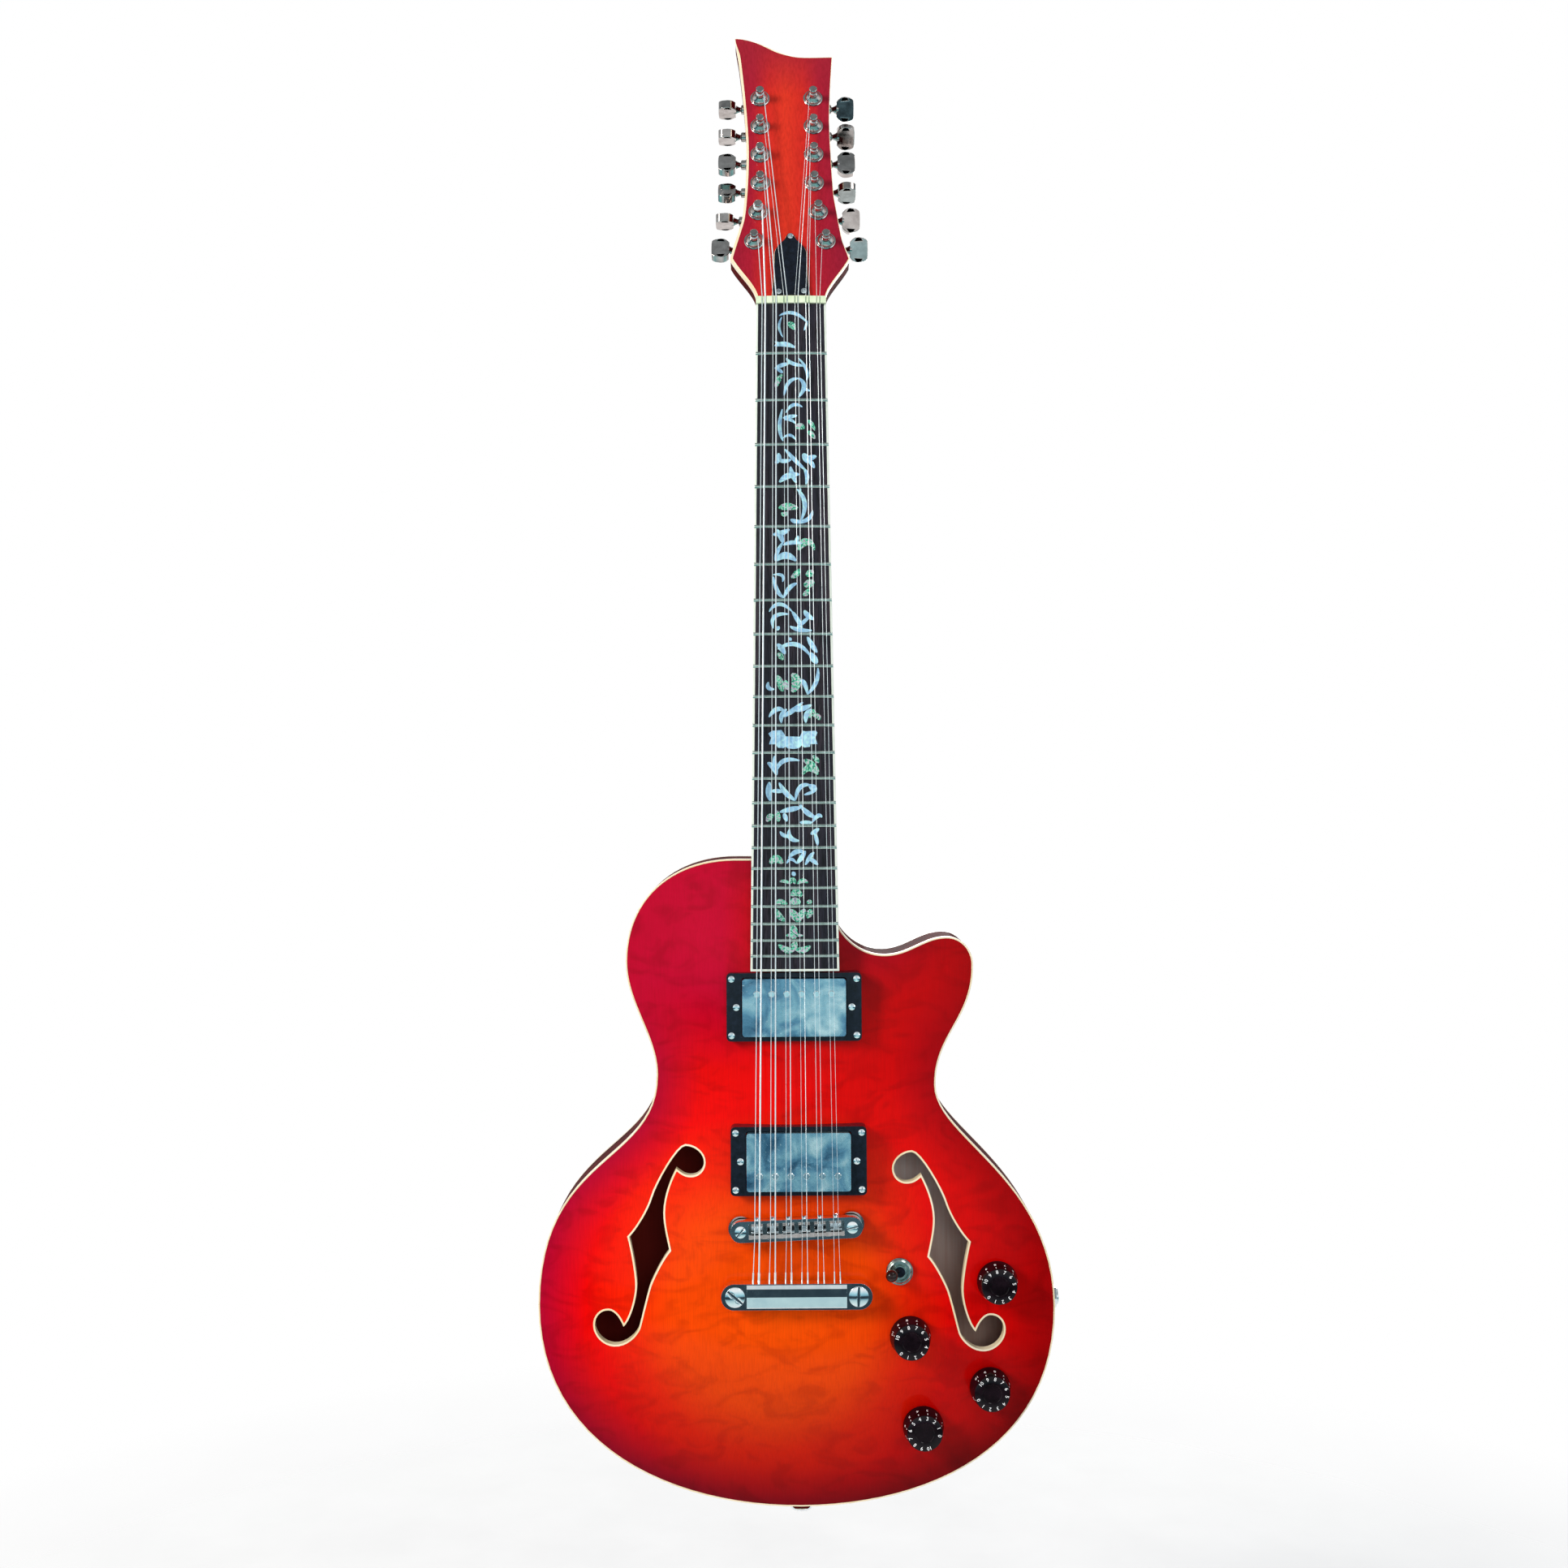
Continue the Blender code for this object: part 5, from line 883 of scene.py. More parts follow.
def rounded_loop(centre, size, corner, steps=6):
    """Rectangle with round corners, anticlockwise."""
    half_u, half_v = size[0] / 2 - corner, size[1] / 2 - corner
    loop = []
    for sign_u, sign_v, start in ((1, 1, 0), (-1, 1, 90), (-1, -1, 180), (1, -1, 270)):
        for step in range(steps + 1):
            angle = math.radians(start + 90 * step / steps)
            u = centre[0] + sign_u * half_u + corner * math.cos(angle)
            loop.append((u, centre[1] + sign_v * half_v + corner * math.sin(angle)))
    return loop


def circle_loop(radius, count):
    turns = np.linspace(0, 2 * math.pi, count, endpoint=False)
    return [(radius * math.cos(t), radius * math.sin(t)) for t in turns]


def pin(bm, frame, radius, low, high, steps, finish=0):
    """Adds a plain round pin between two heights."""
    lathe(bm, ((0, high), (radius, high), (radius, low), (0, low)), frame, steps, finish=finish)


def screw_head(bm, frame, radius, height, angle, finish=0):
    """Adds a round head with a cross recess cut into it."""
    arm, narrow = radius * 0.62, radius * 0.14
    cross = []
    for quarter in range(4):
        bearing = math.radians(angle + 90 * quarter)
        c, s = math.cos(bearing), math.sin(bearing)
        for along, aside in ((arm, -narrow), (arm, narrow), (narrow, narrow)):
            cross.append((along * c - aside * s, along * s + aside * c))
    dome = lambda p: height - (height * 0.45) * np.sum(p * p, axis=1) / radius**2
    slab(bm, [circle_loop(radius, 28), cross], height * 0.2, dome, frame, finish=finish)
    pin(bm, frame, radius, 0, height * 0.25, 28, finish)


def worm_shaft(side, u, v):
    """Frame of a key's shaft, with N out towards its button."""
    return turn(at(HEAD, u, v + KEY_OFFSET, -KEY_DEPTH), 90 * side, "Y")


bm = bmesh.new()
for _, side, u, v, _ in posts:
    middle = v + KEY_OFFSET / 2
    housing = rounded_loop((u + side * HOUSING_SHIFT, middle), HOUSING_SIZE, HOUSING_CORNER)
    slab(bm, [housing], -HEAD_THICKNESS - HOUSING_HEIGHT, -HEAD_THICKNESS + 0.0005, HEAD)
    lathe(bm, COLLAR_PROFILE, worm_shaft(side, u, v), 28, closed=True)
    for end in (-1, 1):
        aside, along = HOUSING_SCREW_PLACE
        back = at(HEAD, u - side * aside, middle + end * along, -HEAD_THICKNESS - HOUSING_HEIGHT)
        screw_head(bm, turn(back, 180, "X"), *HOUSING_SCREW_HEAD, 20 * end + 15)
piece("tuner_housings", bm, [worn_chrome], bevel=0.0009)

for label, side, u, v, key_turn in posts:
    shaft = turn(worm_shaft(side, u, v), key_turn)
    # A turn of 0 shows the button's broad face from the front.
    upright_button = turn(turn(at(shaft, 0, 0, STEM_TOP), 90, "Z"), 90, "X")
    half = BUTTON_THICKNESS / 2
    key = f"key_{label}"
    bm = bmesh.new()
    slab(bm, [knot_loop(BUTTON_KNOTS, 4)], -half, half, upright_button)
    lathe(bm, STEM_PROFILE, shaft, 20)
    piece(f"tuner_{key}", bm, [worn_chrome], key, [key], BUTTON_ROUNDING, segments=4, bevel_from=60)
    bm = bmesh.new()
    lathe(bm, POST_PROFILE, at(HEAD, u, v), 28)
    post = f"post_{label}"
    piece(f"tuner_{post}", bm, [worn_chrome], post, [post], bevel=0.0002)


# Truss-rod cover
# A black plate over a thin pale one, cut to a bell with a small tip and held by three chromed screws. The
# steel truss rod that it hides keeps its own shape.
COVER_PALE_TOP = 0.0012
COVER_TOP = 0.0023
COVER_STEP = 0.0004
COVER_SCREW_HEAD = (0.0021, 0.0009)
COVER_KNOTS = (
    ((-0.0136, 0.0018), (0.0040, 0), (0.0012, 0.0090)),
    ((-0.0116, 0.0360), (-0.0003, -0.0140), (0.0006, 0.0070)),
    ((-0.0036, 0.0492), (-0.0016, -0.0036), (0.0006, 0.0022)),
    ((0.0, 0.0530), (-0.0018, 0), (0.0018, 0)),
    ((0.0036, 0.0492), (-0.0006, 0.0022), (0.0016, -0.0036)),
    ((0.0116, 0.0360), (-0.0006, 0.0070), (0.0003, -0.0140)),
    ((0.0136, 0.0018), (-0.0012, 0.0090), (-0.0040, 0)),
)
# Moulded ABS: near-black with a blue cast, a smooth gloss and dull marks of about 4 mm from handling.
black_abs = clouded_finish(
    "black_abs_gloss",
    {"Specular IOR Level": 0.2, "Coat Weight": 0.15, "Coat Roughness": 0.05},
    ((0.35, "0C1018"), (0.7, "18202E")),
    scale=260.0,
    noise={"Detail": 4.0, "Roughness": 0.7},
    gloss=(0.14, 0.34),
)
COVER_SCREWS = ((0.0, 0.0500, 30), (-0.0086, 0.0046, 10), (0.0092, 0.0050, 55))
cover_loop = knot_loop(COVER_KNOTS, 10)
bm = bmesh.new()
slab(bm, [cover_loop], 0.0002, COVER_PALE_TOP, HEAD, finish=1)
slab(bm, [offset_loop(cover_loop, COVER_STEP)], COVER_PALE_TOP, COVER_TOP, HEAD)
for u, v, angle in COVER_SCREWS:
    screw_head(bm, at(HEAD, u, v, COVER_TOP), *COVER_SCREW_HEAD, angle, finish=2)
piece("truss_cover", bm, [black_abs, celluloid, chrome], stands_for=["truss_rod_cover"])

# Cold-drawn steel: a plain grey with fine lines along the rod, drawn 0.8 mm apart.
steel = clouded_finish(
    "drawn_steel_rod",
    {"Metallic": 1.0},
    ((0.3, "77787A"), (0.7, "A6A7AA")),
    scale=(1200.0, 1200.0, 40.0),
    noise={"Detail": 3.0},
    gloss=(0.25, 0.5),
)


def dress(node, finish):
    """Gives a node that keeps its own shape its finish."""
    for slot in frame["nodes"][node].material_slots:
        slot.material = finish


dress("truss_rod", steel)


# Nut
# A moulded nut in pale green-white plastic with twelve filed slots, glued between the fretboard and the
# headstock. It keeps its shape from the solids.
nut_plastic = clouded_finish(
    "pale_moulded_nut",
    {"Roughness": 0.36, "IOR": 1.49},
    ((0.3, "D2E8BE"), (0.7, "EAF6DA")),
    scale=180.0,
    noise={"Detail": 3.0},
)
dress("nut", nut_plastic)
softening = frame["nodes"]["nut"].modifiers.new("worn_edges", "BEVEL")
softening.width = 0.0003
softening.segments = 2


# Fretboard with frets, binding and inlay
# An oiled rosewood board with a round face, bound in cream, with twenty-two nickel-silver frets pressed in
# over the binding. Its inlay is a vine in white pearl with abalone leaves and flowers.
FRET_COUNT = 22
BOARD_RADIUS = 0.305
BOARD_BINDING = 0.0016
FRET_HALF_WIDTH = 0.0012
FRET_HEIGHT = 0.0011


def camber(u):
    """Drop of the fretboard's round face away from its middle."""
    return -u * u / (2 * BOARD_RADIUS)


def fret_distance(number):
    return STRING_SCALE * (1 - 2 ** (-number / 12))


# Rosewood: dark, with open pores and lighter brown-violet streaks, 5 mm wide, that run along the board. The
# pores are drawn 0.9 mm wide, which is coarser than they are, so that they show.
rosewood, tree, shader, pores = porous_wood(
    "oiled_rosewood",
    {"IOR": 1.48, "Specular IOR Level": 0.25},
    pores=((1100.0, 1100.0, 45.0), {"Detail": 5.0, "Roughness": 0.7}),
    flecks=((0.38, "4A4650"), (0.55, "FFFFFF")),
    stripes=((190.0, 190.0, 6.0), {"Detail": 3.0, "Distortion": 0.5}),
    tones=((0.25, "161824"), (0.5, "24232E"), (0.75, "382E36")),
)
sheen = add_node(tree, "MapRange", {"Value": pores, "To Min": 0.5, "To Max": 0.34})
pitted = add_node(tree, "Bump", {"Height": pores, "Strength": 0.25, "Distance": 0.0001})
feed(shader, {"Roughness": sheen, "Normal": pitted})

bm = bmesh.new()
rings = []
for distance in (0.0, BOARD_LENGTH - BOARD_BINDING):
    half = board_half_width(distance) - BOARD_BINDING
    face = [(u, -distance, camber(u)) for u in np.linspace(-half, half, 21)]
    rings.append(face + [(half, -distance, -BOARD_THICKNESS), (-half, -distance, -BOARD_THICKNESS)])
loft(bm, rings, NECK)
piece("rosewood_board", bm, [rosewood], stands_for=["fretboard"])

# The board's own edge strip is a whiter celluloid than the body's, with a cool cast, in clouds of 17 mm.
white_celluloid = clouded_finish(
    "white_celluloid_binding",
    {"Roughness": 0.3, "IOR": 1.5, "Coat Weight": 0.3, "Coat Roughness": 0.08},
    ((0.3, "DCE8DA"), (0.7, "EEF6EC")),
    scale=60.0,
    noise={"Detail": 4.0, "Roughness": 0.6},
)

bm = bmesh.new()
half_nut, half_end = board_half_width(0), board_half_width(BOARD_LENGTH)
inner_end = half_end - BOARD_BINDING
# The end strip needs points across it to follow the round face.
ACROSS_END = 21
strip_loop = [
    (-half_nut, 0),
    (-half_end, -BOARD_LENGTH),
    *((u, -BOARD_LENGTH) for u in np.linspace(-half_end, half_end, ACROSS_END)[1:-1]),
    (half_end, -BOARD_LENGTH), (half_nut, 0), (half_nut - BOARD_BINDING, 0),
    (inner_end, -BOARD_LENGTH + BOARD_BINDING),
    *((u, -BOARD_LENGTH + BOARD_BINDING) for u in np.linspace(inner_end, -inner_end, ACROSS_END)[1:-1]),
    (-inner_end, -BOARD_LENGTH + BOARD_BINDING),
    (-half_nut + BOARD_BINDING, 0),
]
slab(bm, [strip_loop], -BOARD_THICKNESS, lambda p: camber(p[:, 0]), NECK)
piece(
    "board_edge_strip", bm, [white_celluloid], stands_for=["fretboard_binding"], bevel=0.0003
)

# Nickel silver: a warm grey metal with a polished crown, worn in spots of about 2.5 mm.
nickel = clouded_finish(
    "polished_nickel_silver",
    {"Metallic": 1.0},
    ((0.3, "A8B6AE"), (0.7, "CBD6CE")),
    scale=400.0,
    noise={"Detail": 2.0},
    gloss=(0.14, 0.3),
)
FRET_STEPS = 6
FRET_END_SLOPE = 0.0008
bm = bmesh.new()
for number in range(1, FRET_COUNT + 1):
    distance = fret_distance(number)
    half = board_half_width(distance) - 0.0001
    rings = []
    for u in np.linspace(-half, half, 17):
        fullness = 0.25 + 0.75 * min((half - abs(u)) / FRET_END_SLOPE, 1)
        ring = []
        for step in range(FRET_STEPS + 1):
            angle = math.pi * step / FRET_STEPS
            crown = FRET_HEIGHT * math.sin(angle) * fullness - 0.0001
            ring.append((u, -distance - FRET_HALF_WIDTH * math.cos(angle), camber(u) + crown))
        rings.append(ring)
    loft(bm, rings, NECK)
piece("frets", bm, [nickel])


# Inlay strokes by fret space in millimetres from the space's middle: start, pull and end point, width.
VINE = {
    1: (
        (-5.8, -6.3, -10.6, 1.0, -6.5, 8.0, 1.6), (-8.3, 9.0, 2.0, 15.0, 11.0, 4.3, 2.2),
        (11.2, 5.5, 10.5, 1.0, 9.0, -1.5, 1.5), (-11.5, -12.5, -5.0, -9.5, 2.4, -13.8, 3.2),
        (-11.3, -9.5, -8.0, -11.5, -6.0, -12.5, 2.0),
    ),
    2: (
        (-3.4, 13.0, -1.5, 8.0, 10.0, 7.5, 2.4), (4.8, 13.0, 13.0, 5.0, 10.5, -3.0, 2.0),
        (-11.5, 5.6, -7.0, 8.5, -1.5, 9.0, 2.6), (-10.5, 6.5, -8.0, 4.0, -6.0, 2.5, 2.2),
        (-5.2, -13.6, -3.5, -1.0, 5.0, -1.6, 2.4), (5.0, -1.2, 12.5, -6.0, 4.8, -15.0, 2.8),
        (13.0, -10.5, 9.0, -8.6, 7.5, -9.5, 1.8),
    ),
    3: (
        (7.5, 10.5, 0.5, 15.5, -4.0, 6.5, 2.2), (-6.5, 9.0, -10.5, -5.0, -6.0, -13.5, 2.4),
        (-6.0, 2.8, -2.0, 3.5, 3.8, 4.5, 2.6), (-5.0, 1.5, 0.0, 2.5, 3.0, -1.5, 1.8),
        (-6.0, -11.5, -1.0, -6.5, 3.0, -13.0, 1.8),
    ),
    4: (
        (-4.8, 11.3, 1.0, 4.0, 9.5, -3.5, 2.6), (8.0, -2.0, 12.0, -7.0, 9.5, -13.5, 2.6),
        (-11.5, 1.3, -8.0, 4.5, -9.5, 8.5, 3.4), (-10.5, 4.0, -5.0, 1.8, -0.5, 4.0, 2.6),
        (7.5, 8.0, 10.5, 5.0, 11.0, 1.5, 4.4), (17.0, 6.5, 13.0, 5.0, 10.0, 4.5, 3.4),
        (15.5, -2.0, 14.0, 1.5, 11.0, 4.5, 2.8), (-8.7, -12.0, -4.0, -6.0, 5.0, -6.5, 3.8),
        (-1.0, -1.0, -0.5, -6.5, 3.0, -12.5, 3.0),
    ),
    5: (
        (3.4, 12.0, 12.5, 3.5, 6.0, -10.0, 2.8), (14.0, -3.0, 13.5, -11.5, 1.0, -11.5, 2.6),
        (-1.0, -9.0, 1.0, -11.5, 6.5, -10.5, 2.8), (6.0, 12.5, 4.0, 8.0, 9.0, 6.0, 2.0),
    ),
    6: (
        (-13.3, 7.5, -7.5, 7.5, -2.0, 11.0, 3.4), (-10.5, 11.0, -7.5, 5.5, -6.5, 1.5, 3.2),
        (-6.5, 2.0, -11.0, -4.0, -12.0, -11.0, 2.4), (-6.5, 0.0, -1.0, 3.0, 6.8, 1.0, 2.6),
        (4.0, 6.5, 3.2, 3.5, 2.0, 1.5, 2.4), (-11.0, -11.0, -5.5, -3.5, 2.5, -11.0, 4.4),
    ),
    7: (
        (-13.3, 3.8, -11.5, -8.5, -6.0, -11.0, 2.6), (-13.5, 5.0, -4.5, 6.5, -7.0, 0.0, 2.0),
        (-6.0, -11.0, -3.5, -3.0, 3.0, -1.0, 2.8),
    ),
    8: (
        (-16.3, 3.6, -10.0, 14.0, -0.5, 3.6, 2.4), (-0.5, 3.6, 3.0, -1.0, 6.5, -8.5, 2.8),
        (-13.5, -8.0, -17.0, 3.5, -2.5, 1.8, 2.6), (-11.5, -7.0, -10.5, -8.0, -9.5, -9.0, 3.2),
        (14.5, -2.0, 9.0, 1.0, 8.0, 4.5, 3.2), (2.5, -8.0, 7.0, -4.0, 12.0, 0.5, 2.4),
        (-2.0, -6.5, 2.5, -10.0, 13.0, -9.5, 2.6),
    ),
    9: (
        (9.8, 9.0, 13.0, 3.0, 16.5, -2.0, 3.2), (11.5, -2.0, 14.5, -6.5, 16.5, -9.5, 4.2),
        (-10.5, 0.5, 3.0, 9.5, 12.0, -4.5, 2.8), (-11.0, 4.0, -7.5, 1.5, -5.5, -3.0, 3.4),
        (-3.0, 8.2, -2.0, 7.5, -1.0, 6.5, 2.0),
    ),
    10: (
        (17.0, 9.0, 18.0, -1.5, 9.5, -9.3, 2.6), (4.5, 0.0, 8.0, 1.5, 9.7, -9.0, 2.8),
        (-13.0, -5.5, -19.0, -6.0, -17.0, -0.5, 2.6),
    ),
    11: (
        (-16.8, -4.3, -11.5, 4.0, -6.5, 0.0, 3.0), (-8.2, -8.4, -9.5, -2.0, -4.5, 1.0, 2.8),
        (-7.5, -4.0, -2.0, -1.8, 6.5, 5.8, 3.0), (-1.0, 1.0, 5.0, 0.0, 12.5, 4.0, 3.4),
        (8.5, -8.3, 7.5, -1.8, 12.5, 1.0, 3.2),
    ),
    13: (
        (-18.0, 1.8, -12.5, -0.5, -11.8, -6.8, 3.6), (-13.0, 6.6, -13.5, 0.0, -11.8, -3.5, 2.8),
        (-11.8, -4.0, -9.5, 6.5, 4.0, 3.2, 2.8),
    ),
    14: (
        (-16.5, 5.8, -18.0, -1.0, -16.0, -7.0, 3.8), (-15.5, -0.5, -11.5, 0.0, -7.5, -1.0, 2.6),
        (-10.0, 5.3, -6.0, -3.0, 1.0, -6.8, 3.2), (1.0, -6.8, 2.5, 6.0, 11.5, 3.4, 2.8),
        (10.5, 3.8, 13.5, 1.0, 15.8, 0.5, 4.2), (7.0, -3.0, 11.5, -2.0, 15.5, 0.3, 2.0),
    ),
    15: (
        (-9.7, 1.5, -2.0, 3.5, 5.0, 4.5, 3.2), (5.0, 5.0, 9.0, 0.0, 14.5, -2.3, 3.2),
        (19.0, -2.3, 17.0, 1.5, 12.5, -5.5, 2.6), (4.0, -5.6, 8.0, -6.0, 12.5, -5.6, 2.6),
        (-5.0, -5.0, -6.0, -1.5, -7.0, 0.6, 2.8), (4.0, 6.3, 4.5, 5.5, 5.5, 4.5, 2.0),
    ),
    16: (
        (-9.5, 3.6, -8.0, 0.0, -2.5, 0.0, 2.4), (-3.2, 5.0, -5.0, -2.8, 3.6, -2.8, 3.0),
        (11.3, 1.6, 14.0, 3.0, 17.0, 5.6, 2.8), (14.0, 2.5, 15.5, -2.0, 16.0, -6.0, 2.4),
    ),
    17: (
        (-3.8, 0.0, 1.5, 6.5, 6.5, 3.8, 3.0), (-5.2, -3.8, -2.5, 2.0, 1.5, -3.8, 2.0),
        (1.5, -3.8, 5.5, 0.0, 7.5, 4.8, 3.0), (7.5, -4.8, 10.5, 1.0, 13.5, 3.8, 2.6),
        (9.0, 0.0, 13.5, -2.0, 16.0, -4.8, 2.6),
    ),
    18: ((-1.5, 4.0, -0.5, 3.0, 0.5, 1.5, 2.6),),
}
FLOWERS = {
    1: ((-2.5, 2.5, 0.0, 4.0, 2.5, -1.0, 4.0),),
    2: ((-11.0, -8.0, -9.5, -2.0, -6.5, 1.5, 3.2),),
    3: (
        (2.8, -4.5, 6.0, -1.5, 8.5, -5.0, 4.2), (11.0, 1.0, 14.0, 0.0, 16.0, -6.0, 2.6),
        (11.0, -7.0, 14.0, -7.5, 16.0, -12.0, 3.0),
    ),
    5: (
        (-9.2, -1.5, -4.0, 1.0, 4.0, -1.5, 4.5), (-7.5, -4.5, -5.5, -7.0, -3.0, -4.0, 3.0),
    ),
    6: (
        (4.0, -3.5, 8.5, 5.5, 12.5, 0.0, 5.0), (11.5, 4.5, 14.5, 0.0, 15.0, -3.5, 2.4),
    ),
    7: (
        (-1.0, 3.0, 3.0, 4.8, 5.0, 9.0, 3.6), (9.0, 5.5, 12.0, 5.0, 14.0, 8.0, 4.5),
        (8.0, -3.0, 11.0, -1.0, 15.0, 0.0, 5.0), (7.0, -8.5, 9.5, -9.0, 11.0, -5.0, 3.4),
    ),
    9: ((-10.8, -4.0, -9.0, -2.5, -7.0, -7.0, 3.6),),
    10: (
        (-11.0, 4.0, -8.5, -1.5, -7.5, -7.0, 4.4), (-5.5, 0.5, -4.5, -2.0, -4.0, -6.0, 3.0),
        (-1.0, 5.0, 5.5, 0.0, -1.0, -7.5, 6.0),
    ),
    11: (
        (11.0, -5.0, 13.5, 3.0, 14.5, -4.5, 3.4), (15.5, -2.0, 17.5, -4.5, 18.0, -6.5, 3.0),
    ),
    13: (
        (6.0, -6.3, 10.0, 2.5, 16.5, -6.3, 4.2), (6.5, 3.3, 11.5, 2.5, 17.0, -4.5, 4.0),
        (13.0, 6.5, 16.0, 4.0, 17.0, 1.5, 3.0),
    ),
    15: (
        (-18.5, -5.0, -16.5, -0.5, -14.0, -1.5, 4.0), (-12.0, 2.5, -11.0, -1.5, -10.5, -5.0, 3.4),
    ),
    17: ((-16.5, -3.8, -12.5, 2.5, -8.0, -3.8, 5.0),),
    18: (
        (-10.0, -2.5, -6.5, -1.2, -3.0, -4.0, 2.0), (-3.5, -4.0, -1.0, 1.0, 0.5, -4.0, 3.4),
        (2.0, -4.0, 6.0, 0.0, 9.0, -3.5, 2.8),
    ),
    19: (
        (-2.0, 0.5, 1.0, 5.5, 5.0, 0.5, 4.6), (-3.0, -4.5, 0.0, -1.5, 4.0, -4.0, 4.6),
        (-13.0, -4.6, -10.5, -1.5, -5.0, -4.6, 3.2), (8.5, -4.3, 10.5, -2.5, 11.0, -4.6, 3.0),
    ),
    20: (
        (-3.0, 3.8, 0.0, -1.0, 4.0, -4.4, 5.0), (7.0, 4.0, 5.0, 0.0, 1.0, -4.0, 4.2),
        (-12.5, 4.0, -11.5, -1.0, -6.5, -3.8, 3.8), (10.5, 4.0, 11.0, 1.5, 8.5, -2.0, 3.8),
    ),
    21: (
        (-1.5, 4.8, 0.0, 0.0, -1.0, -4.8, 5.0), (-6.0, -2.4, -1.0, -1.5, 5.5, -2.4, 2.4),
    ),
    22: (
        (-11.0, 2.5, -5.0, -3.5, 0.0, -0.5, 3.8), (0.0, -0.5, 6.0, -3.0, 10.5, 1.5, 3.8),
        (-1.0, 4.2, 0.0, 3.0, 0.0, -1.0, 4.2),
    ),
}
BANNER = (
    (-17.3, 3.6), (-14.9, 5.5), (-8.2, 6.0), (-5.3, 1.6), (4.3, 1.4), (6.3, 5.5), (8.2, 5.0), (15.4, 5.5),
    (16.3, 4.0), (14.9, 0.7), (16.3, -3.7), (11.5, -3.7), (11.1, -5.6), (0.0, -7.0), (-10.6, -6.1),
    (-12.5, -3.7), (-16.8, -3.7), (-15.4, 0.7),
)
BANNER_SPACE = 12
INLAY_PROUD = 0.00004
INLAY_DEPTH = 0.0004


def space_middle(space):
    """Place along the board of the middle of a fret space, which is named by the fret at its end."""
    return -(fret_distance(space - 1) + fret_distance(space)) / 2


def ribbon(bm, stroke, middle, finish):
    """Adds a leaf-shaped inlay along a quadratic curve, level with the board's round face."""
    start, pull, end = (np.array(stroke[i : i + 2]) / 1000 for i in (0, 2, 4))
    rings = []
    for t in np.linspace(0, 1, 13):
        place = start * (1 - t) ** 2 + pull * 2 * t * (1 - t) + end * t * t
        heading = (pull - start) * (1 - t) + (end - pull) * t
        heading = heading / np.linalg.norm(heading)
        half = stroke[6] / 2000 * (0.28 + 0.84 * math.sin(math.pi * t) ** 0.7)
        side = np.array([-heading[1], heading[0]]) * half
        ring = []
        for edge, lift in ((1, INLAY_PROUD), (-1, INLAY_PROUD), (-1, -INLAY_DEPTH), (1, -INLAY_DEPTH)):
            u, v = place + side * edge
            ring.append((u, middle + v, camber(u) + lift))
        rings.append(ring)
    loft(bm, rings, NECK, finish)


# Mother-of-pearl: pale blue-white nacre whose bands, about 5 mm wide, shift between cool tones.
pearl = clouded_finish(
    "mother_of_pearl",
    {"IOR": 1.53, "Coat Weight": 0.4, "Coat Roughness": 0.12},
    ((0.3, "80B6DC"), (0.5, "9ED0EA"), (0.68, "B8F0F4")),
    scale=190.0,
    noise={"Detail": 2.0, "Distortion": 1.6},
    gloss=(0.22, 0.42),
)

# Abalone: green to pink layers in tight swirls of about 4 mm with dark seams.
abalone = clouded_finish(
    "abalone_shell",
    {"IOR": 1.53, "Roughness": 0.24, "Coat Weight": 0.5, "Coat Roughness": 0.1},
    ((0.30, "143F3A"), (0.42, "1F9A7A"), (0.5, "6CDCB2"), (0.58, "CDB0CC"), (0.7, "2C747E")),
    scale=260.0,
    noise={"Detail": 3.0, "Distortion": 2.6},
)

bm = bmesh.new()
for finish, strokes_by_space in ((0, VINE), (1, FLOWERS)):
    for space, strokes in strokes_by_space.items():
        for stroke in strokes:
            ribbon(bm, stroke, space_middle(space), finish)
banner_loop = [(u / 1000, v / 1000 + space_middle(BANNER_SPACE)) for u, v in BANNER]
slab(bm, [banner_loop], -INLAY_DEPTH, lambda p: camber(p[:, 0]) + INLAY_PROUD, NECK)
piece("vine_inlay", bm, [pearl, abalone])


# Strings
# Twelve strings in six pairs. The plain ones are bright steel; the four lowest pairs' thick strings are
# steel wound with nickel-plated wire. Each winds round its post and hooks into the tailpiece.
STRING_DIAMETERS = (
    (0.00061, 0.00117), (0.00046, 0.00091), (0.00033, 0.00066), (0.00023, 0.00046), (0.00033, 0.00033),
    (0.00025, 0.00025),
)
THINNEST_WOUND = 0.00045
COURSE_PITCH = {"nut": 0.00763, "bridge": 0.01053, "tail": 0.01090}
PAIR_GAP = {"nut": 0.0022, "bridge": 0.0032, "tail": 0.0040}
STRING_LIFT = 0.0016
NUT_LENGTH = 0.0050
SADDLE_CREST = 0.0297
SADDLE_GAP = 0.0003
BREAK_SETBACK = 0.0017
BRIDGE_SLANT = 2.1
TAIL_V = -0.0442
TAIL_WIDTH = 0.0172
TAIL_STRING_N = 0.0228
WAIST_RADIUS = 0.0023
WRAP_TURNS = 2.6
WRAP_STEPS = 20
MIDDLE_COURSE = 2.5
NUT_DIP = 0.0002
CREST_HALF = 0.0006
CREST_FALL = 0.0001
HOOK_REACH = 0.002
HOOK_FALL = 0.0004
TWIST_SHARE = 0.22
TWIST_THICKENING = 0.0003
BRIDGE = turn(BODY, BRIDGE_SLANT)


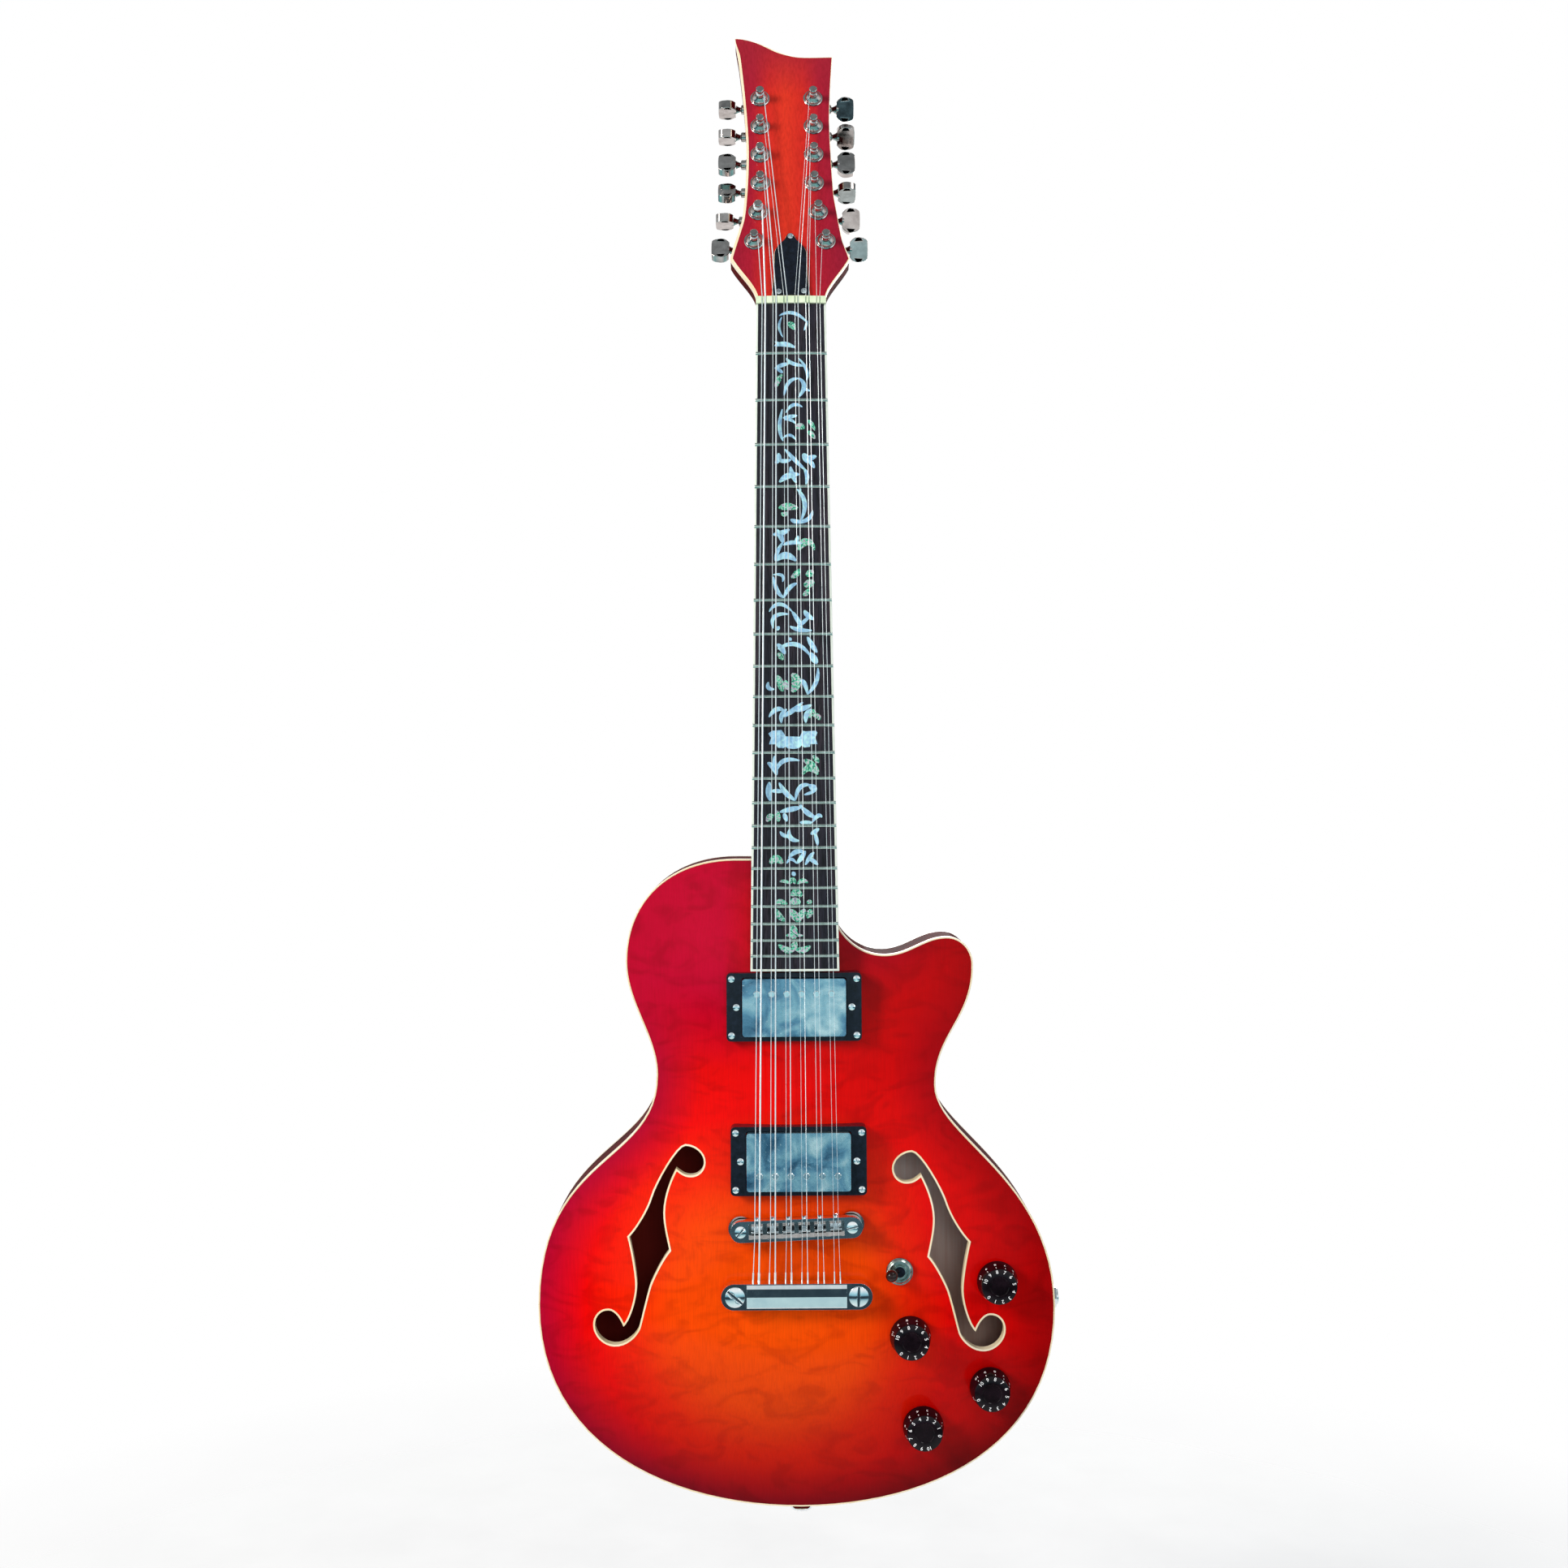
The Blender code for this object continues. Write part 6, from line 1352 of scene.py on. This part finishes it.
def tube(bm, points, radius, sides=8, finish=0):
    """Adds a round wire through the points."""
    path = [Vector(p) for p in points]
    heading = (path[1] - path[0]).normalized()
    normal = heading.orthogonal().normalized()
    rings = []
    for i, place in enumerate(path):
        ahead_of = (path[min(i + 1, len(path) - 1)] - path[max(i - 1, 0)]).normalized()
        normal = (normal - ahead_of * normal.dot(ahead_of)).normalized()
        other = ahead_of.cross(normal)
        turns = [2 * math.pi * k / sides for k in range(sides)]
        rings.append([place + (normal * math.cos(t) + other * math.sin(t)) * radius for t in turns])
    loft(bm, rings, Matrix(), finish)


# Plain strings: hard drawn steel with a high polish, in tones that change over about 11 mm.
plain_wire = clouded_finish(
    "plain_steel_string",
    {"Metallic": 0.35},
    ((0.3, "D6EAF0"), (0.7, "F6FDFF")),
    scale=90.0,
    noise={"Detail": 2.0},
    gloss=(0.22, 0.38),
)

# Wound strings: turns of wire a quarter of a millimetre apart.
WINDING_PITCH = 0.00026
wound_wire, tree, shader = new_finish("nickel_wound_string", {"Metallic": 0.35, "Roughness": 0.34})
turns = {"Vector": add_node(tree, "TexCoord").outputs["Object"], "Scale": 2 * math.pi / (20 * WINDING_PITCH)}
winding = add_node(tree, "TexWave", turns, bands_direction="Z").outputs["Fac"]
# Painted shade: the grooves between the turns are coloured darker, where the bump sinks them.
tone = add_node(tree, "ValToRGB", {"Fac": winding}, ((0.1, "C4D8E0"), (0.6, "F2FAFC")))
grooves = add_node(tree, "Bump", {"Height": winding, "Strength": 0.4, "Distance": 0.00008})
feed(shader, {"Base Color": tone, "Normal": grooves})

plain_bm = bmesh.new()
wound_bm = bmesh.new()
lanes = posts[:POSTS_PER_SIDE] + posts[: POSTS_PER_SIDE - 1 : -1]
for lane, (_, side, post_u, post_v, _) in enumerate(lanes):
    course, member = divmod(lane, 2)
    radius = STRING_DIAMETERS[course][member] / 2
    across = {}
    for place, pitch in COURSE_PITCH.items():
        across[place] = (course - MIDDLE_COURSE) * pitch + (member - 0.5) * PAIR_GAP[place]
    nut_n = STRING_LIFT + camber(across["nut"]) + radius
    crest = SADDLE_CREST + camber(across["bridge"]) + SADDLE_GAP + radius
    wire = []
    coil = WAIST_RADIUS + radius
    steps = int(WRAP_TURNS * WRAP_STEPS)
    for step in range(steps, -1, -1):
        angle = (0 if side < 0 else math.pi) - side * 2 * math.pi * WRAP_TURNS * step / steps
        height = WRAP_HEIGHT - radius * 1.2 + 2 * radius * WRAP_TURNS * step / steps
        wire.append(HEAD @ Vector((post_u + coil * math.cos(angle), post_v + coil * math.sin(angle), height)))
    wire += [
        NECK @ Vector((across["nut"], NUT_LENGTH, nut_n - NUT_DIP)),
        NECK @ Vector((across["nut"], 0, nut_n)),
        BRIDGE @ Vector((across["bridge"], -BREAK_SETBACK + CREST_HALF, crest)),
        BRIDGE @ Vector((across["bridge"], -BREAK_SETBACK - CREST_HALF, crest - CREST_FALL)),
        BODY @ Vector((across["tail"], TAIL_V + TAIL_WIDTH / 2, TAIL_STRING_N)),
        BODY @ Vector((across["tail"], TAIL_V + HOOK_REACH, TAIL_STRING_N - HOOK_FALL)),
    ]
    wound = radius * 2 > THINNEST_WOUND
    tube(wound_bm if wound else plain_bm, wire, radius)
    # The twist that holds the ball end makes the last millimetres thicker.
    tube(plain_bm, (wire[-2].lerp(wire[-3], TWIST_SHARE), wire[-2], wire[-1]), radius + TWIST_THICKENING)
piece("plain_strings", plain_bm, [plain_wire])
piece("wound_strings", wound_bm, [wound_wire])


# Pickups in their rings
# Humbuckers under drawn nickel-silver covers, still with the maker's thin bluish film on them, scuffed and
# lifting. Each sits in a moulded black ring that follows the arch and is held by four small screws.
RINGS = (
    ("neck", (-0.0007, 0.14641), 0.0143, 0.0092, 0.0101),
    ("bridge", (0.0018, 0.0441), 0.0193, -0.0092, 0.0105),
)
RING_SIZE = (0.0915, 0.0460)
PICKUP_SIZE = (0.0700, 0.0387)
PICKUP_RISE = 0.0040
PICKUP_DEPTH = 0.0260
EAR_SIZE = (0.0840, 0.0100)
EAR_THICKNESS = 0.0020
WINDOW_GAP = 0.0006
RING_CLEARANCE = 0.0003
POLE_RADIUS = 0.0023
CORNER_SCREWS = ((-0.0424, 0.0190, 35), (0.0424, 0.0190, 10), (-0.0424, -0.0190, 60), (0.0424, -0.0190, 80))
HEIGHT_SCREWS = ((-0.0391, 0, 50), (0.0391, 0, 25))
CORNER_SCREW_HEAD = (0.0022, 0.0011)
HEIGHT_SCREW_HEAD = (0.0023, 0.0012)
SCREW_SINK = 0.0001
POLE_SINK = 0.0002
POLE_PROFILE = (
    (0, 0.0008), (POLE_RADIUS * 0.8, 0.0008), (POLE_RADIUS, 0.0003), (POLE_RADIUS, -0.001), (0, -0.001),
)
# Film on nickel: patches of teal and slate blue about 18 mm across, pale scuffs of 2 mm, and soft creases
# that catch the light where it lifts.
FILM_TONES = ((0.3, "33617F"), (0.45, "679CB8"), (0.55, "92C2D2"), (0.72, "D6F0F4"))
film, tree, shader = new_finish(
    "nickel_cover_with_film", {"Metallic": 0.75, "Coat Weight": 0.8, "Coat Roughness": 0.12}
)
patch = grain(tree, 55.0, {"Detail": 3.0, "Roughness": 0.5, "Distortion": 0.8})
tone = add_node(tree, "ValToRGB", {"Fac": patch}, FILM_TONES)
scuffs = grain(tree, 420.0, {"Detail": 5.0, "Roughness": 0.75, "Distortion": 1.5})
scuff_share = add_node(tree, "MapRange", {"Value": scuffs, "From Min": 0.62, "From Max": 0.70})
scuffed = add_node(tree, "MixRGB", {"Fac": scuff_share, "Color1": tone, "Color2": linear("DDF2F6")})
dull = add_node(tree, "MapRange", {"Value": scuffs, "From Min": 0.4, "To Min": 0.24, "To Max": 0.6})
creases = add_node(tree, "Bump", {"Height": patch, "Strength": 0.9, "Distance": 0.0014})
feed(shader, {"Base Color": scuffed, "Roughness": dull, "Coat Normal": creases})

for label, centre, rise, pole_row, pole_pitch in RINGS:
    node = f"pickup_ring_{label}"
    bm = bmesh.new()
    window = (PICKUP_SIZE[0] + 2 * WINDOW_GAP, PICKUP_SIZE[1] + 2 * WINDOW_GAP)
    loops = [rounded_loop(centre, RING_SIZE, 0.0030), rounded_loop(centre, window, 0.0020)]
    slab(bm, loops, lambda p: arch_at(p) + RING_CLEARANCE, rise, BODY)
    piece(f"{node}_moulding", bm, [black_abs], stands_for=[node], bevel=0.0008)
    seat = at(BODY, *centre, rise - SCREW_SINK)
    bm = bmesh.new()
    for u, v, angle in CORNER_SCREWS:
        screw_head(bm, at(seat, u, v), *CORNER_SCREW_HEAD, angle)
    for u, v, angle in HEIGHT_SCREWS:
        screw_head(bm, at(seat, u, v), *HEIGHT_SCREW_HEAD, angle)
    piece(f"{node}_screws", bm, [chrome])

    crown = rise + PICKUP_RISE
    foot = crown - PICKUP_DEPTH
    bm = bmesh.new()
    slab(bm, [rounded_loop(centre, PICKUP_SIZE, 0.0020)], foot, crown, BODY)
    slab(bm, [rounded_loop(centre, EAR_SIZE, 0.0010)], foot, foot + EAR_THICKNESS, BODY)
    for index in range(6):
        u = centre[0] + (index - MIDDLE_COURSE) * pole_pitch
        pole = at(BODY, u, centre[1] + pole_row, crown - POLE_SINK)
        lathe(bm, POLE_PROFILE, pole, 24, finish=1)
    piece(f"pickup_{label}_cover", bm, [film, chrome], stands_for=[f"pickup_{label}"], bevel=0.0011)


# Bridge with six saddles
# A chromed zinc bar on two slotted posts with knurled thumbwheels. Six saddles stand in its channel, each
# on a screw that sets its string length.
BRIDGE_TOP = 0.0257
BRIDGE_FLOOR = 0.0182
BRIDGE_SIZE = (0.0885, 0.0140)
CHANNEL_SIZE = (0.0640, 0.0102)
CHANNEL_FLOOR = 0.0202
BRIDGE_POST_U = 0.0374
SADDLE_PITCH = 0.01053
SADDLE_WIDTH = 0.0078
SADDLE_LENGTH = 0.0058
SADDLE_BASE = 0.0205
# A loop's corner stays this much below half of its width where its ends are fully round.
FULL_ROUND_GAP = 0.00001
BRIDGE_POST_RADIUS = 0.0026
POST_FOOT = 0.012
WHEEL_RADIUS = 0.0085
WHEEL_LOW = 0.0137
WHEEL_HIGH = 0.0167
THREAD_PITCH = 0.0007
THREAD_TURNS = 14
THREAD_ROOT = 0.0007
THREAD_CREST = 0.0010
THREAD_START = -0.0004
THREAD_END = -0.0104
SCREW_DROP = 0.0035
CHEEK_SHARE = 0.30
WAIST_SHARE = 0.86
DOME_SHARE = 0.13
# Each slotted head: its radius and height, and its slot's width and depth.
BRIDGE_POST_HEAD = (0.0038, 0.0011, 0.0009, 0.0008)
SADDLE_SCREW_HEAD = (0.0016, 0.0018, 0.0005, 0.0006)


def slotted_head(bm, frame, radius, height, width, depth, angle):
    """Adds a low domed head with a straight slot across it."""
    turned = turn(frame, angle)
    limit = math.asin(width / 2 / radius)
    steps = np.linspace(-radius, radius, 13)
    grid = np.stack(np.meshgrid(steps, steps, indexing="ij"), axis=-1).reshape(-1, 2)
    dome = lambda p: height - radius * DOME_SHARE * np.sum(p * p, axis=1) / radius**2
    for half in (0, math.pi):
        arc = [half + t for t in np.linspace(limit, math.pi - limit, 20)]
        loop = [(radius * math.cos(t), radius * math.sin(t)) for t in arc]
        slab(bm, [loop], height - depth, dome, turned, grid)
    pin(bm, turned, radius, 0, height - depth, 32)


def knurled(bm, frame, radius, low, high, teeth=40, finish=0):
    """Adds a disc with a knurled edge."""
    loop = []
    for i in range(teeth * 2):
        angle = math.pi * i / teeth
        reach = radius - (0.0004 if i % 2 else 0.0)
        loop.append((reach * math.cos(angle), reach * math.sin(angle)))
    slab(bm, [loop], low, high, frame, finish=finish)


bm = bmesh.new()
bar = rounded_loop((0, 0), BRIDGE_SIZE, BRIDGE_SIZE[1] / 2 - FULL_ROUND_GAP, 14)
channel = rounded_loop((0, 0), CHANNEL_SIZE, 0.0008)
slab(bm, [bar, channel], CHANNEL_FLOOR, BRIDGE_TOP, BRIDGE)
slab(bm, [bar], BRIDGE_FLOOR, CHANNEL_FLOOR, BRIDGE, finish=1)
piece("bridge_bar", bm, [chrome, worn_chrome], stands_for=["bridge"], bevel=0.0013)
bm = bmesh.new()
for side, angle in ((-1, 48), (1, 12)):
    post = at(BRIDGE, side * BRIDGE_POST_U)
    foot = seat_at(side * BRIDGE_POST_U, 0) - POST_FOOT
    pin(bm, post, BRIDGE_POST_RADIUS, foot, BRIDGE_TOP - 0.002, 24)
    knurled(bm, post, WHEEL_RADIUS, WHEEL_LOW, WHEEL_HIGH, finish=1)
    slotted_head(bm, at(post, 0, 0, BRIDGE_TOP), *BRIDGE_POST_HEAD, angle)
thread = [(0, 0.0002)]
for turn_index in range(THREAD_TURNS):
    low = THREAD_START - turn_index * THREAD_PITCH
    thread += [(THREAD_ROOT, low), (THREAD_CREST, low - THREAD_PITCH / 2)]
thread.append((0, THREAD_END))
for index in range(6):
    u = (index - MIDDLE_COURSE) * SADDLE_PITCH
    screw = turn(at(BRIDGE, u, BRIDGE_SIZE[1] / 2, BRIDGE_TOP - SCREW_DROP), -90, "X")
    slotted_head(bm, screw, *SADDLE_SCREW_HEAD, 30 * index)
    lathe(bm, thread, screw, 12)
piece("bridge_posts_and_screws", bm, [chrome, worn_chrome])

# A profile drawn in this frame runs along the strings, and its slab lies across them.
side_on = Matrix(((0, 0, 1), (1, 0, 0), (0, 1, 0))).to_4x4()
for index in range(6):
    u = (index - MIDDLE_COURSE) * SADDLE_PITCH
    height = SADDLE_CREST + camber(abs(u) + SADDLE_WIDTH / 2) - SADDLE_BASE
    half = SADDLE_LENGTH / 2
    profile = [
        (-half * 0.95, 0), (half * 0.95, 0), (half, height * 0.42), (half * 0.55, height * 0.62),
        (0.0005, height), (-0.0005, height), (-half * 0.75, height * 0.55), (-half, height * 0.42),
    ]
    bm = bmesh.new()
    # Two cheeks stand beside a lower waist, where the screw runs through.
    frame_here = at(BRIDGE, u, 0, SADDLE_BASE) @ side_on
    edge = SADDLE_WIDTH / 2
    cheek = SADDLE_WIDTH * CHEEK_SHARE
    waist = [(x, min(y, height * WAIST_SHARE)) for x, y in profile]
    slab(bm, [profile], -edge, -edge + cheek, frame_here)
    slab(bm, [profile], edge - cheek, edge, frame_here)
    slab(bm, [waist], -edge + cheek, edge - cheek, frame_here)
    node = f"saddle_{index + 1}"
    piece(f"{node}_block", bm, [chrome], node, [node], bevel=0.0003)


# Tailpiece
# A stop bar cast in zinc and chromed: a crowned middle between two flat round lugs, on large slotted studs.
TAIL_LENGTH = 0.1010
TAIL_FLOOR = 0.0170
TAIL_TOP = 0.0270
TAIL_MIDDLE = 0.0334
LUG_TOP = 0.0258
STUD_U = 0.04125
STUD_RADIUS = 0.005
STUD_HEAD = (0.0066, 0.0016, 0.0013, 0.0011)
bm = bmesh.new()
lugs = rounded_loop((0, TAIL_V), (TAIL_LENGTH, TAIL_WIDTH), TAIL_WIDTH / 2 - FULL_ROUND_GAP, 16)
slab(bm, [lugs], TAIL_FLOOR, LUG_TOP, BODY)
crown_profile = [
    (-0.0086, TAIL_FLOOR), (0.0086, TAIL_FLOOR), (0.0090, 0.0205), (0.0087, 0.0240), (0.0080, 0.0262),
    (0.0056, TAIL_TOP), (0.0002, TAIL_TOP), (-0.0068, 0.02632), (-0.0083, 0.0250), (-0.0089, 0.0226),
    (-0.0090, 0.0200),
]
slab(bm, [crown_profile], -TAIL_MIDDLE, TAIL_MIDDLE, at(BODY, 0, TAIL_V) @ side_on)
piece("stop_bar", bm, [chrome], stands_for=["tailpiece_with_strings"], bevel=0.0011, sharp=3)
bm = bmesh.new()
for side, angle in ((-1, -40), (1, 88)):
    stud = at(BODY, side * STUD_U, TAIL_V)
    foot = seat_at(side * STUD_U, TAIL_V) - POST_FOOT
    pin(bm, stud, STUD_RADIUS, foot, TAIL_FLOOR + 0.001, 32)
    slotted_head(bm, at(stud, 0, 0, LUG_TOP), *STUD_HEAD, angle)
piece("stop_bar_studs", bm, [chrome], bevel=0.0002)


# Control knobs
# Four turned-looking knobs moulded in smoky, nearly black acrylic. Their numbers, 0 to 10, are printed in
# white on the skirt and again round the top.
KNOBS = (
    ("bridge_volume", (0.1362, -0.0405), 223),
    ("neck_volume", (0.0764, -0.0748), 225),
    ("bridge_tone", (0.1308, -0.1120), 202),
    ("neck_tone", (0.0852, -0.1370), -9),
)
KNOB_RADIUS = 0.0138
KNOB_TOP_RADIUS = 0.0120
KNOB_HEIGHT = 0.0128
SHAFT_RADIUS = 0.0030
NUMBER_STEP = 29.6
NUMBER_SIZE = 0.0034
NUMBER_BOLDNESS = 0.00002
TOP_NUMBER_RADIUS = 0.0099
KNOB_GAP = 0.0008
SHAFT_END = -0.0120
NUMBER_LIFT = 0.00005
SKIRT_NUMBER_SHARE = 0.46
SKIRT_NUMBER_GAP = 0.0001
TICK_GAP = 0.00025
TICK_DROP = 0.0022
TICK_LOOP = rounded_loop((0, 0), (0.0004, 0.0018), 0.00015, 2)
# Moulded acrylic: smoky and nearly black, in clouds of about 7 mm, with a soft gloss.
acrylic = clouded_finish(
    "smoky_acrylic",
    {"Specular IOR Level": 0.15, "Coat Weight": 0.12, "Coat Roughness": 0.04},
    ((0.35, "0A0306"), (0.7, "1A0C14")),
    scale=150.0,
    noise={"Detail": 3.0},
    gloss=(0.12, 0.26),
)
# Pad-printed ink: a dense matt white with faint specks, drawn 1 mm across so that they show.
white_print = clouded_finish(
    "white_printing_ink",
    {"Roughness": 0.5},
    ((0.3, "F0F4F5"), (0.6, "FFFFFF")),
    scale=900.0,
    noise={"Detail": 2.0},
)


def print_number(bm, number, frame):
    """Adds a flat number, centred on the frame's origin with its top towards V."""
    writing = bpy.data.curves.new("number", "FONT")
    writing.body = str(number)
    writing.size = NUMBER_SIZE
    writing.offset = NUMBER_BOLDNESS
    writing.align_x = "CENTER"
    writing.align_y = "CENTER"
    writing.resolution_u = 3
    holder = bpy.data.objects.new("number", writing)
    drawn = holder.to_mesh()
    corners = [bm.verts.new(frame @ v.co) for v in drawn.vertices]
    for polygon in drawn.polygons:
        bm.faces.new([corners[i] for i in polygon.vertices])
    holder.to_mesh_clear()
    bpy.data.objects.remove(holder)
    bpy.data.curves.remove(writing)


for label, place, zero in KNOBS:
    turns = np.linspace(0, 2 * math.pi, 24)
    around = [(place[0] + KNOB_RADIUS * math.cos(t), place[1] + KNOB_RADIUS * math.sin(t)) for t in turns]
    stand = at(BODY, *place, float(arch_at(around + [place]).max()) + KNOB_GAP)
    bm = bmesh.new()
    profile = (
        (0, KNOB_HEIGHT - 0.0004), (0.0060, KNOB_HEIGHT - 0.0004), (0.0064, KNOB_HEIGHT),
        (KNOB_TOP_RADIUS - 0.0006, KNOB_HEIGHT), (KNOB_TOP_RADIUS - 0.0002, KNOB_HEIGHT - 0.0002),
        (KNOB_TOP_RADIUS, KNOB_HEIGHT - 0.0006), (KNOB_RADIUS - 0.0002, 0.0014), (KNOB_RADIUS, 0.0008),
        (KNOB_RADIUS, 0), (SHAFT_RADIUS, 0), (SHAFT_RADIUS, SHAFT_END), (0, SHAFT_END),
    )
    lathe(bm, profile, stand, 72)
    piece(f"knob_cap_{label}", bm, [acrylic], f"knob_{label}", [f"knob_{label}"])
    bm = bmesh.new()
    slope_angle = math.degrees(math.atan2(KNOB_RADIUS - KNOB_TOP_RADIUS, KNOB_HEIGHT - 0.0020))
    middle_radius = (KNOB_RADIUS + KNOB_TOP_RADIUS) / 2
    for number in range(11):
        spoke = turn(stand, zero + NUMBER_STEP * number)
        print_number(bm, number, turn(at(spoke, TOP_NUMBER_RADIUS, 0, KNOB_HEIGHT + NUMBER_LIFT), -90))
        wall = at(spoke, middle_radius + SKIRT_NUMBER_GAP, 0, KNOB_HEIGHT * SKIRT_NUMBER_SHARE)
        tick = at(spoke, KNOB_TOP_RADIUS + TICK_GAP, 0, KNOB_HEIGHT - TICK_DROP)
        wall, tick = [turn(turn(place, 90, "Z"), 90 - slope_angle, "X") for place in (wall, tick)]
        print_number(bm, number, wall)
        slab(bm, [TICK_LOOP], -0.0001, NUMBER_LIFT, tick)
    piece(f"knob_numbers_{label}", bm, [white_print], f"knob_{label}")


# Pickup toggle switch
# A round knurled nut holds the switch in the top. Its lever leans in a dark throat and ends in a
# drop-shaped tip of dark brown plastic.
SWITCH_PLACE = (0.0695, -0.0314)
SWITCH_RADIUS = 0.0092
LEVER_TILT = -22
SWITCH_GAP = 0.0006
SWITCH_NUT_HEIGHT = 0.0012
THROAT_RADIUS = 0.0036
THROAT_ENDS = (-0.004, 0.0016)
SWITCH_BOX = (0.016, 0.015)
SWITCH_BOX_ENDS = (-0.030, -0.0072)
LEVER_PIVOT = -0.0035
stand = at(BODY, *SWITCH_PLACE, seat_at(*SWITCH_PLACE) + SWITCH_GAP)
bm = bmesh.new()
knurled(bm, stand, SWITCH_RADIUS, 0.0, SWITCH_NUT_HEIGHT, 48)
rings_profile = (
    (0.0034, 0.0004), (0.0036, 0.0030), (0.0044, 0.0030), (0.0048, 0.0015), (0.0055, 0.0015),
    (0.0059, 0.0026), (0.0070, 0.0026), (0.0080, 0.0018), (0.0086, 0.0008), (0.0086, 0.0004),
)
lathe(bm, rings_profile, stand, 56, closed=True)
pin(bm, stand, THROAT_RADIUS, *THROAT_ENDS, 32, finish=1)
slab(bm, [rounded_loop((0, 0), SWITCH_BOX, 0.001)], *SWITCH_BOX_ENDS, stand, finish=1)
piece("switch_body", bm, [nickel, black_abs], stands_for=["toggle_switch"])
bm = bmesh.new()
TIP_PROFILE = (
    (0, 0.0203), (0.0016, 0.0201), (0.0030, 0.0190), (0.0038, 0.0174), (0.0040, 0.0156),
    (0.0036, 0.0134), (0.0028, 0.0112), (0.0023, 0.0098), (0.0020, 0.0092), (0.0018, 0.0016),
    (0.0020, 0.0006), (0.0021, -0.0006), (0, -0.0022),
)
lathe(bm, TIP_PROFILE, turn(at(stand, 0, 0, LEVER_PIVOT), LEVER_TILT, "Y"), 32)
# Moulded plastic: dark brown with a red cast, in swirls of about 4 mm, under a clear gloss.
brown_tip = clouded_finish(
    "dark_brown_plastic",
    {"Specular IOR Level": 0.2, "Coat Weight": 0.3, "Coat Roughness": 0.04},
    ((0.35, "170806"), (0.7, "2E1210")),
    scale=240.0,
    noise={"Detail": 2.0},
    gloss=(0.14, 0.28),
)
piece("switch_lever", bm, [brown_tip], "toggle_lever", ["toggle_lever"])


# Output jack and strap buttons
# The socket in the treble side of the rim is held by a washer and a hexagon nut. Two turned strap buttons
# are screwed on, one to the bottom end and one to the back by the heel.
JACK_PLACE = (0.1763, -0.0590, -0.0225)
JACK_PROFILE = (
    (0.0034, 0.0049), (0.0038, 0.0052), (0.0052, 0.0052), (0.0056, 0.0048), (0.0056, 0.0015),
    (0.0104, 0.0015), (0.0110, 0.0011), (0.0110, 0.0003), (0.0056, 0.0003), (0.0056, -0.0260),
    (0.0034, -0.0260),
)
JACK_NUT_RADIUS = 0.0078
JACK_NUT_BORE = 0.0054
JACK_NUT_ENDS = (0.0014, 0.0038)
JACK_FLOOR_RADIUS = 0.0035
JACK_FLOOR_ENDS = (-0.0250, -0.0240)
jack = turn(at(BODY, *JACK_PLACE), 90, "Y")
bm = bmesh.new()
lathe(bm, JACK_PROFILE, jack, 48, closed=True)
slab(bm, [circle_loop(JACK_NUT_RADIUS, 6), circle_loop(JACK_NUT_BORE, 32)], *JACK_NUT_ENDS, jack)
pin(bm, jack, JACK_FLOOR_RADIUS, *JACK_FLOOR_ENDS, 32, finish=1)
piece("jack_socket", bm, [chrome, black_abs], stands_for=["output_jack"], bevel=0.0003)
BUTTON_PROFILE = (
    (0.0022, 0.0088), (0.0030, 0.0095), (0.0062, 0.0095), (0.0070, 0.0090), (0.0072, 0.0082),
    (0.0068, 0.0072), (0.0050, 0.0060), (0.0042, 0.0048), (0.0044, 0.0034), (0.0056, 0.0020),
    (0.0061, 0.0010), (0.0061, 0.0000), (0.0022, 0.0000),
)
STRAP_GAP = 0.0003
STRAP_SCREW_SEAT = 0.0072
STRAP_SCREW_HEAD = (0.0024, 0.0014)
HEEL_BUTTON = (-0.0040, 0.2180)
bottom = min(body_loop, key=lambda point: point[1])
end_foot = turn(at(BODY, bottom[0], bottom[1] - STRAP_GAP, -BODY_DEPTH / 2), 90, "X")
heel_foot = turn(at(BODY, *HEEL_BUTTON, -BODY_DEPTH - STRAP_GAP), 180, "X")
for label, foot in (("end", end_foot), ("heel", heel_foot)):
    bm = bmesh.new()
    lathe(bm, BUTTON_PROFILE, foot, 48, closed=True)
    screw_head(bm, at(foot, 0, 0, STRAP_SCREW_SEAT), *STRAP_SCREW_HEAD, 25)
    piece(f"strap_peg_{label}", bm, [chrome], stands_for=[f"strap_button_{label}"])


# Centre block
# A block of maple runs through the body under the bridge and the tailpiece. It is bare wood, seen only
# through the f-holes, and keeps its shape from the solids.
# Bare maple: pale brown and dry, with rays 4 mm wide along the block.
bare_maple = clouded_finish(
    "bare_maple_block",
    {"Roughness": 0.7},
    ((0.3, "A9835A"), (0.7, "D2B084")),
    scale=(260.0, 260.0, 14.0),
    noise={"Detail": 4.0},
)
dress("centre_block", bare_maple)
